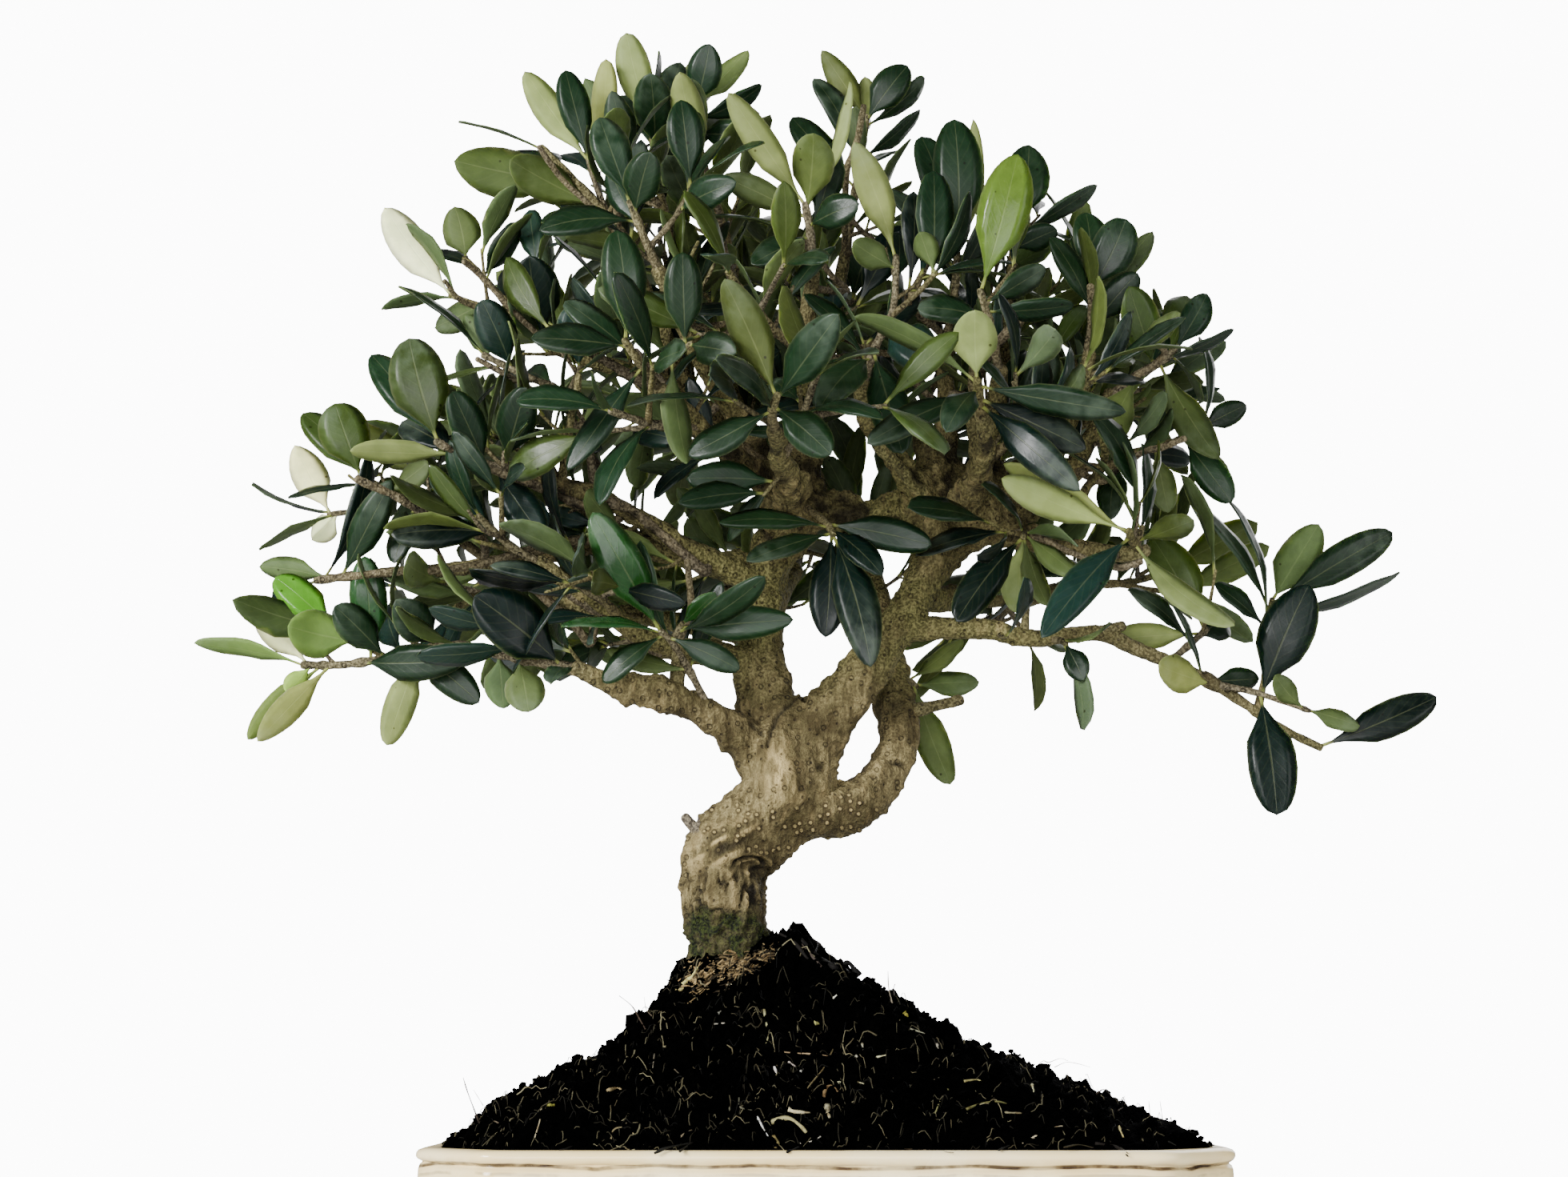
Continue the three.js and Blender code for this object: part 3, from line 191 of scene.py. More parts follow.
SHOOTS = (
    Shoot("low_right_end", ((2.1, (131, -8, 237), (145, -8, 228), (158, -8, 219), (172, -8, 212)),
        (1.3, (136, -8, 234), (147, -14, 231), (158, -16, 227), (167, -15, 224)),
        (1.4, (150, -8, 225), (154, -4, 240), (155, -2, 254), (158, 0, 266))),
        ((0, 1, 212, -8, 230, 13, 0, Tone.DEEP), (1, 0.42, 153, -22, 188, 17, 0, Tone.DEEP),
        (1, 1, 184, -12, 219, 8, 170), (1, 0.95, 153, -26, 235, 8, 165),
        (0, 0.1, 109, -20, 238, 13, 175, Tone.PALE_AND_BACKLIT), (0, 0.12, 152, -3, 237, 9, 20),
        (0, 0.08, 121, -14, 262, 9, 60), (2, 0.08, 168, -15, 268, 19, 0, Tone.DEEP),
        (2, 1, 176, 4, 293, 15, 175), (2, 0.98, 203, 8, 291, 13, 10), (2, 0.8, 206, 12, 277, 9, 70),
        (2, 0.93, 133, -8, 296, 12, 45), (2, 0.95, 144, 0, 301, 10, 62), (2, 0.8, 140, -10, 271, 10, 30))),
    Shoot("low_right_inner", ((1.5, (120, -8, 242), (127, -4, 248), (135, -2, 255)),),
        ((0, 1, 117, 3, 288, 17, 0, Tone.OLIVE), (0, 0.6, 106, -12, 267, 10, 30),
        (0, 0.85, 108, -16, 251, 10, 170, Tone.PALE_AND_BACKLIT), (0, 0.95, 143, 12, 262, 14, 20))),
    Shoot("low_right_hanging", ((1.2, (78, -9, 250), (82, -13, 249), (84, -16, 247)),),
        ((0, 1, 89, -20, 234, 9, 10),)),
    Shoot("loop_back", ((1.3, (26, 20, 240), (31, 25, 241), (35, 27, 238)),),
        ((0, 0.9, 57, 28, 240, 11, 165), (0, 0.6, 52, 34, 253, 9, 150), (0, 1, 46, 25, 203, 13, 170))),
    Shoot("right_front_end", ((1.7, (110, -15, 280), (106, -24, 282), (104, -32, 284)),
        (1.3, (108, -19, 281), (110, -24, 287))),
        ((0, 1, 60, -44, 299, 12, 165, Tone.PALE_AND_BACKLIT), (0, 0.75, 62, -32, 307, 11, 130, Tone.PALE_AND_BACKLIT),
        (1, 1, 83, -30, 312, 10, 70), (1, 0.8, 121, -26, 286, 9, 72),
        (0, 0.8, 72, -50, 244, 13, 0, Tone.BLUE), (0, 0.35, 138, -36, 250, 11, 165, Tone.PALE_AND_BACKLIT))),
    Shoot("right_front_mid", ((1.4, (70, -4, 288), (70, -14, 286), (69, -22, 283)),),
        ((0, 1, 45, -34, 252, 13, 0, Tone.DEEP), (0, 0.7, 66, -22, 257, 12, 170, Tone.PALE_AND_BACKLIT),
        (0, 0.8, 74, -18, 259, 10, 150), (0, 0.9, 88, -26, 268, 10, 160))),
    Shoot("centre_hanging", ((1.5, (-7, 3, 300), (1, -16, 290), (4, -26, 283)),),
        ((0, 0.85, 1, -32, 247, 14, 0, Tone.DEEP), (0, 1, 16, -34, 235, 15, 0, Tone.DEEP),
        (0, 0.6, 37, -30, 279, 12, 10), (0, 0.7, -35, -34, 286, 9, 20), (0, 0.9, -26, -40, 268, 10, 20))),
    Shoot("low_left_glossy", ((1.5, (-37, -9, 222), (-45, -20, 237), (-51, -29, 246), (-55, -34, 249)),
        (1.1, (-51, -28, 246), (-47, -34, 252))),
        ((0, 1, -78, -40, 287, 15, 0, Tone.FRESH), (0, 0.98, -87, -44, 249, 10, 50, Tone.FRESH),
        (0, 0.85, -74, -30, 232, 10, 20), (1, 1, -36, -38, 261, 8, 40, Tone.FRESH),
        (1, 0.9, -10, -44, 251, 12, 10), (1, 0.6, -20, -46, 272, 10, 35), (0, 0.75, -28, -32, 236, 9, 15))),
    Shoot("low_left_end", ((2, (-81, -27, 236), (-103, -25, 241), (-126, -19, 246), (-148, -13, 243),
          (-165, -9, 241), (-180, -8, 241)), (1.2, (-150, -13, 243), (-160, -8, 249), (-170, -6, 254))),
        ((0, 1, -217, -8, 249, 9, 120, Tone.LIGHT), (0, 0.98, -198, 0, 263, 13, 175, Tone.WHITE),
        (0, 0.95, -184, -12, 231, 8, 160, Tone.BRIGHT), (0, 0.9, -197, -10, 215, 9, 150, Tone.LIGHT),
        (0, 0.86, -193, -16, 212, 10, 165, Tone.PALE_AND_BACKLIT), (1, 0.5, -183, -18, 253, 17, 170, Tone.LIGHT),
        (1, 1, -191, -2, 273, 13, 10, Tone.BRIGHT), (0, 0.68, -157, -20, 277, 13, 5, Tone.FRESH),
        (0, 0.72, -121, -26, 240, 13, 15), (0, 0.5, -148, -18, 212, 11, 172, Tone.PALE_AND_BACKLIT),
        (0, 0.52, -121, -30, 229, 12, 10), (0, 0.45, -146, -26, 261, 14, 0),
        (0, 0.26, -108, -22, 224, 12, 172), (0, 0.2, -99, -28, 222, 14, 170),
        (0, 0.06, -116, -44, 259, 21, 8, Tone.DEEP), (0, 0.04, -88, -34, 222, 9, 10),
        (0, 0.62, -166, -24, 259, 13, 8))),
    Shoot("left_fourth_end", ((1.9, (-153, 4, 275), (-166, 2, 274), (-178, 0, 272)),),
        ((0, 1, -195, 4, 264, 13, 10, Tone.DEEP), (0, 0.85, -162, -6, 317, 10, 55, Tone.DEEP),
        (0, 0.6, -149, -8, 307, 12, 12), (0, 0.4, -153, 0, 262, 10, 12), (0, 0.95, -199, 10, 279, 9, 150))),
    Shoot("left_mid_outer", ((1.8, (-116, 4, 279), (-133, 0, 291), (-148, -3, 301), (-163, -4, 309)),
        (1.2, (-150, -3, 302), (-164, 3, 298), (-175, 6, 297))),
        ((0, 1, -171, -8, 334, 18, 8, Tone.OLIVE), (0, 0.96, -184, 2, 333, 15, 20, Tone.OLIVE),
        (0, 0.97, -186, -10, 300, 9, 55), (1, 1, -188, 10, 323, 13, 178, Tone.WHITE),
        (1, 0.8, -181, 12, 289, 10, 175, Tone.WHITE), (0, 0.75, -137, -10, 312, 12, 165),
        (0, 0.55, -150, -14, 284, 11, 20), (0, 0.4, -118, -12, 296, 12, 10))),
    Shoot("left_third_end", ((1.9, (-104, -19, 305), (-115, -23, 308), (-124, -26, 311), (-133, -28, 316)),
        (1.3, (-109, -21, 306), (-109, -28, 312))),
        ((0, 1, -142, -32, 351, 20, 0, Tone.OLIVE), (0, 0.7, -160, -38, 310, 9, 140, Tone.PALE_AND_BACKLIT),
        (0, 0.9, -157, -18, 349, 15, 10), (1, 1, -107, -36, 356, 10, 80, Tone.PALE_AND_BACKLIT),
        (1, 0.7, -100, -34, 334, 14, 8), (0, 0.35, -126, -36, 331, 13, 10),
        (0, 0.25, -98, -38, 286, 13, 5, Tone.BLUE))),
    Shoot("left_high_mid", (
        (1.8, (-78, -15, 299), (-81, -20, 316), (-88, -24, 332), (-103, -24, 340), (-118, -22, 348)),
        (1.2, (-88, -24, 332), (-83, -30, 342))),
        ((0, 1, -148, -18, 374, 9, 55), (0, 0.97, -125, -26, 361, 8, 165),
        (1, 1, -84, -38, 362, 15, 5, Tone.BLUE), (0, 0.82, -117, -34, 364, 14, 8, Tone.BLUE),
        (0, 0.6, -124, -36, 330, 13, 15))),
    Shoot("left_high_end", ((1.8, (-95, -4, 355), (-108, -3, 368), (-118, -2, 379), (-128, 0, 390)),
        (1.3, (-107, -3, 367), (-120, -2, 371), (-133, 0, 376))),
        ((1, 1, -157, 2, 409, 14, 178, Tone.WHITE), (0, 0.98, -132, 4, 410, 14, 175),
        (0, 0.85, -140, 10, 404, 10, 30), (0, 0.06, -102, -24, 383, 19, 5, Tone.BLUE),
        (1, 0.55, -139, 12, 367, 11, 168), (0, 0.75, -108, -12, 399, 11, 60))),
    Shoot("left_crown_end", ((2, (-71, -5, 396), (-80, -5, 408), (-90, -4, 419), (-101, -2, 431)),
        (1.3, (-76, -5, 404), (-81, -2, 417), (-84, 2, 428))),
        ((0, 0.55, -131, -8, 423, 19, 170, Tone.OLIVE), (0, 0.3, -110, -18, 420, 15, 168, Tone.OLIVE),
        (0, 1, -131, 2, 442, 9, 65), (0, 0.8, -118, 8, 428, 12, 15),
        (1, 1, -108, 8, 463, 12, 178, Tone.PALE_AND_BACKLIT), (1, 0.96, -92, -4, 459, 12, 5),
        (1, 0.85, -78, 6, 467, 10, 170, Tone.PALE_AND_BACKLIT), (0, 0.1, -98, -22, 396, 12, 20))),
    Shoot("top_left_end", ((1.9, (-52, 10, 395), (-57, 9, 412), (-60, 8, 428), (-61, 8, 444)),
        (1.3, (-57, 9, 412), (-68, 4, 420), (-74, 2, 430))),
        ((0, 1, -71, 8, 478, 13, 176, Tone.PALE_AND_BACKLIT), (1, 1, -58, -2, 467, 9, 75),
        (0, 0.75, -62, -8, 458, 15, 5), (0, 0.85, -52, 16, 467, 12, 10), (1, 0.7, -76, -10, 449, 12, 12))),
    Shoot("top_left_inner", (
        (1.7, (-31, 3, 386), (-36, -2, 405), (-41, -5, 420), (-45, 2, 440), (-46, 8, 452)),),
        ((0, 0.5, -50, -20, 452, 12, 174, Tone.PALE_AND_BACKLIT), (0, 1, -50, 14, 474, 8, 175, Tone.PALE_AND_BACKLIT),
        (0, 0.96, -26, 8, 471, 10, 168), (0, 0.9, -40, -4, 469, 13, 5), (0, 0.7, -24, -10, 432, 11, 25),
        (0, 0.79, -21, 6, 457, 9, 60))),
    Shoot("top_middle_end", ((1.8, (9, 10, 392), (12, 9, 412), (15, 7, 430), (17, 6, 446)),),
        ((0, 1, 1, 10, 472, 10, 170), (0, 0.98, 32, 2, 463, 13, 8), (0, 0.92, 39, 14, 463, 9, 60),
        (0, 1, 17, 16, 464, 8, 176, Tone.PALE_AND_BACKLIT), (0, 0.6, -2, 4, 459, 11, 15),
        (0, 0.45, -10, 20, 450, 13, 8), (0, 0.65, 37, 10, 449, 9, 65))),
    Shoot("front_crown_end", ((1.7, (-3, -37, 370), (-4, -43, 384), (-6, -47, 395)),),
        ((0, 1, -32, -52, 432, 11, 172, Tone.PALE_AND_BACKLIT), (0, 0.95, 10, -46, 438, 9, 130, Tone.PALE_AND_BACKLIT),
        (0, 1, -3, -62, 414, 15, 168, Tone.OLIVE), (0, 0.8, -34, -56, 401, 10, 150),
        (0, 0.75, 12, -60, 390, 12, 15), (0, 0.5, -24, -50, 372, 12, 10))),
    Shoot("yellow_limb_end", ((1.7, (13, -35, 332), (18, -42, 345), (24, -46, 358), (25, -48, 376)),
        (1.1, (22, -45, 354), (32, -48, 362), (39, -49, 370))),
        ((0, 1, 11, -56, 413, 12, 174, Tone.PALE_AND_BACKLIT), (0, 0.94, 10, -58, 377, 10, 160),
        (1, 1, 33, -54, 382, 9, 150), (0, 0.5, 36, -60, 334, 16, 10, Tone.BLUE),
        (0, 0.3, 26, -60, 304, 14, 5), (0, 0.25, -2, -56, 316, 15, 8), (1, 0.8, 50, -54, 396, 10, 55))),
    Shoot("front_right_crown_end", ((1.8, (61, -33, 337), (57, -44, 351), (53, -51, 363)),),
        ((0, 1, 66, -58, 408, 18, 4, Tone.LIGHT), (0, 0.7, 85, -48, 358, 10, 60),
        (0, 0.6, 32, -52, 356, 12, 12), (0, 0.8, 76, -46, 372, 10, 40))),
    Shoot("top_right_end", ((1.7, (44, -8, 356), (47, -14, 373), (48, -17, 388)),),
        ((0, 1, 47, -24, 433, 18, 2), (0, 0.85, 36, -12, 431, 15, 8),
        (0, 0.95, 56, 4, 443, 9, 150, Tone.PALE_AND_BACKLIT), (0, 0.7, 24, -10, 412, 11, 20),
        (0, 0.6, 62, -20, 403, 10, 45))),
    Shoot("top_far_right_end", ((1.7, (66, -2, 370), (68, -4, 386), (70, -5, 399)),),
        ((0, 1, 75, -6, 430, 17, 4), (0, 0.95, 99, -8, 414, 9, 65), (0, 0.7, 84, -10, 397, 10, 30),
        (0, 0.8, 50, 2, 422, 11, 20))),
    Shoot("right_crown_end", ((1.7, (94, -14, 348), (95, -15, 362), (95, -16, 376)),),
        ((0, 1, 94, -14, 402, 13, 10), (0, 0.97, 107, -22, 397, 16, 4), (0, 0.92, 118, -10, 396, 11, 165),
        (0, 0.85, 90, 4, 421, 9, 55), (0, 0.6, 80, -26, 389, 11, 20), (0, 0.4, 110, -26, 376, 11, 15))),
    Shoot("right_high_end", ((1.7, (102, -6, 336), (110, -10, 343), (118, -12, 347), (125, -12, 353)),),
        ((0, 0.62, 104, -20, 372, 15, 4, Tone.OLIVE), (0, 0.7, 137, -20, 311, 14, 172, Tone.OLIVE),
        (0, 1, 137, -8, 374, 11, 12), (0, 0.9, 132, -2, 378, 15, 2, Tone.OLIVE),
        (0, 1, 145, -14, 359, 7, 70), (0, 0.4, 97, -30, 314, 13, 170))),
    Shoot("right_mid_end", (
        (1.8, (90, -1, 313), (100, -4, 312), (112, -6, 317), (125, -6, 321), (136, -6, 327)),),
        ((0, 1, 139, -6, 359, 9, 60), (0, 0.98, 150, -6, 334, 9, 10), (0, 0.8, 143, -10, 298, 12, 6),
        (0, 0.85, 145, 2, 309, 9, 160), (0, 0.6, 122, -2, 296, 11, 170), (0, 0.35, 100, -14, 291, 11, 20),
        (0, 0.5, 128, 10, 343, 12, 10))),
    Shoot("front_right_end", ((1.8, (53, -55, 317), (51, -66, 323), (50, -73, 326)),),
        ((0, 1, 49, -84, 346, 15, 172, Tone.PALE_AND_BACKLIT), (0, 0.9, 10, -84, 344, 9, 120),
        (0, 0.95, 98, -76, 314, 11, 40), (0, 0.8, 39, -86, 305, 11, 8), (0, 0.5, 14, -74, 304, 11, 10),
        (0, 0.6, 86, -66, 304, 14, 5, Tone.DEEP), (0, 0.7, 82, -80, 287, 12, 25, Tone.DEEP))),
    Shoot("front_middle_end", ((1.8, (-16, -61, 312), (-17, -74, 314), (-15, -84, 318)),),
        ((0, 0.9, -32, -92, 354, 14, 155, Tone.OLIVE), (0, 1, 4, -110, 337, 14, 10),
        (0, 0.7, 2, -84, 298, 13, 5), (0, 0.6, -44, -74, 300, 12, 12), (0, 0.95, -34, -116, 321, 12, 15))),
    Shoot("front_left_end", ((1.8, (-53, -53, 326), (-60, -62, 333), (-66, -68, 341)),
        (1.2, (-58, -59, 331), (-50, -68, 334), (-43, -74, 338))),
        ((0, 1, -68, -74, 376, 15, 5), (0, 0.5, -84, -66, 297, 11, 20), (1, 0.5, -45, -70, 298, 11, 150),
        (0, 0.9, -96, -72, 340, 13, 10), (1, 1, -26, -84, 330, 12, 12), (1, 0.9, -46, -82, 366, 13, 8),
        (0, 0.7, -86, -60, 356, 12, 25))),
    Shoot("front_left_crown_end", ((1.8, (-55, -35, 372), (-61, -42, 384), (-66, -46, 396)),
        (1.2, (-59, -40, 381), (-50, -46, 390), (-44, -50, 400))),
        ((0, 1, -76, -50, 424, 14, 8), (0, 0.7, -96, -50, 384, 13, 12), (1, 1, -48, -56, 428, 13, 8),
        (0, 0.8, -58, -60, 408, 13, 6), (1, 0.6, -26, -56, 398, 12, 15))),
    spread("front_left_side", (-42, -38, 319), (-70, -74, 315)),
    spread("front_middle_side", (-14, -34, 307), (-2, -82, 326)),
    spread("front_right_side", (54, -32, 307), (88, -56, 334)),
    spread("front_crown_side", (-6, -26, 346), (-32, -62, 366)),
    spread("left_second_end", (-96, -18, 274), (-118, -28, 290)),
    spread("left_second_fork_end", (-103, -6, 275), (-128, -2, 262)),
    spread("left_second_front", (-70, -11, 257), (-78, -38, 268)),
    spread("back_left_low_end", (-91, 65, 279), (-124, 75, 291)),
    spread("back_left_low_side", (-64, 48, 268), (-74, 78, 262)),
    spread("back_low_end", (-8, 63, 293), (-4, 84, 306)),
    spread("back_low_side", (-12, 46, 279), (-40, 76, 286)),
    spread("back_right_low_end", (101, 57, 281), (134, 76, 290)),
    spread("back_right_low_side", (74, 40, 273), (62, 74, 270)),
    spread("back_left_mid_end", (-105, 45, 313), (-138, 58, 328)),
    spread("back_left_mid_side", (-84, 33, 301), (-112, 30, 334)),
    spread("back_left_high_end", (-67, 71, 361), (-92, 88, 386)),
    spread("back_left_high_side", (-48, 52, 341), (-38, 82, 346)),
    spread("back_high_end", (-4, 67, 371), (-8, 74, 405)),
    spread("back_high_side", (-4, 52, 348), (18, 80, 358)),
    spread("back_right_high_end", (103, 63, 351), (126, 78, 372)),
    spread("back_right_high_side", (86, 45, 331), (112, 30, 350)),
    spread("back_right_mid_end", (40, 65, 351), (50, 80, 381)),
    spread("back_right_mid_side", (40, 45, 326), (68, 72, 324)),
    spread("top_back_left", (-44, 13, 370), (-60, 42, 410)),
    spread("top_back_middle", (2, 15, 360), (-6, 42, 400)),
    spread("top_back_right", (65, 3, 346), (62, 40, 392)),
    spread("loop_end", (18, 36, 284), (8, 62, 306)),
)

# What lies on the soil, as (radius, screen colour, point, point, ...), each point where it shows
# on the middle plane, as (x, z).
LITTER = (
    (1.0, (200, 190, 150), (-11.6, 89.9), (-8.9, 89.1), (-4.3, 88.9)),
    (1.1, (140, 135, 95), (-17.1, 85.7), (-11.6, 87.0), (-7.6, 84.6), (-5.4, 82.2)),
    (1.2, (120, 110, 70), (-16.5, 80.9), (-15.4, 78.3), (-16.2, 76.7)),
    (1.3, (150, 145, 115), (1.6, 90.7), (2.4, 87.3)),
    (0.9, (110, 90, 60), (0.5, 94.2), (1.1, 96.8), (3.3, 97.9), (5.2, 95.8)),
    (0.7, (150, 150, 110), (-19.8, 123.3), (-19.0, 118.7), (-17.9, 116.1), (-19.5, 110.7)),
    (0.4, (140, 120, 90), (-14.4, 109.4), (-7.6, 108.8), (-2.1, 108.6), (1.9, 108.0)),
    (0.4, (110, 100, 70), (3.6, 110.2), (0.6, 104.0), (-4.9, 97.4), (-8.1, 91.5)),
    (0.5, (160, 160, 125), (5.2, 99.0), (10.1, 99.5), (14.1, 98.7)),
    (0.6, (200, 195, 190), (-16.3, 104.3), (-14.9, 100.8)),
    (0.5, (180, 180, 170), (-7.6, 102.7), (-5.9, 103.8)),
    (0.5, (150, 140, 130), (-11.4, 105.9), (-8.9, 104.3)),
    (0.5, (170, 165, 150), (-37.0, 118.5), (-33.1, 119.0)),
    (0.6, (110, 110, 100), (-35.6, 122.0), (-34.5, 123.0)),
    (0.6, (200, 200, 180), (3.6, 127.1), (5.0, 128.4)), (1.0, (150, 150, 90), (-2.7, 118.7), (-1.0, 118.5)),
    (0.5, (150, 150, 130), (13.6, 112.0), (13.9, 109.9)),
    (0.7, (190, 190, 170), (11.2, 108.0), (12.0, 107.5)),
    (0.45, (190, 190, 150), (18.2, 107.5), (21.8, 108.3)),
    (0.6, (130, 130, 85), (42.6, 96.8), (39.8, 92.6), (37.6, 87.3)),
    (0.5, (100, 100, 60), (48.7, 90.2), (53.3, 92.0), (58.8, 92.8), (62.8, 92.0)),
    (0.5, (110, 105, 80), (61.4, 89.1), (67.4, 88.9)),
    (0.45, (180, 170, 140), (67.5, 78.8), (73.5, 82.0), (78.9, 84.3), (84.3, 84.6)),
    (0.5, (130, 125, 80), (48.0, 99.5), (52.6, 100.0), (54.8, 98.4)),
    (0.5, (180, 180, 140), (71.1, 98.4), (71.6, 96.0)),
    (0.9, (150, 145, 130), (38.7, 112.0), (39.2, 110.2)),
    (0.5, (190, 190, 180), (40.0, 86.5), (41.3, 83.5)), (0.6, (160, 150, 100), (99.8, 85.4), (101.6, 80.9)),
    (0.7, (20, 16, 12), (92.1, 78.8), (99.1, 77.7), (103.0, 74.6)),
    (0.45, (190, 190, 185), (-22.2, 88.1), (-19.8, 83.5), (-18.1, 80.9)),
    (0.45, (190, 185, 170), (-7.6, 78.8), (-3.5, 79.6), (-0.6, 81.2)),
    (0.5, (120, 110, 80), (-71.4, 80.1), (-70.3, 83.5), (-67.1, 84.1), (-63.8, 82.0), (-62.4, 79.8)),
    (0.35, (110, 105, 85), (-66.3, 85.4), (-66.3, 88.1), (-67.7, 89.9)),
    (0.45, (160, 150, 120), (-95.0, 91.0), (-95.5, 86.7), (-97.3, 80.4)),
    (0.8, (130, 115, 80), (-72.6, 96.3), (-69.9, 97.1), (-68.0, 96.6)),
    (0.5, (90, 80, 65), (-116.6, 86.5), (-110.9, 86.2), (-108.7, 84.6), (-107.9, 82.0)),
    (0.9, (120, 120, 50), (-92.9, 91.2), (-90.7, 91.5)),
    (0.4, (90, 90, 75), (-28.2, 94.2), (-27.9, 91.0), (-23.8, 89.9)),
    (0.4, (80, 80, 65), (-31.4, 94.2), (-31.4, 90.7), (-30.9, 86.7)),
    (0.45, (110, 100, 80), (-48.1, 80.6), (-46.8, 82.0), (-44.1, 83.3)),
    (0.4, (110, 105, 90), (-57.0, 108.6), (-57.5, 104.0)),
    (0.35, (90, 85, 70), (-50.2, 103.5), (-47.5, 101.1)),
    (0.4, (120, 120, 100), (30.0, 117.1), (34.9, 115.5)),
    (0.4, (150, 150, 140), (29.6, 98.2), (31.4, 96.3)), (0.4, (100, 95, 80), (33.9, 98.4), (39.6, 100.8)),
    (1.0, (130, 125, 50), (27.9, 122.5), (29.2, 120.9)),
    (0.45, (170, 150, 110), (-40.3, 131.1), (-38.1, 133.3), (-37.9, 136.3)),
    (0.7, (190, 180, 150), (-32.4, 131.7), (-31.0, 131.9)),
    (1.2, (190, 185, 120), (-47.7, 131.7), (-45.8, 133.3), (-44.4, 134.4), (-42.5, 137.6)),
    (1.0, (150, 140, 90), (-49.6, 129.5), (-47.1, 130.6)),
    (0.4, (60, 50, 40), (-60.1, 116.9), (-62.0, 120.1), (-64.8, 124.7), (-69.2, 128.2)),
    (0.35, (50, 42, 34), (-116.0, 85.7), (-120.0, 95.5), (-121.8, 100.8)),
    (0.2, (90, 80, 66), (-114.8, 91.5), (-118.2, 96.8)),
    (0.25, (90, 80, 66), (72.8, 104.8), (75.0, 106.4), (76.9, 105.9), (80.7, 107.2), (83.4, 106.4)),
    (0.2, (110, 100, 84), (78.8, 104.3), (82.6, 105.9), (86.1, 105.6), (91.0, 104.3)),
    (0.35, (50, 42, 34), (92.7, 95.2), (95.4, 96.8), (98.1, 94.2), (100.2, 91.0)),
    (0.3, (50, 42, 34), (100.1, 89.9), (101.8, 91.0), (102.9, 92.8)),
    (0.2, (60, 52, 44), (110.9, 87.3), (110.5, 93.1)), (0.2, (60, 52, 44), (115.0, 86.7), (114.3, 93.1)),
    (0.35, (150, 140, 120), (23.8, 125.7), (22.7, 130.9), (22.5, 136.5)),
    (0.3, (40, 34, 28), (24.6, 127.9), (24.4, 130.6), (24.9, 132.2)),
    (0.2, (110, 100, 84), (-57.9, 121.4), (-59.9, 123.6), (-60.7, 127.9)),
    (1.3, (12, 10, 8), (4.5, 137.1), (-1.5, 141.4), (-6.7, 146.3), (-11.1, 150.6)),
    (0.9, (16, 13, 10), (-4.8, 140.3), (-9.7, 146.3), (-14.4, 149.0)),
    (0.7, (60, 52, 46), (1.2, 136.5), (-3.4, 141.4), (-7.0, 145.7)),
    (0.8, (12, 10, 8), (9.4, 135.5), (6.1, 138.2), (2.3, 139.2)),
    (1.6, (8, 7, 6), (12.7, 134.4), (9.4, 138.7), (7.2, 138.7)),
    (0.5, (12, 10, 8), (-2.6, 142.5), (-1.5, 145.7), (-3.7, 147.9)),
    (0.6, (22, 22, 18), (-56.7, 75.6), (-52.2, 77.5), (-43.3, 79.1)),
    (0.5, (30, 28, 20), (-48.1, 76.4), (-43.8, 79.3)),
    (0.35, (40, 36, 24), (96.7, 79.6), (100.4, 77.7), (103.1, 75.6)),
    (0.3, (60, 56, 40), (81.5, 77.7), (86.9, 78.5), (93.4, 76.9)),
    (0.25, (90, 80, 60), (24.3, 77.2), (32.9, 76.9), (44.2, 75.9)),
    (0.5, (16, 16, 14), (-88.6, 76.4), (-84.3, 78.0)), (0.45, (20, 20, 16), (59.4, 76.7), (63.2, 78.3)),
    (0.5, (14, 14, 12), (-11.9, 76.1), (-7.1, 78.0)), (0.4, (18, 18, 14), (115.3, 80.4), (119.3, 78.3)),
)

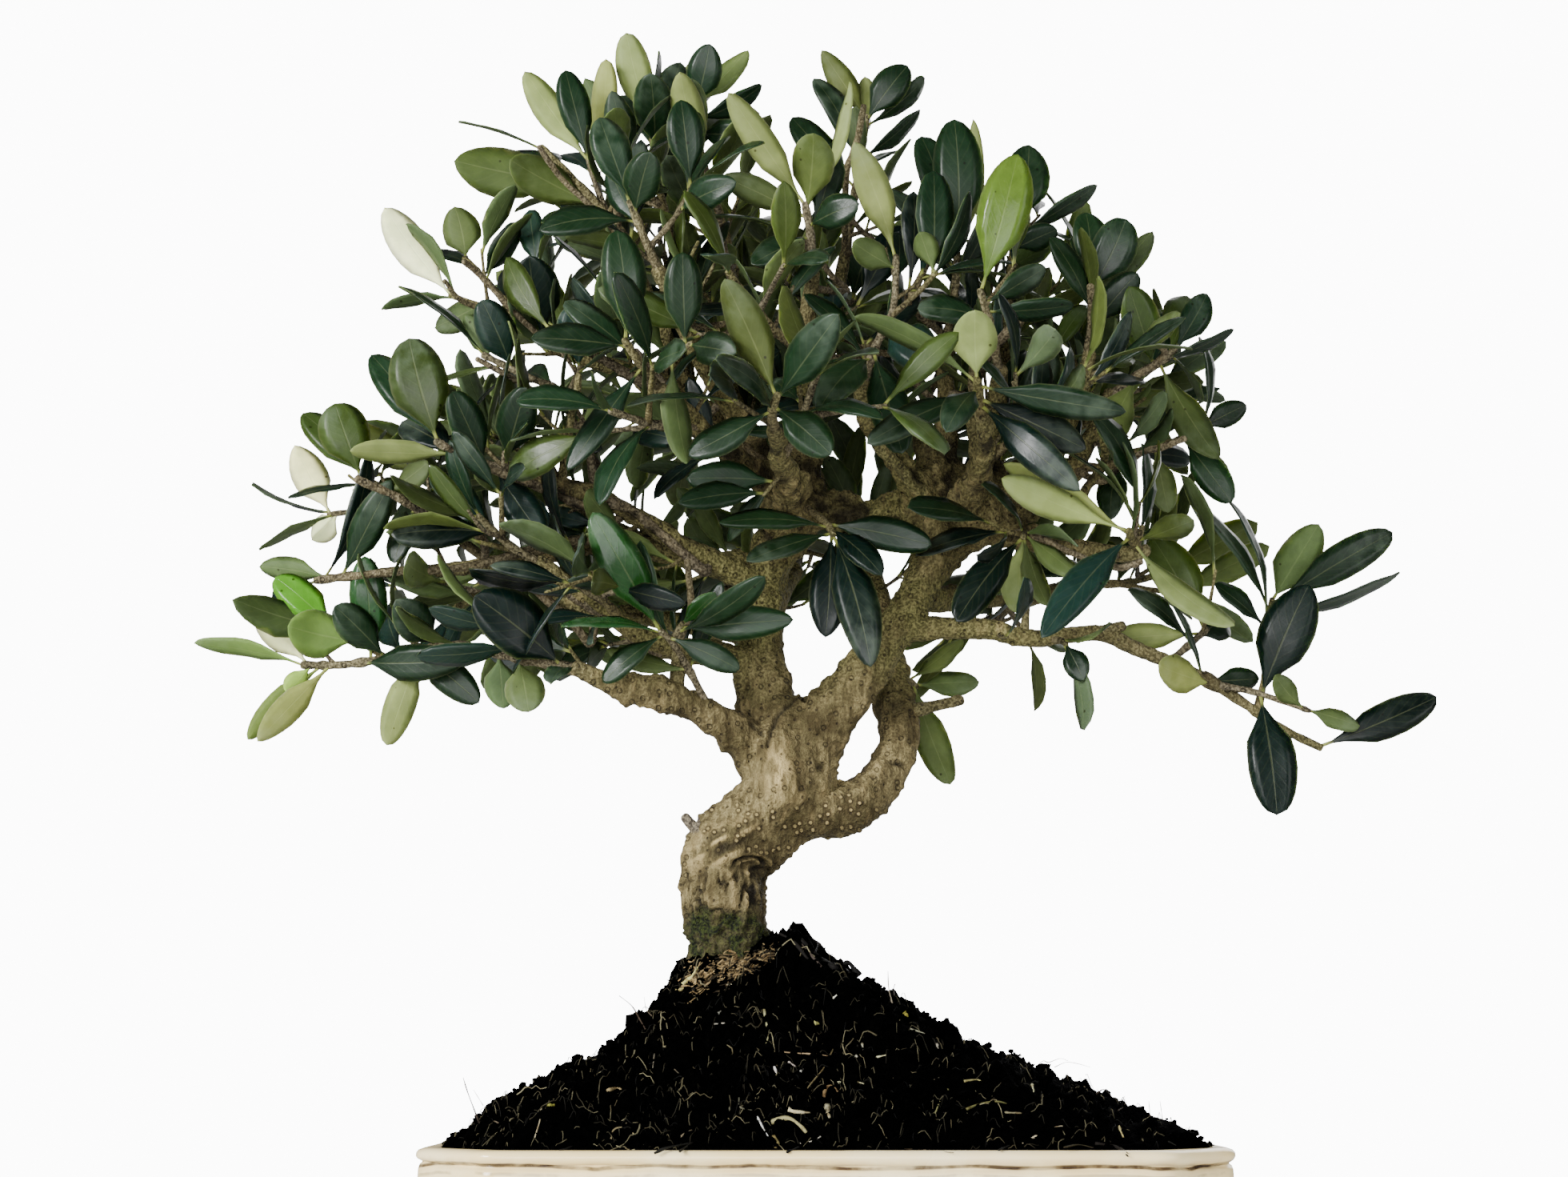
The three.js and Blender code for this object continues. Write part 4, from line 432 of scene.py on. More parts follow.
# Bare twigs that show among the leaves, as (young share, (x, y, z, radius), ...), the thick end
# first.
SPRAYS = (
    (0.1, (-69, -8, 395, 1.3), (-75, -13, 398, 1.1), (-79, -18, 401, 1.1), (-90, -24, 410, 1.0),
      (-94, -29, 414, 1.1), (-98, -34, 419, 1.0)), (0.15, (-92, -10, 354, 1.2), (-98, -16, 356, 1.1),
      (-108, -23, 364, 1.1), (-118, -30, 374, 1.1), (-123, -36, 377, 1.1)),
    (0.3, (-112, -16, 363, 1.0), (-119, -24, 364, 1.0), (-125, -32, 365, 0.9), (-129, -40, 369, 0.8)),
    (0.1, (-74, -16, 417, 1.1), (-77, -25, 419, 1.1), (-79, -34, 420, 1.1)), (0.0, (-32, -16, 381, 1.1),
      (-35, -21, 393, 1.0), (-36, -26, 399, 1.0), (-39, -31, 405, 0.9), (-40, -36, 411, 0.8)), (0.0,
      (-24, -6, 363, 1.8), (-30, -10, 376, 1.7), (-34, -13, 385, 1.7), (-39, -17, 394, 1.4),
      (-42, -20, 401, 1.3), (-41, -24, 407, 1.1)), (0.6, (-29, -6, 318, 1.8), (-31, -12, 329, 1.7),
      (-34, -17, 342, 1.7), (-37, -22, 349, 1.5), (-39, -28, 355, 1.4)), (0.3, (-26, -24, 359, 1.3),
      (-35, -28, 357, 1.2), (-43, -32, 355, 1.2), (-49, -36, 355, 1.2), (-52, -40, 357, 1.1)),
    (0.0, (9, -14, 373, 1.3), (4, -19, 377, 1.2), (-2, -25, 383, 1.1), (-7, -30, 387, 1.0)),
    (0.0, (14, -14, 350, 1.1), (9, -20, 354, 1.0), (5, -26, 357, 0.9), (1, -32, 358, 0.9)), (0.3,
      (9, -14, 415, 1.2), (11, -17, 422, 1.1), (13, -20, 427, 1.1), (14, -23, 432, 1.1),
      (15, -26, 437, 1.0)), (0.1, (18, -18, 390, 1.0), (14, -24, 392, 1.0), (10, -30, 395, 0.9)), (0.3,
      (16, -10, 352, 1.4), (21, -15, 357, 1.4), (25, -20, 361, 1.4), (29, -24, 365, 1.4),
      (33, -29, 371, 1.3), (37, -34, 378, 1.2)),
    (0.1, (29, -26, 366, 1.4), (26, -29, 373, 1.3), (25, -31, 378, 1.3), (23, -34, 382, 1.3)), (0.0,
      (53, -10, 336, 1.7), (55, -16, 342, 1.7), (59, -22, 349, 1.7), (64, -28, 354, 1.7),
      (71, -34, 360, 1.4)),
    (0.2, (93, -12, 348, 1.5), (94, -18, 356, 1.4), (94, -24, 363, 1.4), (93, -30, 370, 1.3)),
    (0.1, (119, -18, 348, 1.1), (116, -25, 351, 1.1), (113, -32, 352, 1.1)),
    (0.0, (46, -12, 328, 1.2), (40, -17, 332, 1.2), (34, -23, 336, 1.1), (28, -28, 339, 1.0)), (0.8,
      (39, -4, 290, 2.5), (36, -9, 300, 2.5), (31, -14, 305, 2.4), (26, -19, 310, 2.2),
      (20, -24, 314, 2.1)), (0.8, (57, -4, 291, 2.7), (56, -10, 300, 2.5), (54, -15, 311, 2.4),
      (53, -20, 318, 2.2), (51, -26, 326, 2.1)),
    (0.5, (54, -26, 328, 1.9), (52, -31, 335, 1.8), (52, -36, 343, 1.6)), (0.9, (89, -8, 297, 1.8),
      (93, -12, 304, 1.7), (96, -16, 307, 1.7), (98, -20, 313, 1.4), (97, -24, 320, 1.3)), (0.1,
      (97, -16, 304, 1.2), (103, -20, 308, 1.2), (111, -23, 313, 1.1), (117, -26, 314, 1.0),
      (124, -30, 316, 1.0)), (0.1, (66, -6, 289, 1.4), (76, -12, 285, 1.2), (83, -18, 280, 1.1),
      (91, -24, 275, 1.1), (96, -30, 272, 1.1)),
    (0.0, (97, -28, 273, 1.3), (100, -31, 271, 1.3), (103, -33, 271, 1.3), (107, -36, 272, 1.3)), (0.1,
      (-76, -6, 303, 1.4), (-77, -11, 309, 1.3), (-83, -15, 319, 1.2), (-88, -20, 328, 1.2),
      (-96, -25, 332, 1.1), (-107, -29, 338, 1.1), (-118, -34, 343, 1.0)),
    (0.7, (-86, -30, 324, 1.4), (-84, -34, 329, 1.4), (-83, -38, 336, 1.3)), (0.0, (-10, -4, 303, 3.2),
      (-24, -8, 314, 2.8), (-41, -11, 326, 2.2), (-49, -15, 332, 2.0), (-66, -19, 341, 1.8),
      (-81, -22, 349, 1.6), (-91, -26, 352, 1.4)),
    (0.0, (-43, -14, 327, 1.4), (-52, -22, 335, 1.3), (-64, -30, 347, 1.1)), (0.1, (-72, -14, 291, 1.6),
      (-90, -20, 298, 1.5), (-104, -25, 303, 1.4), (-120, -30, 308, 1.4), (-128, -36, 312, 1.2)),
    (0.0, (-41, -4, 275, 2.1), (-49, -9, 281, 1.9), (-66, -15, 294, 1.8), (-79, -20, 297, 1.5)), (0.2,
      (-78, -10, 285, 1.8), (-102, -14, 280, 1.7), (-112, -18, 276, 1.5), (-128, -22, 272, 1.4),
      (-149, -26, 270, 1.3), (-170, -30, 267, 1.1)),
    (0.0, (-80, -6, 249, 1.5), (-85, -11, 254, 1.4), (-96, -15, 264, 1.4), (-105, -20, 272, 1.3)),
    (0.0, (-57, -6, 246, 2.1), (-71, -10, 255, 1.9), (-85, -14, 264, 1.8), (-98, -18, 275, 1.7)),
    (0.2, (-49, -14, 248, 1.2), (-45, -20, 259, 1.1), (-46, -26, 274, 1.1)),
    (0.1, (-119, -14, 286, 1.4), (-137, -21, 292, 1.4), (-147, -27, 297, 1.3), (-158, -34, 301, 1.1)),
)


# ---- sizes that several sub-assemblies share -------------------------------------------------

TRUNK_FOOT = (-31.0, 1.0)
CROWN_CENTRE = np.array((-5.0, 0.0, 300.0))
CROWN_HALF = np.array((190, 110, 150))
POT_HALF = 128  # the pot's half width at its rim
POT_LESS_DEEP = 33.0  # how much less its half depth is
POT_CORNER = 24.0  # what is cut off each corner, along either side
MOUND = ((0, 68), (0.15, 68), (0.24, 58), (0.38, 43), (0.55, 28), (0.75, 17), (0.9, 9), (1, 0))
SOIL_EDGE = 79.0
EYE = np.array((-13.0, -900.0, 109.0))  # where the tree is seen from
# The crown's outline as it shows from the front, as (x, z) on the middle plane.
CROWN_OUTLINE = np.array(
    (
        (-160, 262), (-166, 300), (-150, 340), (-130, 352), (-122, 372), (-118, 398), (-112, 424),
        (-92, 440), (-72, 452), (-45, 462), (-16, 458), (14, 456), (40, 448), (58, 436), (78, 418),
        (98, 398), (116, 384), (132, 366), (140, 344), (138, 318), (126, 300), (110, 284), (84, 268),
        (40, 272), (12, 268), (-14, 262), (-46, 244), (-84, 238), (-120, 232), (-150, 232),
    ),
    dtype=float,
)


# ---- numbers and noise -----------------------------------------------------------------------


class Draws:
    """Numbers from 0 to 1 by the mulberry32 rule, alike on every run."""

    def __init__(self, seed: int) -> None:
        """Starts the draws from a seed."""
        self.state = seed & 0xFFFFFFFF

    def __call__(self) -> float:
        """The next number.

        Returns:
            A number from 0 up to 1, without 1 itself.
        """
        mask = 0xFFFFFFFF
        self.state = (self.state + 0x6D2B79F5) & mask
        t = ((self.state ^ (self.state >> 15)) * (self.state | 1)) & mask
        t ^= (t + ((t ^ (t >> 7)) * (t | 61) & mask)) & mask
        return (t ^ (t >> 14)) / 4294967296

    def between(self, low: float, high: float) -> float:
        """The next number, from low to high."""
        return low + (high - low) * self()


def value_noise(points: np.ndarray, cell: float, seed: int) -> np.ndarray:
    """Smooth noise: random values on a cubic lattice, blended by cubic steps.

    Args:
        points: places as rows of x, y, z.
        cell: the lattice's step.
        seed: picks the values.

    Returns:
        A value from -1 to 1 for each place.
    """
    scaled = points / cell + 1000.0
    base = np.floor(scaled).astype(np.int64)
    part = scaled - base
    part = part * part * (3 - 2 * part)
    total = np.zeros(len(points))
    for corner in itertools.product((0, 1), repeat=3):
        spot = base + np.array(corner)
        mixed = spot[:, 0] * 374761393 + spot[:, 1] * 668265263 + spot[:, 2] * 1103515245
        mixed = (mixed + seed * 1274126177) & 0x7FFFFFFF
        mixed = ((mixed ^ (mixed >> 13)) * 1274126177) & 0x7FFFFFFF
        mixed = ((mixed ^ (mixed >> 15)) * 668265263) & 0x7FFFFFFF
        value = ((mixed >> 8) & 0xFFFF) / 32767.5 - 1
        total += value * np.prod(np.where(np.array(corner) == 1, part, 1 - part), axis=1)
    return total


def fractal(points: np.ndarray, cell: float, seed: int, layers: int = 3) -> np.ndarray:
    """Noise in layers, each at half the step and half the height of the one before."""
    parts = [value_noise(points, cell / 2**k, seed + k) / 2**k for k in range(layers)]
    return np.sum(parts, axis=0)


def upright(points: np.ndarray, by: float) -> np.ndarray:
    """Places with their heights scaled, so that noise on them is stretched upright."""
    return points * np.array((1, 1, by))


def bell(distance: np.ndarray, width: float) -> np.ndarray:
    """A smooth hump: 1 at distance 0, falling as e to the minus (distance over width) squared."""
    return np.exp(-((distance / width) ** 2))


def step(low: float, high: float, value: np.ndarray) -> np.ndarray:
    """0 below low, 1 above high, a cubic between."""
    t = np.clip((value - low) / (high - low), 0, 1)
    return t * t * (3 - 2 * t)


def unit(vector: np.ndarray) -> np.ndarray:
    """The vectors of the last axis at length 1."""
    return vector / np.maximum(np.linalg.norm(vector, axis=-1, keepdims=True), 1e-12)


# ---- paths and skins -------------------------------------------------------------------------


class SmoothPath:
    """A uniform Catmull-Rom curve: it passes each point, aimed along its neighbours' chord."""

    def __init__(self, points: Sequence[Row]) -> None:
        """Takes the points and measures the curve.

        Args:
            points: rows of which only x, y and z are read.
        """
        rows = np.array([row[:3] for row in points], dtype=float)
        self.count = len(rows)
        self.rows = np.vstack((2 * rows[0] - rows[1], rows, 2 * rows[-1] - rows[-2]))
        chords = np.diff(self.at(np.linspace(0, 1, 201)), axis=0)
        self.length = float(np.linalg.norm(chords, axis=1).sum())

    def at(self, share: np.ndarray) -> np.ndarray:
        """The points at shares of the curve's spans: a cubic of the span's two ends, left along
        one chord and reached along the next.

        Args:
            share: 0 at the first point, 1 at the last.

        Returns:
            Rows of x, y and z.
        """
        place = np.clip(np.atleast_1d(share), 0, 1) * (self.count - 1)
        span = np.minimum(np.floor(place).astype(int), self.count - 2)
        t = (place - span)[:, None]
        before, here, there, beyond = (self.rows[span + k] for k in range(4))
        leave = 0.5 * (there - before)
        arrive = 0.5 * (beyond - here)
        bend = -3 * here + 3 * there - 2 * leave - arrive
        twist = 2 * here - 2 * there + leave + arrive
        return here + leave * t + bend * t**2 + twist * t**3

    def point(self, share: float) -> np.ndarray:
        """The point at one share."""
        return self.at(np.array([share]))[0]

    def ways(self, share: np.ndarray) -> np.ndarray:
        """The directions at shares of the spans.

        Args:
            share: 0 at the first point, 1 at the last.

        Returns:
            Rows of length 1.
        """
        share = np.atleast_1d(share)
        ahead = self.at(np.minimum(share + 1e-4, 1))
        return unit(ahead - self.at(np.maximum(share - 1e-4, 0)))

    def frames(self, share: np.ndarray) -> tuple[np.ndarray, np.ndarray, np.ndarray]:
        """Centres and two cross directions, measured from the axis the path runs along least.

        Args:
            share: 0 at the first point, 1 at the last.

        Returns:
            The centres, the directions across, and those at right angles to both.
        """
        run = np.abs(self.rows[-2] - self.rows[1])
        axis = np.eye(3)[int(np.argmin(run))]
        along = self.ways(share)
        across = unit(axis - along * (along @ axis)[:, None])
        return self.at(share), across, np.cross(along, across)


def circles(across: np.ndarray, other: np.ndarray, sides: int) -> np.ndarray:
    """Unit circles: an angle's cosine times one direction plus its sine times the other."""
    a = np.arange(sides) / sides * 2 * np.pi
    return np.cos(a)[None, :, None] * across[:, None, :] + np.sin(a)[None, :, None] * other[:, None, :]


def radius_at(points: Sequence[Row], share: np.ndarray) -> np.ndarray:
    """A limb's radius at shares of its spans, straight from point to point."""
    return np.interp(share * (len(points) - 1), range(len(points)), [p[3] for p in points])


@dataclass
class Skin:
    """Points in millimetres with faces over them, and values held by each face's corners."""

    points: np.ndarray
    corners: np.ndarray
    sizes: np.ndarray
    values: dict[str, np.ndarray] = field(default_factory=dict)

    @staticmethod
    def join(skins: Sequence["Skin"]) -> "Skin":
        """Several skins as one.

        Args:
            skins: the skins, all with the same names of values.

        Returns:
            One skin, its faces' corners counted on from skin to skin.
        """
        starts = np.cumsum([0] + [len(skin.points) for skin in skins[:-1]])
        names = skins[0].values.keys()
        return Skin(
            np.vstack([skin.points for skin in skins]),
            np.concatenate([skin.corners + start for skin, start in zip(skins, starts)]),
            np.concatenate([skin.sizes for skin in skins]),
            {name: np.concatenate([skin.values[name] for skin in skins]) for name in names},
        )


def tube_faces(count: int, sides: int) -> tuple[np.ndarray, np.ndarray]:
    """The faces of a closed tube: quads between its rings, then a flat face at each end.

    Args:
        count: the rings.
        sides: the points around each.

    Returns:
        The faces' corners in one row, and each face's number of corners.
    """
    here = np.arange(sides)
    there = (here + 1) % sides
    start = (np.arange(count - 1) * sides)[:, None]
    quads = np.stack((start + here, start + there, start + there + sides, start + here + sides), -1)
    corners = np.concatenate((quads.ravel(), here[::-1], here + (count - 1) * sides))
    return corners, np.concatenate((np.full((count - 1) * sides, 4), [sides, sides]))


def tube(rings: np.ndarray, point_values: dict[str, np.ndarray] | None = None) -> Skin:
    """A closed tube over rings of points.

    Args:
        rings: an array of rings by sides by x, y, z.
        point_values: values for each point, shaped rings by sides by width.

    Returns:
        Quads between the rings and one flat face at each end.
    """
    points = rings.reshape(-1, 3)
    corners, sizes = tube_faces(*rings.shape[:2])
    flat = {name: v.reshape(len(points), -1)[corners] for name, v in (point_values or {}).items()}
    return Skin(points, corners, sizes, flat)


def put(name: str, skin: Skin, material: bpy.types.Material, smooth: bool = True) -> bpy.types.Object:
    """Makes a skin a Blender object at the origin.

    Args:
        name: the piece's name.
        skin: the points, in millimetres, the faces and the corner values. Values two wide
            become a UV map; the others a colour attribute.
        material: what it is finished in.
        smooth: whether its faces are shaded as one surface.

    Returns:
        The new object.
    """
    mesh = bpy.data.meshes.new(name)
    mesh.vertices.add(len(skin.points))
    mesh.vertices.foreach_set("co", (skin.points * MM).astype(np.float32).ravel())
    mesh.loops.add(len(skin.corners))
    mesh.loops.foreach_set("vertex_index", skin.corners.astype(np.int32))
    mesh.polygons.add(len(skin.sizes))
    starts = np.concatenate(([0], np.cumsum(skin.sizes)[:-1])).astype(np.int32)
    mesh.polygons.foreach_set("loop_start", starts)
    for key, values in skin.values.items():
        flat = values.astype(np.float32).ravel()
        if values.shape[1] == 2:
            mesh.uv_layers.new(name=key).data.foreach_set("uv", flat)
        else:
            mesh.color_attributes.new(key, "FLOAT_COLOR", "CORNER").data.foreach_set("color", flat)
    mesh.polygons.foreach_set("use_smooth", np.full(len(skin.sizes), smooth))
    mesh.materials.append(material)
    mesh.validate()
    mesh.update()
    piece = bpy.data.objects.new(name, mesh)
    bpy.context.scene.collection.objects.link(piece)
    return piece


def belongs(piece: bpy.types.Object, slot: str, *nodes: str) -> None:
    """Fixes a piece to the body and reports it.

    Args:
        piece: the object.
        slot: not used.
        nodes: the solids that it stands for.
    """
    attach(piece, "root")
    if nodes:
        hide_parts(*nodes)
    LOG.info("%s: %d faces", piece.name, len(piece.data.polygons))


# ---- finishes --------------------------------------------------------------------------------


class Wiring:
    """Builds the nodes of a tree, with few words for each."""

    def __init__(self, tree: bpy.types.NodeTree) -> None:
        """Takes the tree that the nodes go into."""
        self.tree = tree

    def feed(self, node: bpy.types.Node, sockets: dict) -> bpy.types.Node:
        """Gives a node's inputs their links and values.

        Args:
            node: the node.
            sockets: for an input's name or number, another node's output or a value.

        Returns:
            The node.
        """
        for key, value in sockets.items():
            if isinstance(value, Socket):
                self.tree.links.new(value, node.inputs[key])
            else:
                node.inputs[key].default_value = value
        return node

    def add(self, kind: str, sockets: dict | None = None, **settings: object) -> bpy.types.Node:
        """Adds a node.

        Args:
            kind: the node's type, less the words ShaderNode.
            sockets: what each input gets: a link from another node's output, or a value.
            settings: the node's own settings.

        Returns:
            The node.
        """
        made = self.tree.nodes.new(f"ShaderNode{kind}")
        for name, value in settings.items():
            setattr(made, name, value)
        return self.feed(made, sockets or {})

    def use(self, group: bpy.types.NodeTree, *values: object) -> Sequence[Socket]:
        """Places a node group.

        Args:
            group: the group.
            values: the links and values of its inputs, in their order.

        Returns:
            Its outputs.
        """
        made = self.tree.nodes.new("ShaderNodeGroup")
        made.node_tree = group
        return self.feed(made, dict(enumerate(values))).outputs

    def math(self, operation: str, first: object, second: object = 0.0) -> Socket:
        """One step of arithmetic on one or two values."""
        return self.add("Math", {0: first, 1: second}, operation=operation).outputs[0]

    def times(self, first: object, second: object) -> Socket:
        """Two values multiplied."""
        return self.math("MULTIPLY", first, second)

    def ramp(self, value: object, low: object, high: object, to: Row = (0.0, 1.0)) -> Socket:
        """Maps low..high to the range in to, smoothly and held at its ends."""
        sockets = {"Value": value, "From Min": low, "From Max": high, "To Min": to[0], "To Max": to[1]}
        return self.add("MapRange", sockets, interpolation_type="SMOOTHSTEP").outputs[0]

    def blend(self, kind: str, share: object, first: object, second: object) -> Socket:
        """Two colours put together in one of the node's ways."""
        sockets = {0: share, 6: first, 7: second}
        return self.add("Mix", sockets, data_type="RGBA", blend_type=kind).outputs[2]

    def mix(self, share: object, first: object, second: object) -> Socket:
        """Two colours mixed."""
        return self.blend("MIX", share, first, second)

    def lay(self, under: object, *coats: tuple) -> Socket:
        """Colours laid one over another.

        Args:
            under: the lowest colour.
            coats: the others as (mask, share of the mask, colour).

        Returns:
            The colour in all.
        """
        for mask, share, over in coats:
            under = self.mix(self.times(mask, share), under, over)
        return under

    def layer(self, name: str) -> tuple[Socket, ...]:
        """A colour attribute's red, green, blue and alpha."""
        stored = self.add("VertexColor", layer_name=name)
        return (*self.add("SeparateColor", {0: stored.outputs[0]}).outputs[:3], stored.outputs[1])


class Group(Wiring):
    """A shader node group being made, with named inputs and outputs."""

    def __init__(self, name: str, inputs: dict[str, float | None], outputs: Sequence[str]) -> None:
        """Makes the group's sockets.

        Args:
            name: the group's name.
            inputs: each input's name and first value, or None for a vector to be linked.
            outputs: the names of its outputs, all of them single values.
        """
        super().__init__(bpy.data.node_groups.new(name, "ShaderNodeTree"))
        for key, first in inputs.items():
            kind = "NodeSocketVector" if first is None else "NodeSocketFloat"
            socket = self.tree.interface.new_socket(key, in_out="INPUT", socket_type=kind)
            if first is not None:
                socket.default_value = first
        for key in outputs:
            self.tree.interface.new_socket(key, in_out="OUTPUT", socket_type="NodeSocketFloat")
        self.given = self.tree.nodes.new("NodeGroupInput").outputs

    def close(self, *results: Socket) -> bpy.types.NodeTree:
        """Links the outputs in their order, and gives the group."""
        self.feed(self.tree.nodes.new("NodeGroupOutput"), dict(enumerate(results)))
        return self.tree


class Effects:
    """The node groups that several finishes share."""

    def __init__(self) -> None:
        """Builds each group once."""
        self.mottle = self.build_mottle()
        self.specks = self.build_specks("Specks", "3D")
        self.dots = self.build_specks("Dots", "2D")
        self.veins = self.build_veins()

    def build_mottle(self) -> bpy.types.NodeTree:
        """Cloudy patches: layered noise at Scale, cut to 0..1 between Low and High.

        Returns:
            The group: it gives the mask and the noise itself.
        """
        inputs = {"Coordinate": None, "Scale": 100.0, "Detail": 4.0, "Low": 0.4, "High": 0.6}
        made = Group("Mottle", inputs, ("Mask", "Height"))
        place, scale, detail, low, high = made.given[:5]
        noise = made.add("TexNoise", {"Vector": place, "Scale": scale, "Detail": detail}).outputs[0]
        return made.close(made.ramp(noise, low, high), noise)

    def build_specks(self, name: str, space: str) -> bpy.types.NodeTree:
        """Round specks: one in each cell at Scale, of Size as a share of the cell.

        Args:
            name: the group's name.
            space: 3D for cells in space, 2D for cells over the coordinate's x and y.

        Returns:
            The group.
        """
        inputs = {"Coordinate": None, "Scale": 300.0, "Size": 0.2, "Chance": 0.5}
        made = Group(name, inputs, ("Mask",))
        place, scale, size, chance = made.given[:4]
        cells = made.add("TexVoronoi", {"Vector": place, "Scale": scale}, voronoi_dimensions=space)
        luck = made.add("SeparateColor", {0: cells.outputs[1]}).outputs[0]
        disc = made.ramp(cells.outputs[0], size, made.times(size, 0.6))
        return made.close(made.times(disc, made.math("LESS_THAN", luck, chance)))

    def build_veins(self) -> bpy.types.NodeTree:
        """A leaf's veins: the midrib where Across is near 0.5, thinner towards the tip, and faint
        side veins as stripes of Along plus the distance from the midrib.

        Returns:
            The group: it gives a mask of the midrib and one of the side veins.
        """
        made = Group("Veins", {"Across": 0.5, "Along": 0.5}, ("Midrib", "Sides"))
        across, along = made.given[:2]
        off = made.math("ABSOLUTE", made.math("SUBTRACT", across, 0.5))
        reach = made.ramp(along, 0.0, 1.0, (0.038, 0.014))
        slant = made.math("SUBTRACT", along, made.times(off, 0.55))
        wave = made.math("SINE", made.times(slant, 62.0))
        return made.close(made.ramp(made.math("DIVIDE", off, reach), 1.0, 0.45), made.ramp(wave, 0.7, 1.0))


class Surface(Wiring):
    """A material being made, with Object coordinates ready."""

    def __init__(self, name: str) -> None:
        """Starts the material with no nodes but the coordinates.

        Args:
            name: the material's name.
        """
        self.material = bpy.data.materials.new(name)
        self.material.use_nodes = True
        self.material.node_tree.nodes.clear()
        super().__init__(self.material.node_tree)
        self.place = self.add("TexCoord").outputs["Object"]

    def bump(self, height: Socket, strength: float, distance: float) -> Socket:
        """The normal over a relief, its distance in metres."""
        sockets = {"Height": height, "Strength": strength, "Distance": distance}
        return self.add("Bump", sockets).outputs[0]

    def join(self, sockets: dict) -> bpy.types.Material:
        """Adds the shader.

        Args:
            sockets: what its inputs get: links, and values that are the same all over.

        Returns:
            The finished material.
        """
        shader = self.add("BsdfPrincipled", sockets)
        self.add("OutputMaterial", {"Surface": shader.outputs[0]})
        return self.material


@dataclass(frozen=True)
class LeafFinish:
    """A leathery leaf: coloured face by face, with a pale midrib and a soft waxy gloss."""

    effects: Effects
    upper_roughness: float = 0.36
    lower_roughness: float = 0.62

    def build(self) -> bpy.types.Material:
        """Base colour: the corner colour, clouded darker and lighter, paler grey towards the tip
        of some leaves, partly dust and partly a painted sheen, paler on the midrib and the margin,
        faintly spotted, and yellower on the stalk.

        Returns:
            The material.
        """
        leaf = Surface("olive_leaf")
        mottle = self.effects.mottle
        tone = leaf.add("VertexColor", layer_name="tone").outputs[0]
        under, fresh, chance, _ = leaf.layer("face")
        blade = leaf.add("SeparateXYZ", {0: leaf.add("UVMap", uv_map="blade").outputs[0]})
        across, along = blade.outputs[:2]
        rib, sides = leaf.use(self.effects.veins, across, along)
        clouds = leaf.use(mottle, leaf.place, 170.0, 3.0, 0.3, 0.7)
        darker = leaf.blend("MULTIPLY", 0.32, tone, linear(150, 160, 150))
        clouded = leaf.mix(clouds[0], darker, tone)
        paler = leaf.blend("SCREEN", 0.42, clouded, linear(150, 156, 108))
        # paler grey towards the tip of some leaves: partly dust, partly a painted sheen
        dust_and_sheen = leaf.times(leaf.times(leaf.ramp(along, 0.4, 0.95), leaf.ramp(chance, 0.4, 0.9)), 0.3)
        margin = leaf.ramp(leaf.math("ABSOLUTE", leaf.math("SUBTRACT", across, 0.5)), 0.44, 0.5)
        colour = leaf.lay(
            clouded,
            (dust_and_sheen, clouds[0], linear(104, 118, 100)),
            (leaf.math("MAXIMUM", rib, margin), 0.24, paler),
            (sides, 0.035, paler),
        )
        blotches = leaf.use(self.effects.specks, leaf.place, 260.0, 0.16, 0.16)[0]
        colour = leaf.blend("MULTIPLY", blotches, colour, linear(150, 140, 110))
        colour = leaf.lay(colour, (leaf.ramp(along, 0.13, 0.05), 0.8, linear(146, 152, 78)))
        gloss = (self.upper_roughness - 0.06, self.upper_roughness + 0.1)
        waxy = leaf.math("SUBTRACT", leaf.ramp(clouds[1], 0.3, 0.75, gloss), leaf.times(fresh, 0.16))
        rough = leaf.add("Mix", {0: under, 2: waxy, 3: self.lower_roughness}, data_type="FLOAT")
        fine = leaf.use(mottle, leaf.place, 900.0, 2.0)[1]
        height = leaf.math("ADD", leaf.times(fine, 0.35), leaf.times(rib, -0.5))
        height = leaf.math("ADD", height, leaf.times(sides, 0.08))
        return leaf.join(
            {
                "Base Color": colour,
                "Roughness": rough.outputs[0],
                "Normal": leaf.bump(height, 0.35, 0.0003),
                "Specular IOR Level": 0.22,
                "Subsurface Weight": 0.22,
                "Subsurface Radius": (0.8, 1.0, 0.35),
                "Subsurface Scale": 0.0008,
            }
        )


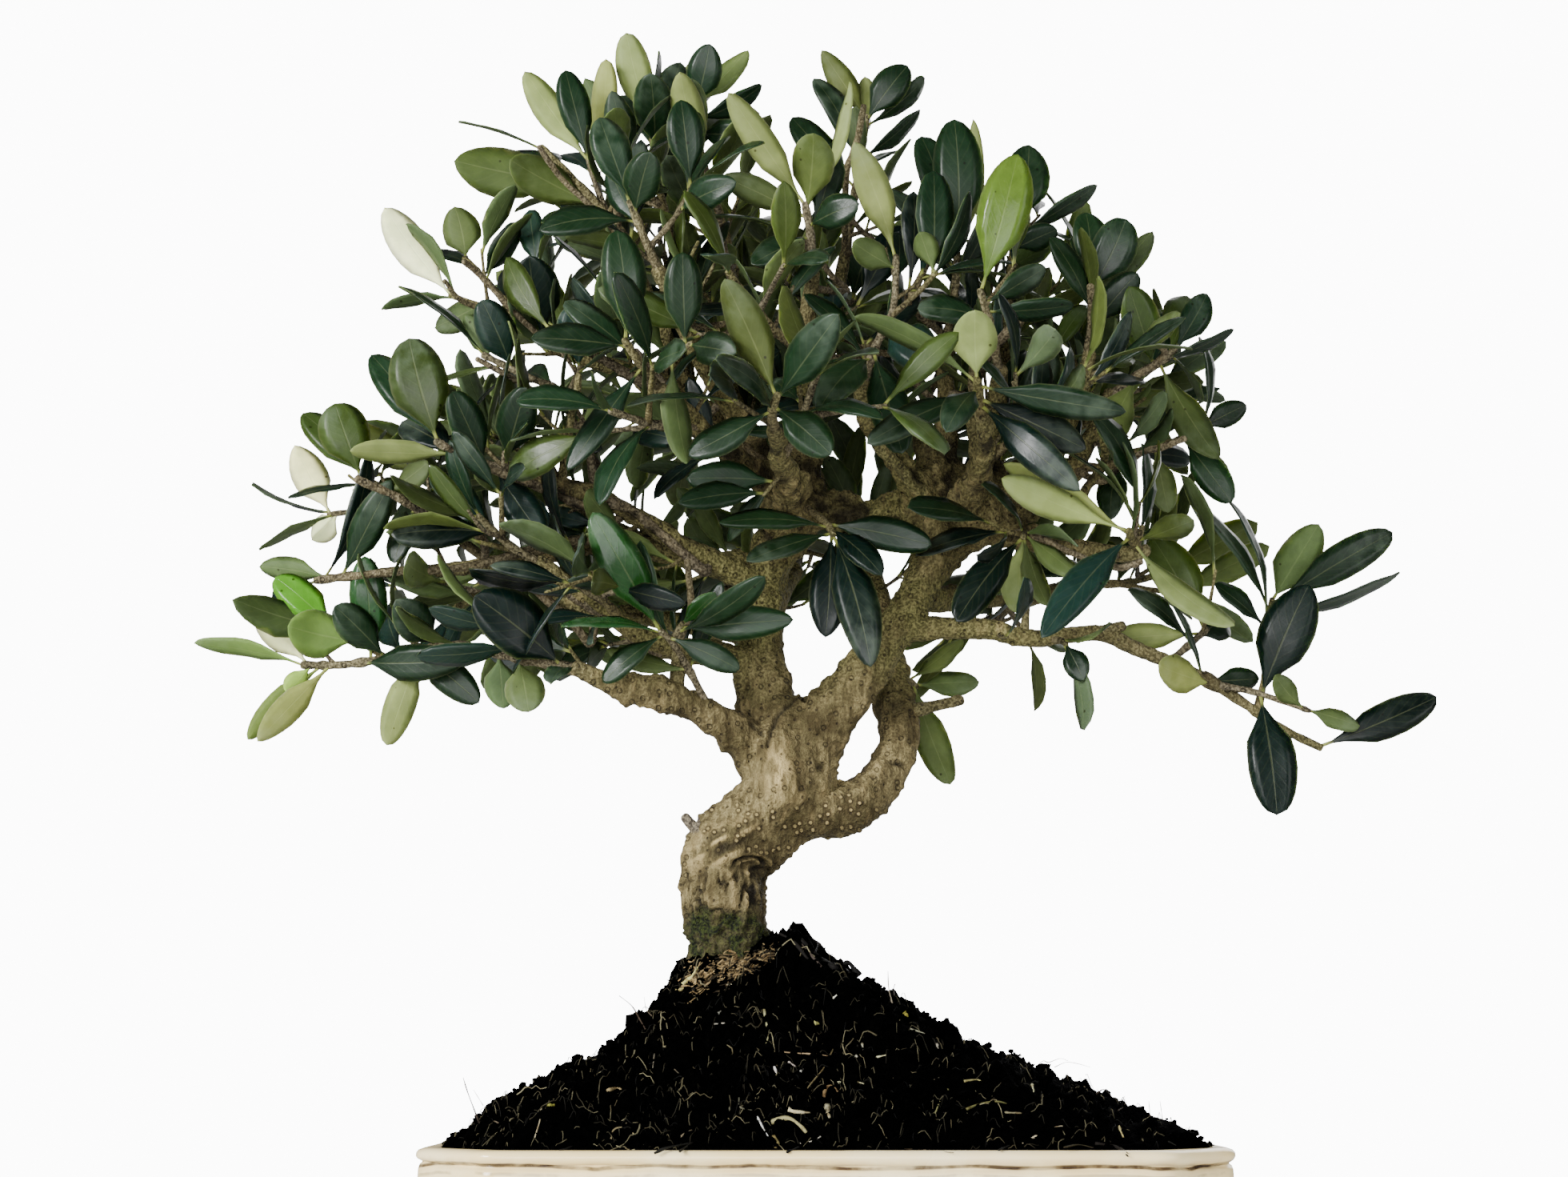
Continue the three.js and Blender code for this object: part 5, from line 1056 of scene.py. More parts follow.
@dataclass(frozen=True)
class BarkFinish:
    """Bark: grey-tan and smooth, rougher low on the trunk and darker there by painted shade, green where it
    is young.
    """

    effects: Effects
    name: str

    def build(self) -> bpy.types.Material:
        """Base colour: pale and dark bark in clouds. The corner marks add painted shade in the hollows,
        and dark nodes on the twigs (red), moss (green), lenticels (blue) and young green wood (alpha);
        the corner highlights and wear add painted highlights on the raised bark (red), grey cut wood
        (green) and brown fibres (blue).

        Returns:
            The material.
        """
        bark = Surface(self.name)
        place, mottle, disc = bark.place, self.effects.mottle, self.effects.dots
        hollow_shade, moss, dotted, young = bark.layer("marks")
        painted_highlight, grey, fibrous, _ = bark.layer("highlight_and_wear")
        faced = bark.add("Mapping", {0: place, "Rotation": (math.pi / 2, 0.0, 0.0)}).outputs[0]
        stretched = bark.add("Mapping", {0: place, "Scale": (1.0, 1.0, 0.32)}).outputs[0]
        broad = bark.use(mottle, place, 60.0, 5.0, 0.38, 0.64)[0]
        grain = bark.use(mottle, stretched, 420.0, 5.0, 0.36, 0.62)
        fine = bark.use(mottle, place, 1100.0, 3.0, 0.35, 0.68)
        pits, bumps = (bark.use(disc, faced, 230.0, size, 0.4)[0] for size in (0.26, 0.17))
        pitted = bark.times(bark.math("SUBTRACT", pits, bumps), bark.ramp(dotted, 0.3, 0.0))
        # rings: round each lenticel a ring of painted shadow
        rings, dots = (bark.use(disc, faced, 255.0, size, 0.85)[0] for size in (0.4, 0.21))
        pale = bark.times(dots, dotted)
        pores = bark.use(self.effects.specks, place, 430.0, 0.25, 0.35)[0]
        colour = bark.mix(broad, linear(84, 76, 47), linear(143, 130, 90))
        colour = bark.mix(bark.ramp(grain[0], 0, 1, (0.6, 0.0)), colour, linear(46, 37, 18))
        colour = bark.mix(bark.ramp(fine[0], 0, 1, (0.45, 0.0)), colour, linear(58, 47, 24))
        colour = bark.lay(
            colour,
            (young, 0.9, bark.mix(fine[0], linear(66, 66, 32), linear(134, 130, 80))),
            # painted highlights on the raised bark
            (painted_highlight, 0.85, linear(198, 176, 122)),
            (pitted, 0.6, linear(40, 29, 13)),
            # painted shadow round the lenticels
            (bark.times(rings, dotted), 0.55, linear(50, 38, 19)),
            (pale, 0.75, linear(172, 154, 104)),
            (pores, 0.7, linear(34, 24, 11)),
            (grey, 1.0, bark.mix(fine[0], linear(60, 54, 44), linear(138, 128, 108))),
            # painted shade in the hollows of the bark; on the twigs this channel holds dark nodes
            (hollow_shade, 1.0, linear(16, 11, 4)),
            (moss, 1.0, bark.mix(fine[0], linear(5, 9, 2), linear(50, 58, 19))),
            (fibrous, 1.0, bark.mix(grain[0], linear(28, 19, 9), linear(118, 92, 58))),
        )
        height = bark.math("ADD", grain[1], bark.times(fine[1], 0.6))
        for mask, rise in ((pale, 0.7), (pitted, -0.6), (pores, -0.4)):
            height = bark.math("ADD", height, bark.times(mask, rise))
        rough = bark.ramp(grain[1], 0.3, 0.7, (0.9, 0.72))
        normal = bark.bump(height, 1.0, 0.0019)
        sockets = {"Base Color": colour, "Roughness": rough, "Normal": normal}
        return bark.join({**sockets, "Specular IOR Level": 0.22})


@dataclass(frozen=True)
class SoilFinish:
    """Damp black potting soil with brown crumbs."""

    effects: Effects

    def build(self) -> bpy.types.Material:
        """Base colour: near black, with brown and rusty crumbs by noise of two sizes.

        Returns:
            The material.
        """
        soil = Surface("potting_soil")
        large = soil.use(self.effects.mottle, soil.place, 220.0, 4.0, 0.5, 0.72)
        small = soil.use(self.effects.mottle, soil.place, 900.0, 4.0, 0.56, 0.72)
        earth = soil.mix(large[0], (5e-5, 6e-5, 7e-5, 1.0), (4e-4, 4e-4, 3.5e-4, 1.0))
        earth = soil.lay(earth, (small[0], 0.25, linear(10, 10, 7)))
        rough = soil.ramp(small[1], 0.3, 0.7, (1.0, 0.9))
        normal = soil.bump(soil.math("ADD", large[1], soil.times(small[1], 0.6)), 1.0, 0.0016)
        sockets = {"Base Color": earth, "Roughness": rough, "Normal": normal}
        return soil.join({**sockets, "Specular IOR Level": 0.01})


@dataclass(frozen=True)
class FibreFinish:
    """Dry roots and chips on the soil, each in its own colour."""

    effects: Effects

    def build(self) -> bpy.types.Material:
        """Base colour: the corner colour, clouded with brown.

        Returns:
            The material.
        """
        fibre = Surface("dry_roots")
        tone = fibre.add("VertexColor", layer_name="tone").outputs[0]
        clouds = fibre.use(self.effects.mottle, fibre.place, 500.0, 3.0, 0.4, 0.7)
        browner = fibre.blend("MULTIPLY", 0.7, tone, linear(150, 122, 84))
        rough = fibre.ramp(clouds[1], 0.3, 0.7, (0.9, 0.65))
        normal = fibre.bump(clouds[1], 0.5, 0.0004)
        sockets = {"Base Color": fibre.mix(clouds[0], tone, browner), "Roughness": rough, "Normal": normal}
        return fibre.join({**sockets, "Specular IOR Level": 0.15})


@dataclass(frozen=True)
class GlazeFinish:
    """Cream glaze, broken to brown where it runs thin along the groove under the rim."""

    effects: Effects
    groove: float = 75.2  # height of the groove, in millimetres

    def build(self) -> bpy.types.Material:
        """Base colour: cream in faint clouds; tan near the groove's height, and a brown wavy
        line in it, shifted up and down by noise, with a fainter one below; small iron specks.

        Returns:
            The material.
        """
        glaze = Surface("cream_glaze")
        place, mottle = glaze.place, self.effects.mottle
        clouds = glaze.use(mottle, place, 26.0, 4.0, 0.35, 0.7)
        wave = glaze.use(mottle, place, 34.0, 3.0)[1]
        broken = glaze.use(mottle, place, 90.0, 5.0, 0.34, 0.6)
        shift = glaze.times(glaze.math("SUBTRACT", wave, 0.5), 0.0045)
        height = glaze.math("ADD", glaze.add("SeparateXYZ", {0: place}).outputs[2], shift)
        level = glaze.math("SUBTRACT", height, self.groove * MM)
        off = glaze.math("ABSOLUTE", level)
        worn = glaze.ramp(broken[1], 0.35, 0.6, (0.55, 1.0))
        line = glaze.times(glaze.ramp(off, 0.00085, 0.0003), worn)
        below = glaze.ramp(glaze.math("ABSOLUTE", glaze.math("ADD", level, 0.0027)), 0.0007, 0.0002)
        faint = glaze.times(below, glaze.ramp(worn, 0.6, 1.0, (0.0, 0.4)))
        tan = glaze.times(glaze.ramp(off, 0.0036, 0.0008), 0.45)
        colour = glaze.lay(
            glaze.mix(clouds[0], linear(252, 226, 162), linear(255, 238, 188)),
            (tan, broken[0], linear(222, 190, 134)),
            (glaze.math("MAXIMUM", line, faint), 1.0, linear(58, 42, 26)),
            (glaze.use(self.effects.specks, place, 120.0, 0.07, 0.3)[0], 0.6, linear(150, 118, 76)),
        )
        rough = glaze.ramp(clouds[1], 0.3, 0.7, (0.16, 0.28))
        normal = glaze.bump(wave, 0.3, 0.001)
        return glaze.join({"Base Color": colour, "Roughness": rough, "Normal": normal})


def floor_finish() -> bpy.types.Material:
    """A plain pale matte floor."""
    return Surface("pale_floor").join({"Base Color": (0.78, 0.78, 0.78, 1.0), "Roughness": 0.9})


# ---- how the shoots grow ---------------------------------------------------------------------


@dataclass
class Twig:
    """A twig, and the places along it, in millimetres, where leaves root."""

    radius: float
    path: SmoothPath
    roots: list[float] = field(default_factory=list)
    by_hand: int = 0

    def root(self, share: float, inset: float = 1.6, apart: float = 1.5) -> np.ndarray:
        """A leaf's root on the twig, kept off its end and off the roots already there.

        Args:
            share: the place wanted along the twig.
            inset: how far it keeps from the twig's end.
            apart: how far roots keep from each other.

        Returns:
            The root's place.
        """
        run = min(share * self.path.length, self.path.length - inset)
        while run > apart and any(abs(root - run) < apart for root in self.roots):
            run -= apart
        self.roots.append(run)
        return self.path.point(run / self.path.length)


@dataclass
class Leaf:
    """A leaf from base to tip, with the direction out of its upper face."""

    base: np.ndarray
    tip: np.ndarray
    facing: np.ndarray
    width: float
    tone: Tone
    fine: bool = False

    def __post_init__(self) -> None:
        """Works out the leaf's own three directions and its length."""
        self.length = float(np.linalg.norm(self.tip - self.base))
        self.along = (self.tip - self.base) / self.length
        self.up = unit(self.facing - self.along * (self.facing @ self.along))
        self.across = np.cross(self.along, self.up)

    def samples(self) -> np.ndarray:
        """Points over the blade: three across it at five places, then the tip.

        Returns:
            The points as rows, in millimetres.
        """
        t = np.array((0.22, 0.38, 0.54, 0.7, 0.86))
        rise = 0.06 * self.length * 4 * t * (1 - t)
        middle = self.base + (self.tip - self.base) * t[:, None] + self.up * rise[:, None]
        half = self.width * 0.42 * np.minimum(1, 4.4 * t * (1 - t))
        reach = half[:, None] * np.array((-1, 0, 1))
        rows = middle[:, None, :] + self.across * reach[..., None]
        return np.vstack((rows.reshape(-1, 3), self.tip))


class Spots:
    """Places that are taken, each with a radius and the number of the shoot that owns it."""

    def __init__(self) -> None:
        """Starts with room for some places and none taken."""
        self.rows = np.zeros((4096, 5))
        self.count = 0
        self.widest = 0.0

    def add(self, places: np.ndarray, radius: np.ndarray | float, owner: int) -> None:
        """Takes more places.

        Args:
            places: rows of x, y and z.
            radius: how far each one reaches.
            owner: the number of the shoot that they belong to.
        """
        after = self.count + len(places)
        while after > len(self.rows):
            self.rows = np.vstack((self.rows, np.zeros_like(self.rows)))
        block = self.rows[self.count : after]
        block[:, :3], block[:, 3], block[:, 4] = places, radius, owner
        self.widest = max(self.widest, float(np.max(radius)))
        self.count = after

    def near(self, samples: np.ndarray, reach: float, owner: int = -1, own: bool = False) -> bool:
        """Whether a sample lies within reach of a place.

        Args:
            samples: the points to test.
            reach: the distance kept free beyond a place's radius.
            owner: a shoot's number, or -1 for none.
            own: whether only that shoot's places count, or only the others'.

        Returns:
            True where something is too near.
        """
        rows = self.rows[: self.count]
        far = reach + self.widest
        inside = np.all((rows[:, :3] > samples.min(0) - far) & (rows[:, :3] < samples.max(0) + far), axis=1)
        rows = rows[inside & ((rows[:, 4] == owner) == own)]
        if not len(rows):
            return False
        gaps = ((samples[:, None, :] - rows[None, :, :3]) ** 2).sum(-1)
        return bool(np.any(gaps < (rows[None, :, 3] + reach) ** 2))


@dataclass(frozen=True)
class Clearance:
    """How far, in millimetres, a leaf keeps from other shoots' leaves, its own shoot's leaves,
    other shoots' twigs and the wood."""

    leaf: float = 3.7
    kin: float = 2.4
    twig: float = 3.0
    wood: float = 1.8


OPEN_KEEP = Clearance()
FILL_KEEP = Clearance(leaf=3.2, kin=2.0, twig=1.8, wood=1.2)  # the filling leaves stand closer
OPEN_SIZE = (27.0, 40.0)  # the shortest and the longest leaf of a pair
FILL_SIZE = (24.0, 38.0)
SHOOT_SEED, FILL_SEED, LIMB_SEED, TONE_SEED, BLADE_SEED = 101, 9001, 777, 4001, 60

@dataclass
class GrownShoot:
    """A shoot as it has grown."""

    name: str
    number: int
    draws: Draws
    twigs: list[Twig]
    rows: tuple
    leaves: list[Leaf] = field(default_factory=list)


def turned(base: np.ndarray, tip: np.ndarray, degrees: float) -> np.ndarray:
    """The upper face's direction of a leaf that is turned about itself from the front.

    Args:
        base: the leaf's root.
        tip: its tip.
        degrees: how far it is turned.

    Returns:
        The direction.
    """
    flat = Leaf(base, tip, np.array((0, -1, 0.12)), 1, Tone.LEAFY)
    angle = math.radians(degrees)
    return flat.up * math.cos(angle) + flat.across * math.sin(angle)


def inside_outline(x: float, z: float) -> bool:
    """Whether a place lies in the crown's outline, by the crossings of a ray to its right.

    Args:
        x: the place across, on the middle plane.
        z: the place up.

    Returns:
        True inside.
    """
    start = CROWN_OUTLINE
    end = np.roll(CROWN_OUTLINE, -1, axis=0)
    spans = (start[:, 1] > z) != (end[:, 1] > z)
    share = (z - start[spans, 1]) / (end[spans, 1] - start[spans, 1])
    cross = start[spans, 0] + share * (end[spans, 0] - start[spans, 0])
    return bool(np.count_nonzero(cross > x) % 2)


@dataclass
class Growth:
    """Grows the shoots on the limbs: first as the solids have them, then the filling leaves."""

    low: np.ndarray
    high: np.ndarray
    apart: float = 21.0  # distance between pairs of leaves
    fill_apart: float = 18.0  # the same for the filling pairs
    sprig_apart: float = 13.0  # distance between the sprigs on a limb
    sprig_limb: float = 4.4  # radius under which a limb bears sprigs
    sprig_height: float = 225.0  # height over which it does
    frontmost: float = -46.0  # how far to the front a filling leaf's tip may reach
    wood: Spots = field(default_factory=Spots)
    twigs: Spots = field(default_factory=Spots)
    leaves: Spots = field(default_factory=Spots)

    def is_clear(self, leaf: Leaf, owner: int, keep: Clearance) -> bool:
        """Whether a leaf keeps its distance from all that stands.

        Args:
            leaf: the leaf.
            owner: its shoot's number.
            keep: the distances.

        Returns:
            True where it may stand.
        """
        samples = leaf.samples()
        return not (
            self.wood.near(samples, keep.wood)
            or self.twigs.near(samples, keep.twig, owner)
            or self.leaves.near(samples, keep.leaf, owner)
            or self.leaves.near(samples[3:], keep.kin, owner, own=True)
        )

    def place(self, leaf: Leaf, shoot: GrownShoot) -> None:
        """Adds a leaf to a shoot and to the places taken."""
        self.leaves.add(leaf.samples(), 0, shoot.number)
        shoot.leaves.append(leaf)

    def take_wood(self) -> None:
        """Takes the limbs' places, one every 3 mm, with the radius there."""
        for points in LIMBS.values():
            path = SmoothPath(points)
            share = np.linspace(0, 1, math.ceil(path.length / 3) + 1)
            self.wood.add(path.at(share), radius_at(points, share), -2)

    def spreading_twigs(self, start: Row, end: Row, draws: Draws) -> list[tuple]:
        """A middle twig that sags by a twentieth of its length, and two side twigs at 52 degrees
        from it, 0.6 times as long, each tilted by its draw.

        Args:
            start: where the middle twig starts.
            end: where it ends.
            draws: the source of the tilts.

        Returns:
            The twigs as (radius, point, point, ...).
        """
        first = np.array(start, dtype=float)
        run = np.array(end, dtype=float) - first
        length = float(np.linalg.norm(run))
        along = run / length
        side = unit(np.cross(along, (0.05, 0.1, 1)))
        over = np.cross(side, along)
        middle = first + run * 0.5 - over * 0.05 * length
        rows = [(1.8, first, middle, np.array(end, dtype=float))]
        stem = SmoothPath(rows[0][1:])
        for share, hand in ((0.32, 1), (0.58, -1)):
            tilt = (draws() - 0.5) * 1.4
            out = side * (hand * math.cos(tilt)) + over * math.sin(tilt)
            way = along * math.cos(math.radians(52)) + out * math.sin(math.radians(52))
            root = stem.point(share)
            rows.append((1.2, root, root + way * 0.6 * length + np.array((0, 0, 0.05 * length))))
        return rows

    def lay_out(self, shoot: Shoot, number: int) -> GrownShoot:
        """Lays out a shoot's twigs and takes their places, one every 4 mm.

        Args:
            shoot: the shoot.
            number: its place in the list, which seeds its draws.

        Returns:
            The shoot with no leaves as yet.
        """
        draws = Draws(SHOOT_SEED + 37 * number)
        rows = shoot.twigs or self.spreading_twigs(shoot.start, shoot.end, draws)
        twigs = [Twig(row[0], SmoothPath(row[1:])) for row in rows]
        for k, twig in enumerate(twigs):
            steps = math.ceil(twig.path.length / 4)
            self.twigs.add(twig.path.at(np.arange(1, steps + 1) / steps), 0, number)
            twig.by_hand = sum(row[0] == k for row in shoot.leaves)
        return GrownShoot(shoot.name, number, draws, twigs, shoot.leaves)

    def leaf_by_hand(self, shoot: GrownShoot, row: tuple) -> None:
        """Sets a leaf from its row; where something is near, its tip leans out of the way.

        Args:
            shoot: the shoot that gets it.
            row: the leaf's row in the shoot's table.
        """
        twig, share, x, y, z, width, turn, *tones = row
        tone = tones[0] if tones else Tone.LEAFY
        base = shoot.twigs[twig].root(share)
        facing = turned(base, np.array((x, y, z), dtype=float), turn)
        for shift in (0, 5, -5, 10, -10, 16):
            leaf = Leaf(base, np.array((x, y, z)) + facing * shift, facing, width, tone, True)
            if self.is_clear(leaf, shoot.number, OPEN_KEEP):
                self.place(leaf, shoot)
                return

    def pair(
        self,
        shoot: GrownShoot,
        twig: Twig,
        share: float,
        turn: float,
        order: int,
        draws: Draws,
        size: Row = OPEN_SIZE,
        keep: Clearance = OPEN_KEEP,
        fill: bool = False,
    ) -> None:
        """Sets a pair of leaves, opposite each other, that spread more towards the twig's root.

        Args:
            shoot: the shoot that gets them.
            twig: the twig that bears them.
            share: the place along the twig.
            turn: the pair's turn about the twig, in degrees.
            order: the pair's count from the twig's end.
            draws: where the leaves' own differences come from.
            size: the shortest and the longest leaf.
            keep: what they keep clear of.
            fill: whether they fill the crown, and so have to lie in its outline.
        """
        along = twig.path.ways(share)[0]
        side = unit(np.cross(along, (0.05, 0.1, 1)))
        over = np.cross(side, along)
        base = twig.root(share)
        for half in (0, 180):
            angle = turn + half + (draws() - 0.5) * 36
            open_by = math.radians(36 + 26 * min(1, order / 2) + (draws() - 0.5) * 22)
            length = size[0] + (size[1] - size[0]) * draws()
            width = length * (0.34 + 0.1 * draws())
            lean = np.array((draws() - 0.5, draws() - 0.5, draws() - 0.5))
            for dodge in (0, 24, -24, 48, -48, 72, -72):
                a = math.radians(angle + dodge)
                out = side * math.cos(a) + over * math.sin(a)
                tip = base + (along * math.cos(open_by) + out * math.sin(open_by)) * length
                facing = unit(tip - CROWN_CENTRE) + np.array((0, 0, 0.35)) + lean
                leaf = Leaf(base, tip, facing, width, Tone.LEAFY)
                if fill and not self.fits(leaf):
                    continue
                if self.is_clear(leaf, shoot.number, keep):
                    self.place(leaf, shoot)
                    break

    def fits(self, leaf: Leaf) -> bool:
        """Whether a filling leaf stays within the solids' box and the crown's outline, and off
        the limbs that show at the front.

        Args:
            leaf: the leaf.

        Returns:
            True where it does.
        """
        reach = leaf.samples()
        if np.any(reach < self.low + 2) or np.any(reach > self.high - 2) or leaf.tip[1] < self.frontmost:
            return False
        seen = EYE + (leaf.tip - EYE) * (EYE[1] / (EYE[1] - leaf.tip[1]))
        return inside_outline(float(seen[0]), float(seen[2]))

    def by_rule(self, shoot: GrownShoot, twig: Twig) -> None:
        """Sets pairs along a twig, each at right angles to the one before.

        Args:
            shoot: the shoot that gets them.
            twig: its twig; one with three or more listed leaves gets none.
        """
        length = twig.path.length
        pairs = max(1, math.floor((length - 6) / self.apart + 0.5)) if twig.by_hand < 3 else 0
        start = shoot.draws() * 90
        for order in range(pairs):
            share = 1 - order * self.apart / length
            self.pair(shoot, twig, share, start + order * 90, order, shoot.draws)

    def grow(self) -> list[GrownShoot]:
        """Grows every shoot as its solid has it: first all listed leaves, then all by rule.

        Returns:
            The shoots with their twigs and leaves, in the order of SHOOTS.
        """
        self.take_wood()
        shoots = [self.lay_out(shoot, number) for number, shoot in enumerate(SHOOTS)]
        for shoot in shoots:
            for row in shoot.rows:
                self.leaf_by_hand(shoot, row)
        for shoot in shoots:
            for twig in shoot.twigs:
                self.by_rule(shoot, twig)
        return shoots

    def sprig(self, shoot: GrownShoot, root: np.ndarray, way: np.ndarray, draws: Draws) -> bool:
        """Grows a short side twig with two pairs of leaves, where it has room.

        Args:
            shoot: the shoot that gets it.
            root: where it starts.
            way: the direction that it starts in.
            draws: the source of its own differences.

        Returns:
            Whether it grew.
        """
        length = draws.between(13, 24)
        bend = unit(way + np.array((0, 0, 0.5)) * draws())
        end = root + way * length * 0.5 + bend * length * 0.5
        twig = Twig(draws.between(0.75, 0.95), SmoothPath((root, root + way * length * 0.5, end)))
        spots = twig.path.at(np.linspace(0.3, 1, 5))
        blocked = self.leaves.near(spots, 2.0) or self.twigs.near(spots[2:], 3.0)
        if blocked or self.wood.near(spots[2:], 2.0):
            return False
        before = len(shoot.leaves)
        turn = draws() * 180
        for order, share in enumerate((1.0, 0.45)):
            self.pair(shoot, twig, share, turn + order * 90, order, draws, FILL_SIZE, FILL_KEEP, True)
        if len(shoot.leaves) == before:
            return False
        self.twigs.add(spots, 0, shoot.number)
        shoot.twigs.append(twig)
        return True

    def outward(self, at: np.ndarray, along: np.ndarray, draws: Draws) -> np.ndarray:
        """A direction for a side twig: partly along its stem, partly off it, and away from the
        crown's middle.

        Args:
            at: where the side twig starts.
            along: its stem's direction there.
            draws: the source of its own differences.

        Returns:
            The direction.
        """
        loose = np.array((draws() - 0.5, draws() - 0.5, draws() - 0.35)) * 1.9
        away = unit(at - CROWN_CENTRE)
        off = loose + away * 0.8
        off -= along * (off @ along)
        return unit(along * draws.between(0.3, 0.9) + unit(off))

    def fill(self, shoots: list[GrownShoot]) -> GrownShoot:
        """Fills the crown: pairs between the pairs, sprigs along twigs, and sprigs on thin limbs.

        Args:
            shoots: the grown shoots, which get the leaves on their own twigs.

        Returns:
            One more shoot, with the sprigs that grow straight from the limbs.
        """
        for shoot in shoots:
            draws = Draws(FILL_SEED + 53 * shoot.number)
            for twig in list(shoot.twigs):
                length = twig.path.length
                for order in range(int(length // self.fill_apart)):
                    share = 1 - (order + 0.5) * self.fill_apart / length
                    turn = draws() * 180
                    self.pair(shoot, twig, share, turn, order, draws, FILL_SIZE, FILL_KEEP, True)
                for order in range(max(1, int(length // 20))):
                    share = draws.between(0.12, 0.98)
                    at, way = twig.path.point(share), twig.path.ways(share)[0]
                    self.sprig(shoot, at, self.outward(at, way, draws), draws)
        inner = GrownShoot("inner", len(shoots), Draws(LIMB_SEED), [], ())
        for points in LIMBS.values():
            path = SmoothPath(points)
            for run in np.arange(14, path.length, self.sprig_apart):
                share = run / path.length
                at = path.point(share)
                if radius_at(points, share) < self.sprig_limb and at[2] > self.sprig_height:
                    way = self.outward(at, path.ways(share)[0], inner.draws)
                    self.sprig(inner, at, way, inner.draws)
        return inner


# ---- foliage ---------------------------------------------------------------------------------


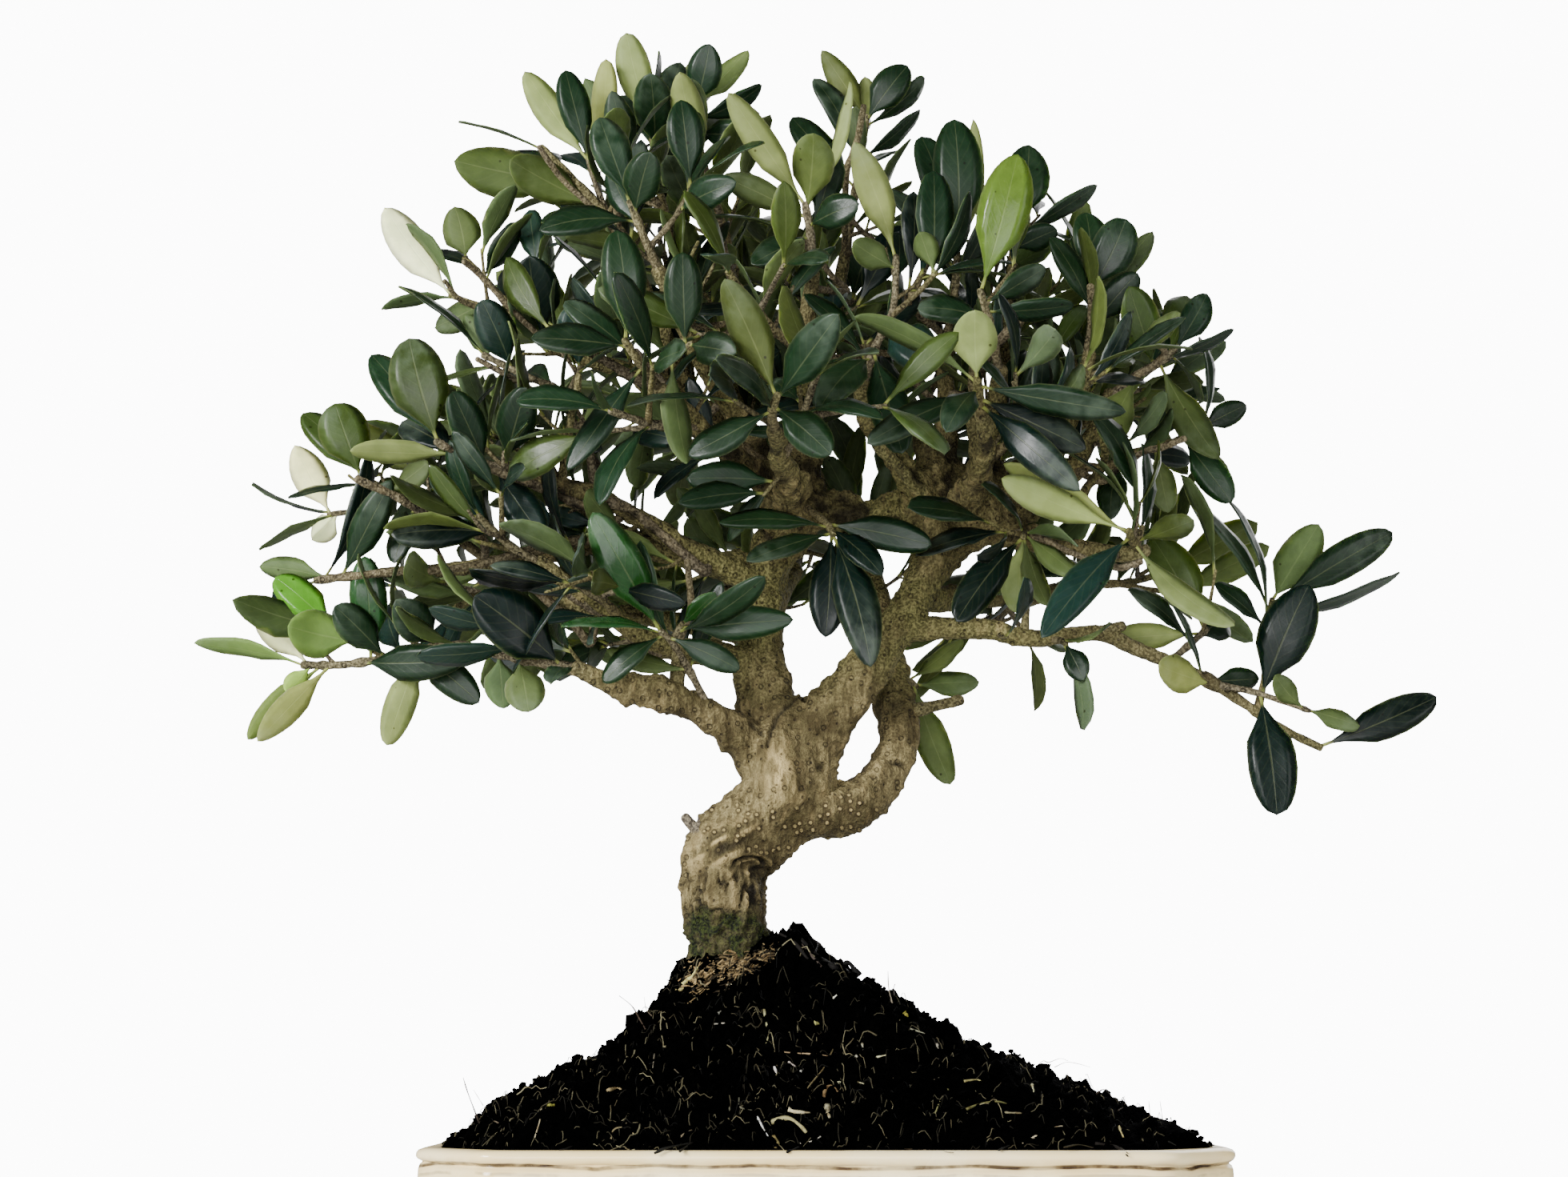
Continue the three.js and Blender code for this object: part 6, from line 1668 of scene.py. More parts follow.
@dataclass
class Foliage:
    """All twigs and leaves, kept in the box from low to high."""

    effects: Effects
    low: np.ndarray
    high: np.ndarray
    fold: float = 0.1  # rise of a blade's edges over its half width
    arch: float = 0.06  # rise of a blade's middle over its length
    thick: float = 0.5
    twig_sides: int = 7
    twig_young: Row = (0.15, 0.9)  # how green a twig is at its start and at its end
    # How far out, with a draw added, the crown's leaves take each tone.
    tones: tuple = ((0.28, Tone.DEEP), (0.72, Tone.LEAFY), (0.86, Tone.BLUE), (9.0, Tone.OLIVE))
    fine_places: Row = (0, 0.05, 0.11, 0.19, 0.29, 0.41, 0.53, 0.65, 0.76, 0.85, 0.92, 0.97, 1)
    plain_places: Row = (0, 0.08, 0.2, 0.36, 0.54, 0.71, 0.85, 0.945, 1)

    def blades(self, leaves: list[Leaf], fine: bool, seed: int) -> Skin:
        """Closed blades, eight points around and one ring at each place along them.

        The half width at place t is the leaf's half width times sin(pi s^a) to the power q, with
        s = (t - 0.07) / 0.93, narrowed below s = 0.36 and never less than the stalk. The middle
        rises as 4 t (1 - t), bows to one side in the same way, and the blade twists about it.
        Across, the edges rise by the fold and roll back as the fourth power.

        Args:
            leaves: the leaves.
            fine: whether they get the closer places.
            seed: picks each leaf's small differences.

        Returns:
            The blades with UV map blade and colours tone and face.
        """
        t = np.array(self.fine_places if fine else self.plain_places, dtype=float)
        count, rings = len(leaves), len(t)
        rng = np.random.default_rng(seed)
        base = np.array([leaf.base for leaf in leaves])
        tip = np.array([leaf.tip for leaf in leaves])
        length = np.array([leaf.length for leaf in leaves])[:, None]
        width = np.array([leaf.width for leaf in leaves])[:, None]
        width = width * (1 if fine else rng.uniform(0.68, 1.0, (count, 1)))
        power = rng.uniform(0.42, 0.62, (count, 1))
        skew = rng.uniform(1.02, 1.42, (count, 1))
        s = np.clip((t - 0.07) / 0.93, 0, 1)[None, :]
        shape = np.sin(np.pi * s**skew).clip(0) ** power * np.minimum(1, s / 0.36) ** 0.75
        stalk = 0.5 * (1 - step(0.05, 0.3, t)) + 0.12
        half = np.maximum(width / 2 * shape, stalk[None, :])
        hump = (4 * t * (1 - t))[None, :]
        rise = (self.arch + rng.uniform(-0.025, 0.045, (count, 1))) * length * hump
        bow = rng.uniform(-0.03, 0.03, (count, 1)) * length * hump
        twist = np.radians(rng.uniform(-15, 15, (count, 1))) * (t[None, :] - 0.4)
        up = np.array([leaf.up for leaf in leaves])[:, None, :]
        across = np.array([leaf.across for leaf in leaves])[:, None, :]
        middle = base[:, None, :] + (tip - base)[:, None, :] * t[None, :, None]
        middle = middle + up * rise[..., None] + across * bow[..., None]
        turn_up = up * np.cos(twist)[..., None] + across * np.sin(twist)[..., None]
        turn_across = across * np.cos(twist)[..., None] - up * np.sin(twist)[..., None]
        u = np.array((1, 0.5, 0, -0.5, -1, -0.5, 0, 0.5))
        under = np.array((0, 1, 1, 1, 0, 0, 0, 0))
        edge = np.abs(u)
        fold = self.fold + rng.uniform(-0.04, 0.1, (count, 1, 1))
        roll = rng.uniform(0.0, 0.14, (count, 1, 1))
        wave = 0.35 * np.sin(2 * np.pi * (2.1 * t[None, :] + rng.uniform(0, 1, (count, 1))))
        wide = half[..., None]
        height = wide * (fold * edge - roll * edge**4) + wave[..., None] * edge * np.minimum(1, wide / 4)
        height = height - 0.18 * (edge == 0) * np.minimum(1, wide / 3)
        height = height - under * (self.thick * (1 - 0.35 * edge) + 0.3 * (edge == 0))
        height = height - 0.2 * (edge == 1)
        points = middle[:, :, None, :] + turn_across[:, :, None, :] * (wide * u)[..., None]
        points = points + turn_up[:, :, None, :] * height[..., None]
        return self.faces(np.clip(points, self.low, self.high), t, u, leaves, rng)

    def faces(
        self, points: np.ndarray, t: np.ndarray, u: np.ndarray, leaves: list[Leaf], rng: np.random.Generator
    ) -> Skin:
        """Joins the rings of each leaf by quads, closes both ends and colours both sides.

        Args:
            points: leaves by rings by points around by x, y, z.
            t: each ring's place along the leaf.
            u: each point's place across it, -1 to 1; the first four are the underside.
            leaves: the leaves, for their tones.
            rng: the source of each leaf's tint.

        Returns:
            The leaves with UV map blade and colours tone and face: underside (red), fresh
            (green) and chance (blue).
        """
        count, rings, sides = points.shape[:3]
        one, sizes = tube_faces(rings, sides)
        corners = (np.arange(count)[:, None] * rings * sides + one[None, :]).ravel()
        place = np.stack(np.meshgrid(t, (1 + u) / 2, indexing="ij")[::-1], -1).reshape(-1, 2)
        below = np.broadcast_to((np.arange(sides) < 4)[None, :, None], (rings - 1, sides, 4)).ravel()
        below = np.concatenate((below, np.ones(sides * 2, dtype=bool)))
        jitter = rng.normal(1, 0.2, (count, 1)).clip(0.55, 1.6)
        warm = rng.normal(0.04, 0.07, (count, 1)) * np.array((1.0, 0.25, -0.8))
        tints = (jitter * (1 + warm))[:, None, :]
        shades = np.array([[linear(*colour)[:3] for colour in leaf.tone.value] for leaf in leaves])
        shades = np.clip(shades * tints, 0, 1)
        tone = np.where(below[None, :, None], shades[:, 1:2, :], shades[:, 0:1, :])
        tone = np.concatenate((tone, np.ones((*tone.shape[:2], 1))), -1).reshape(-1, 4)
        shiny = (Tone.FRESH, Tone.BRIGHT, Tone.LIGHT)
        fresh = np.array([leaf.tone in shiny for leaf in leaves], dtype=float)
        face = np.ones((count, len(one), 4))
        face[..., 0] = below[None, :]
        face[..., 1] = fresh[:, None]
        face[..., 2] = rng.uniform(0, 1, (count, 1))
        values = {"blade": np.tile(place[one], (count, 1)), "tone": tone, "face": face.reshape(-1, 4)}
        return Skin(points.reshape(-1, 3), corners, np.tile(sizes, count), values)

    def twig(self, twig: Twig) -> Skin:
        """A twig: round, thinner by two fifths at its end, swollen where leaves root.

        Args:
            twig: the twig.

        Returns:
            The closed tube with colour marks.
        """
        length, young = twig.path.length, self.twig_young
        share = np.linspace(0, 1, max(4, math.ceil(length / 2.6)))
        share = np.append(share[:-1], (1 - 0.4 / length, 1))
        centre, across, other = twig.path.frames(share)
        ring = circles(across, other, self.twig_sides)
        run = share * length
        radius = twig.radius * (1 - 0.4 * share)
        for root in twig.roots:
            radius = radius * (1 + 0.22 * bell(run - root, 1.4))
        radius = radius * (1 + 0.16 * np.exp(-run / 2.5)) * (1 + 0.1 * np.sin(run * 1.7 + length))
        radius[-1] *= 0.55
        points = np.clip(centre[:, None, :] + radius[:, None, None] * ring, self.low, self.high)
        marks = np.zeros((len(share), self.twig_sides, 4))
        marks[..., 0] = 0.35 * (np.cos(run * 2.3 + length) > 0.8)[:, None]
        marks[..., 3] = (young[0] + (young[1] - young[0]) * share)[:, None]
        highlight_and_wear = np.zeros_like(marks)
        highlight_and_wear[..., 1] = 0.35 + 0.3 * math.sin(length * 7.0)
        return tube(points, {"marks": marks, "highlight_and_wear": highlight_and_wear})

    def colour_leaves(self, shoot: GrownShoot) -> None:
        """Picks a tone for each leaf that was not listed one by one: deeper near the crown's middle,
        bluish or olive far out.

        Args:
            shoot: the shoot with its leaves.
        """
        draws = Draws(TONE_SEED + 19 * shoot.number)
        for leaf in shoot.leaves:
            if not leaf.fine:
                out = float(np.linalg.norm((leaf.tip - CROWN_CENTRE) / CROWN_HALF))
                pick = draws() + (out - 0.7) * 0.5
                leaf.tone = next(tone for limit, tone in self.tones if pick < limit)

    def build(self) -> None:
        """Grows the crown and puts its pieces in: the twigs, and the leaves of each shoot."""
        growth = Growth(self.low, self.high)
        shoots = growth.grow()
        LOG.info("leaves on the solids: %d", sum(len(shoot.leaves) for shoot in shoots))
        inner = growth.fill(shoots)
        LOG.info("leaves in all: %d", sum(len(shoot.leaves) for shoot in (*shoots, inner)))
        finish = LeafFinish(self.effects).build()
        for shoot in (*shoots, inner):
            self.colour_leaves(shoot)
            parts = {fine: [leaf for leaf in shoot.leaves if leaf.fine == fine] for fine in (True, False)}
            seed = BLADE_SEED + shoot.number
            skins = [self.blades(part, fine, seed) for fine, part in parts.items() if part]
            node = [] if shoot is inner else [f"shoot_{shoot.name}"]
            belongs(put(f"leaves_{shoot.name}", Skin.join(skins), finish), "leaf", *node)
        twigs = [self.twig(twig) for shoot in (*shoots, inner) for twig in shoot.twigs]
        belongs(put("twigs", Skin.join(twigs), BarkFinish(self.effects, "twig_bark").build()), "wood")


# ---- wood ------------------------------------------------------------------------------------


def seen_place(points: np.ndarray) -> tuple[np.ndarray, np.ndarray]:
    """Where points show on the middle plane from the front: x and z."""
    scale = EYE[1] / (EYE[1] - points[:, 1])
    return EYE[0] + (points[:, 0] - EYE[0]) * scale, EYE[2] + (points[:, 2] - EYE[2]) * scale


def line_distance(x: np.ndarray, z: np.ndarray, line: Sequence[Row]) -> np.ndarray:
    """The distance of each place to the nearest point of a line of straight pieces.

    Args:
        x: the places across.
        z: the places up.
        line: the line's points as (x, z).

    Returns:
        One distance for each place.
    """
    least = np.full(len(x), 1e9)
    for (x0, z0), (x1, z1) in itertools.pairwise(line):
        run = (x1 - x0) ** 2 + (z1 - z0) ** 2
        share = np.clip(((x - x0) * (x1 - x0) + (z - z0) * (z1 - z0)) / run, 0, 1)
        gap = np.hypot(x - x0 - share * (x1 - x0), z - z0 - share * (z1 - z0))
        least = np.minimum(least, gap)
    return least


class BarkField:
    """How far the bark stands out at each place on the wood, and how much painted shade and painted
    highlight its colour takes there.
    """

    def __init__(self, points: np.ndarray, normals: np.ndarray) -> None:
        """Finds where the places show from the front, and which of them face it.

        Args:
            points: places on the wood, in millimetres.
            normals: the directions out of it.
        """
        self.points = points
        self.high = points[:, 2]
        self.x, self.z = seen_place(points)
        self.front = step(0.05, 0.45, -normals[:, 1])
        self.height = self.hollow_shade = self.painted_highlight = self.plates = np.zeros(len(points))

    def noise(self, cell: float, seed: int, by: float = 1.0) -> np.ndarray:
        """Noise at the places, stretched upright where by is under 1."""
        return value_noise(upright(self.points, by), cell, seed)

    def layers(self, cell: float, seed: int, by: float = 1.0) -> np.ndarray:
        """Noise in layers at the places, stretched upright where by is under 1."""
        return fractal(upright(self.points, by), cell, seed)

    def paint_shade(self, depth: np.ndarray) -> None:
        """Paints at least so much shade into the bark's colour."""
        self.hollow_shade = np.maximum(self.hollow_shade, depth)

    def paint_highlight(self, share: np.ndarray) -> None:
        """Paints at least so much highlight into the bark's colour."""
        self.painted_highlight = np.maximum(self.painted_highlight, share)


@dataclass
class Wood:
    """The trunk, its loop and burls in one grown body, and the thinner limbs as tubes."""

    effects: Effects
    thick: float = 4.2  # a limb's spans over this radius grow into the trunk
    seam: float = 229.0  # height where the finely grown trunk meets the coarser limbs
    scar: Row = (-25.0, 172.9)
    slit: Row = (-21.8, 171.2)
    knot: Row = (-0.7, 206.3, 2.7)
    loop_knot: Row = (25.9, 228.0, 4.0)
    crotch: Row = (-5.7, 230.4, 2.4)
    clefts: tuple = (
        ((-9.2, 230.4), (-16.2, 224.1), (-19.3, 213.9)),
        ((-25.6, 224.9), (-20.9, 217.8)),
        ((23.5, 209.5), (25.7, 207.6), (28.6, 207.0)),
    )
    cavity: Row = (8.2, 303.9, 8.0)
    dotted: tuple = ((-34, 186), (-12, 184), (12, 190))  # the line that the lenticels follow
    sheen: Row = (-15.2, 205)  # the painted highlight above the scar
    ridges: Row = (-35.0, 179.0)  # the middle of the ridges left of the scar
    lean: float = 30.0  # the ridges' slant, in degrees
    plated: Row = (160, 178)  # heights between which the bark's plates fade out
    burled: Row = (276, 292, 316, 332)  # heights where the burls begin, are full, fade and end
    splintered: Row = (153, 160, 169, 172)  # the same for the splinters below the scar
    mossy: Row = (151, 160)  # heights between which the moss thins out
    fibrous: Row = (138.5, 141.5)  # the same for the brown fibres at the foot
    young: Row = (222, 250)  # heights between which the bark turns young
    greyed: Row = (-42, 182.5, 184.5, 196)  # left of this x, the heights where the bark is grey
    knobs: tuple = (
        (-67.5, 229.8, 3.0, 2.4), (-72.5, 232.0, 2.2, 1.6), (-55.0, 228.2, 2.6, 2.2),
        (-51.2, 226.5, 1.6, 1.4), (-33.8, 213.6, 1.7, 2.0), (-28.8, 227.4, 2.0, 1.5),
        (-3.4, 232.2, 2.2, 2.0),
    )
    trunk_sides: int = 40
    limb_sides: int = 14
    spray_sides: int = 10

    def plates_and_grain(self, bark: BarkField) -> None:
        """The bark all over: broad lumps and a finer grain, stretched upright; below the scar it
        is cracked into plates by the absolute value of noise, and at the burls it is gnarled.
        Painted shade darkens the cracks and the gnarls' hollows; painted highlights lighten the
        plates and the raised grain.

        Args:
            bark: where it is worked out.
        """
        low = 1 - step(*self.plated, bark.high + 6 * bark.noise(9, 31))
        cracks = np.abs(bark.layers(3.4, 37, 0.4))
        begin, full, fade, end = self.burled
        burls = step(begin, full, bark.high) * (1 - step(fade, end, bark.high))
        lumps, grain = bark.layers(15, 11) * 0.9, bark.layers(3.2, 23, 0.34) * 0.5
        gnarls, threads = bark.layers(6.5, 43) * burls, bark.noise(2.0, 47, 0.3) * burls
        bark.plates = (step(0.0, 0.3, cracks) - 0.5) * 2.2 * low
        pimples = np.maximum(0, bark.noise(2.2, 29) - 0.15) * 1.25
        bark.height = lumps + grain + pimples + bark.plates + gnarls * 2.2 + threads * 0.8
        # painted shade in the cracks, and below the scar painted shade all over, stronger right of the
        # trunk's lit left edge
        bark.hollow_shade = np.maximum(1 - step(0.04, 0.3, cracks), 0.16 + 0.36 * step(-38, -24, bark.x)) * low
        bark.paint_shade(step(0.05, 0.6, -gnarls) * 0.85)
        bark.paint_shade(step(0.2, 0.7, -threads) * 0.5)
        # painted highlights on the plates' tops and on the raised grain
        bark.painted_highlight = step(0.3, 0.75, cracks) * low * step(-0.2, 0.5, bark.noise(6, 41)) * 0.6
        bark.paint_highlight(step(0.25, 0.8, grain + 0.3 * lumps) * 0.45)

    def branch_scar(self, bark: BarkField) -> None:
        """The scar of a cut branch at the front: an ellipse of cosine rings over a slit darkened by
        painted shade, splinters below it, and a painted highlight on the trunk above. The rings'
        and the splinters' troughs take painted shade, their crests painted highlights.

        Args:
            bark: where it is worked out.
        """
        x, z = bark.x, bark.z
        eye = np.hypot((x - self.scar[0]) / 1.75, z - self.scar[1]) + 0.45 * bark.noise(2.6, 5)
        brow = bark.front * step(-1.6, 0.6, z - self.scar[1])
        rings = np.cos(eye * 2 * np.pi / 1.9) * bell(eye - 2.7, 2.0) * brow
        bark.height += 1.0 * rings + 1.4 * bell(eye - 4.5, 1.0) * brow
        bark.paint_shade(step(0.1, 0.8, -rings) * 0.9)
        bark.painted_highlight *= 1 - brow * bell(eye, 5.0)
        bark.paint_highlight(step(0.3, 0.9, rings) * 0.4)
        slit = bark.front * np.exp(-(((x - self.slit[0]) / 4.0) ** 2) - ((z - self.slit[1]) / 1.4) ** 2)
        bark.height -= 2.4 * slit
        bark.paint_shade(slit)
        begin, full, fade, end = self.splintered
        streak = bark.front * bell(x - self.slit[0] + 2.0, 9.0) * step(begin, full, z)
        streak = streak * (1 - step(fade, end, z))
        slanted = upright(bark.points, 0.18) + 0.12 * bark.points[:, 2:] * (1, 0, 0)
        fibres = value_noise(slanted, 1.8, 9)
        bark.height += streak * fibres * 1.8
        bark.paint_shade(streak * step(-0.05, 0.3, -fibres))
        bark.painted_highlight *= 1 - 0.7 * streak
        bark.paint_highlight(streak * step(0.15, 0.55, fibres) * 0.9)
        # a painted highlight on the trunk above the scar
        fleck = ((x - self.sheen[0]) / 4.5) ** 2
        sheen = bark.front * np.exp(-fleck - ((z - self.sheen[1]) / 9.0) ** 2)
        bark.paint_highlight(sheen * (0.3 + 0.7 * step(-0.3, 0.3, bark.noise(1.3, 49, 0.35))))

    def leaning_ridges(self, bark: BarkField) -> None:
        """Long ridges left of the scar, which follow the trunk's lean, with painted shade in their troughs
        and painted highlights on their crests.

        Args:
            bark: where they are worked out.
        """
        lean = math.radians(self.lean)
        over, up = bark.x - self.ridges[0], bark.z - self.ridges[1]
        run = over * math.cos(lean) + up * math.sin(lean)
        beside = up * math.cos(lean) - over * math.sin(lean)
        ridged = bark.front * bell(run, 12.0) * bell(beside, 6.0)
        ridges = value_noise(np.column_stack((run / 5, bark.points[:, 1] / 4, beside)), 2.2, 19)
        bark.height += ridged * ridges * 1.1
        bark.paint_shade(ridged * step(0.15, 0.6, -ridges) * 0.7)
        bark.paint_highlight(ridged * step(0.0, 0.5, ridges))

    def knots_and_clefts(self, bark: BarkField) -> None:
        """Knobs, knots and clefts at the front: each a bell of the distance to it; the knots and clefts are
        darkened by painted shade.

        Args:
            bark: where they are worked out.
        """
        rough = 0.7 + 0.6 * bark.noise(2.0, 53)
        for kx, kz, reach, rise in self.knobs:
            bark.height += rise * bell(np.hypot(bark.x - kx, bark.z - kz), reach) * rough
        uneven = 0.25 * bark.noise(1.5, 6)
        knots = ((self.knot, 1.3), (self.loop_knot, 1.0), (self.crotch, 3.0), (self.cavity, 3.0))
        for (kx, kz, reach), depth in knots:
            away = np.hypot(bark.x - kx, bark.z - kz) + uneven
            bark.height += bark.front * (0.75 * bell(away - reach, 0.9) - depth * bell(away, reach * 0.55))
            bark.paint_shade(bark.front * 0.9 * bell(away, reach * 0.5))
        for line in self.clefts:
            away = line_distance(bark.x, bark.z, line)
            bark.height -= bark.front * 1.5 * bell(away, 1.0)
            bark.paint_shade(bark.front * 0.75 * bell(away, 0.8))

    def relief(self, points: np.ndarray, normals: np.ndarray) -> tuple[np.ndarray, ...]:
        """How far the bark stands out at each place, and its marks: the bark all over, the scar,
        the ridges and the knots at the front, then the moss at the foot, which softens them.

        Args:
            points: places on the wood, in millimetres.
            normals: the directions out of it.

        Returns:
            The heights, in millimetres; marks as rows of painted shade in the hollows, moss, dotted
            and young; and highlights and wear as rows of painted highlight, grey, fibrous and 1.
        """
        bark = BarkField(points, normals)
        for build in (self.plates_and_grain, self.branch_scar, self.leaning_ridges, self.knots_and_clefts):
            build(bark)
        x, z, high, front = bark.x, bark.z, bark.high, bark.front
        mossy = (1 - step(*self.mossy, z + 5 * bark.layers(7, 51))) * (0.7 + 0.3 * front)
        bark.height += mossy * (0.4 + 1.1 * bark.noise(1.7, 8) - 0.6 * bark.plates)
        patchy = 0.7 + 0.3 * step(-0.35, 0.1, bark.layers(3.0, 8))
        rooty = 1 - step(*self.fibrous, z - 0.25 * (x + 31) + 2 * bark.noise(3, 33))
        dotted = step(0.35, 0.8, bell(line_distance(x, z, self.dotted), 11)) * front
        upper = step(*self.young, high) * (0.4 + 0.6 * step(-0.5, 0.3, bark.layers(22, 61)))
        side, begin, full, end = self.greyed
        grey = step(begin, full, high) * (points[:, 0] < side) * (high < end)
        hollow_shade = bark.hollow_shade * (1 - 0.5 * mossy)
        painted_highlight = bark.painted_highlight * (1 - 0.8 * mossy)
        marks = np.column_stack((hollow_shade, mossy * patchy, 0.12 + dotted, 0.9 * upper))
        highlight_and_wear = np.column_stack((painted_highlight, grey, rooty * front, np.ones(len(points))))
        return bark.height, np.clip(marks, 0, 1), np.clip(highlight_and_wear, 0, 1)

    def limb(
        self,
        points: Sequence[Row],
        sides: int,
        apart: float,
        low: float = 0,
        high: float = 1e3,
        least: float = 0,
    ) -> Skin | None:
        """A round limb, its radius eased between its points' radii, with a dome at each end.

        Args:
            points: the limb as (x, y, z, radius).
            sides: the points around it.
            apart: the distance between rings.
            low: the height that it starts at, where it comes from below.
            high: the height that it ends at.
            least: the radius that it ends at.

        Returns:
            The closed tube, or None where too little of the limb is left.
        """
        path = SmoothPath(points)
        share = np.linspace(0, 1, max(4, math.ceil(path.length / apart)))
        at = share * (len(points) - 1)
        span = np.minimum(at.astype(int), len(points) - 2)
        blend = at - span
        blend = blend * 0.6 + 0.4 * blend * blend * (3 - 2 * blend)
        radii = np.array([p[3] for p in points])
        radius = radii[span] * (1 - blend) + radii[span + 1] * blend
        level = path.at(share)[:, 2]
        kept = np.flatnonzero((level >= low) & (level <= high) & (radius >= least))
        if len(kept) < 4:
            return None
        share, radius = share[kept[0] : kept[-1] + 1], radius[kept[0] : kept[-1] + 1]
        centre, across, other = path.frames(share)
        dome = np.array((0.35, 0.62, 0.8))
        before = centre[0] - path.ways(share[0])[0] * radius[0] * dome[::-1, None]
        after = centre[-1] + path.ways(share[-1])[0] * radius[-1] * dome[:, None]
        centre = np.vstack((before, centre, after))
        across, other = (np.vstack((v[:1],) * 3 + (v,) + (v[-1:],) * 3) for v in (across, other))
        narrow = np.array((0.92, 0.7, 0.35))
        radius = np.concatenate((radius[0] * narrow[::-1], radius, radius[-1] * narrow))
        ring = circles(across, other, sides)
        a = np.arange(sides) / sides * 2 * np.pi
        level = centre[:, 2:]
        waves = np.sin(3 * a[None, :] + level / 16) + 0.5 * np.sin(5 * a[None, :] - level / 9)
        swell = 1 + np.where(radius > 5, 0.06, 0.02)[:, None] * waves
        return tube(centre[:, None, :] + (radius[:, None] * swell)[..., None] * ring)

    def fuse(self, skins: list[Skin], voxel: float) -> tuple[np.ndarray, np.ndarray]:
        """Joins closed tubes into one body by a voxel remesh, and smooths the joints.

        Args:
            skins: the tubes.
            voxel: the remesh's step, in millimetres.

        Returns:
            The body's points, in millimetres, and its quads.
        """
        rough = put("rough_wood", Skin.join(skins), bpy.data.materials.new("rough"))
        remesh = rough.modifiers.new("join", "REMESH")
        remesh.mode = "VOXEL"
        remesh.voxel_size = voxel * MM
        smooth = rough.modifiers.new("soften", "SMOOTH")
        smooth.factor = 0.5
        smooth.iterations = round(5 / voxel)
        ready = rough.evaluated_get(bpy.context.evaluated_depsgraph_get())
        mesh = bpy.data.meshes.new_from_object(ready)
        places = np.zeros(len(mesh.vertices) * 3, dtype=np.float32)
        mesh.vertices.foreach_get("co", places)
        corners = np.zeros(len(mesh.loops), dtype=np.int32)
        mesh.loops.foreach_get("vertex_index", corners)
        bpy.data.objects.remove(rough)
        return places.reshape(-1, 3).astype(float) / MM, corners.reshape(-1, 4)

    def normals(self, points: np.ndarray, quads: np.ndarray) -> np.ndarray:
        """Each point's direction outwards: the sum of its quads' cross products.

        Args:
            points: the points.
            quads: rows of four points' numbers.

        Returns:
            Rows of length 1.
        """
        first = points[quads[:, 2]] - points[quads[:, 0]]
        second = points[quads[:, 3]] - points[quads[:, 1]]
        total = np.zeros_like(points)
        face = np.cross(first, second)
        for corner in range(4):
            np.add.at(total, quads[:, corner], face)
        return unit(total)

    def grown(self, name: str, low: float, high: float, voxel: float, finish: bpy.types.Material) -> None:
        """The thick wood between two heights as one body with its bark's relief.

        Args:
            name: the piece's name.
            low: the height that it starts at.
            high: the height that it ends at.
            voxel: how finely it is joined, in millimetres.
            finish: its bark.
        """
        sides = self.trunk_sides
        tubes = [self.limb(points, sides, 1.2, low, high, self.thick) for points in LIMBS.values()]
        points, quads = self.fuse([skin for skin in tubes if skin], voxel)
        normals = self.normals(points, quads)
        height, marks, highlight_and_wear = self.relief(points, normals)
        points = points + normals * height[:, None]
        corners = quads.ravel()
        values = {"marks": marks[corners], "highlight_and_wear": highlight_and_wear[corners]}
        skin = Skin(points, corners, np.full(len(quads), 4), values)
        belongs(put(name, skin, finish), "wood", "tree_wood")

    def thin_limb(self, points: Sequence[Row], sides: int, young: float) -> Skin:
        """A limb too thin to grow into the trunk, with less relief where it is thinner.

        Args:
            points: the limb as (x, y, z, radius).
            sides: the points around it.
            young: how green its thin end is.

        Returns:
            The closed tube with its marks.
        """
        skin = self.limb(points, sides, 1.6)
        rings = skin.points.reshape(-1, sides, 3)
        out = unit(rings - rings.mean(1, keepdims=True)).reshape(-1, 3)
        height, marks, highlight_and_wear = self.relief(skin.points, out)
        thin = np.linalg.norm(rings - rings.mean(1, keepdims=True), axis=-1).reshape(-1)
        height = height * np.clip(thin / 6, 0.15, 1)
        marks[:, 3] = np.maximum(marks[:, 3] * young * 1.6, young * (1 - step(2.2, 4.5, thin))).clip(0, 1)
        highlight_and_wear[:, 1] = np.maximum(highlight_and_wear[:, 1], 0.55 * (1 - young) * (1 - step(2.0, 3.4, thin)))
        skin.points = skin.points + out * height[:, None]
        skin.values = {"marks": marks[skin.corners], "highlight_and_wear": highlight_and_wear[skin.corners]}
        return skin

    def build_limbs(self, finish: bpy.types.Material) -> None:
        """The limbs that thin out into the crown, and the bare twigs from the nearest limb.

        Args:
            finish: their bark.
        """
        thin = [points for points in LIMBS.values() if points[-1][3] <= self.thick]
        skins = [self.thin_limb(points, self.limb_sides, 0.55) for points in thin]
        belongs(put("limbs", Skin.join(skins), finish), "wood", "tree_wood")
        share = np.linspace(0, 1, 80)
        heart = np.vstack([SmoothPath(points).at(share) for points in LIMBS.values()])
        bare = []
        for young, *points in SPRAYS:
            gap = np.linalg.norm(heart - np.array(points[0][:3]), axis=1)
            root = (*heart[gap.argmin()], points[0][3] * 1.1)
            bare.append(self.thin_limb((root, *points), self.spray_sides, young))
        belongs(put("bare_twigs", Skin.join(bare), finish), "wood")

    def build(self) -> None:
        """Builds all wood in one bark."""
        finish = BarkFinish(self.effects, "olive_bark").build()
        self.grown("trunk_wood", 0, self.seam + 5, 0.62, finish)
        self.grown("forked_wood", self.seam - 5, 1e3, 0.95, finish)
        self.build_limbs(finish)


# ---- pot -------------------------------------------------------------------------------------


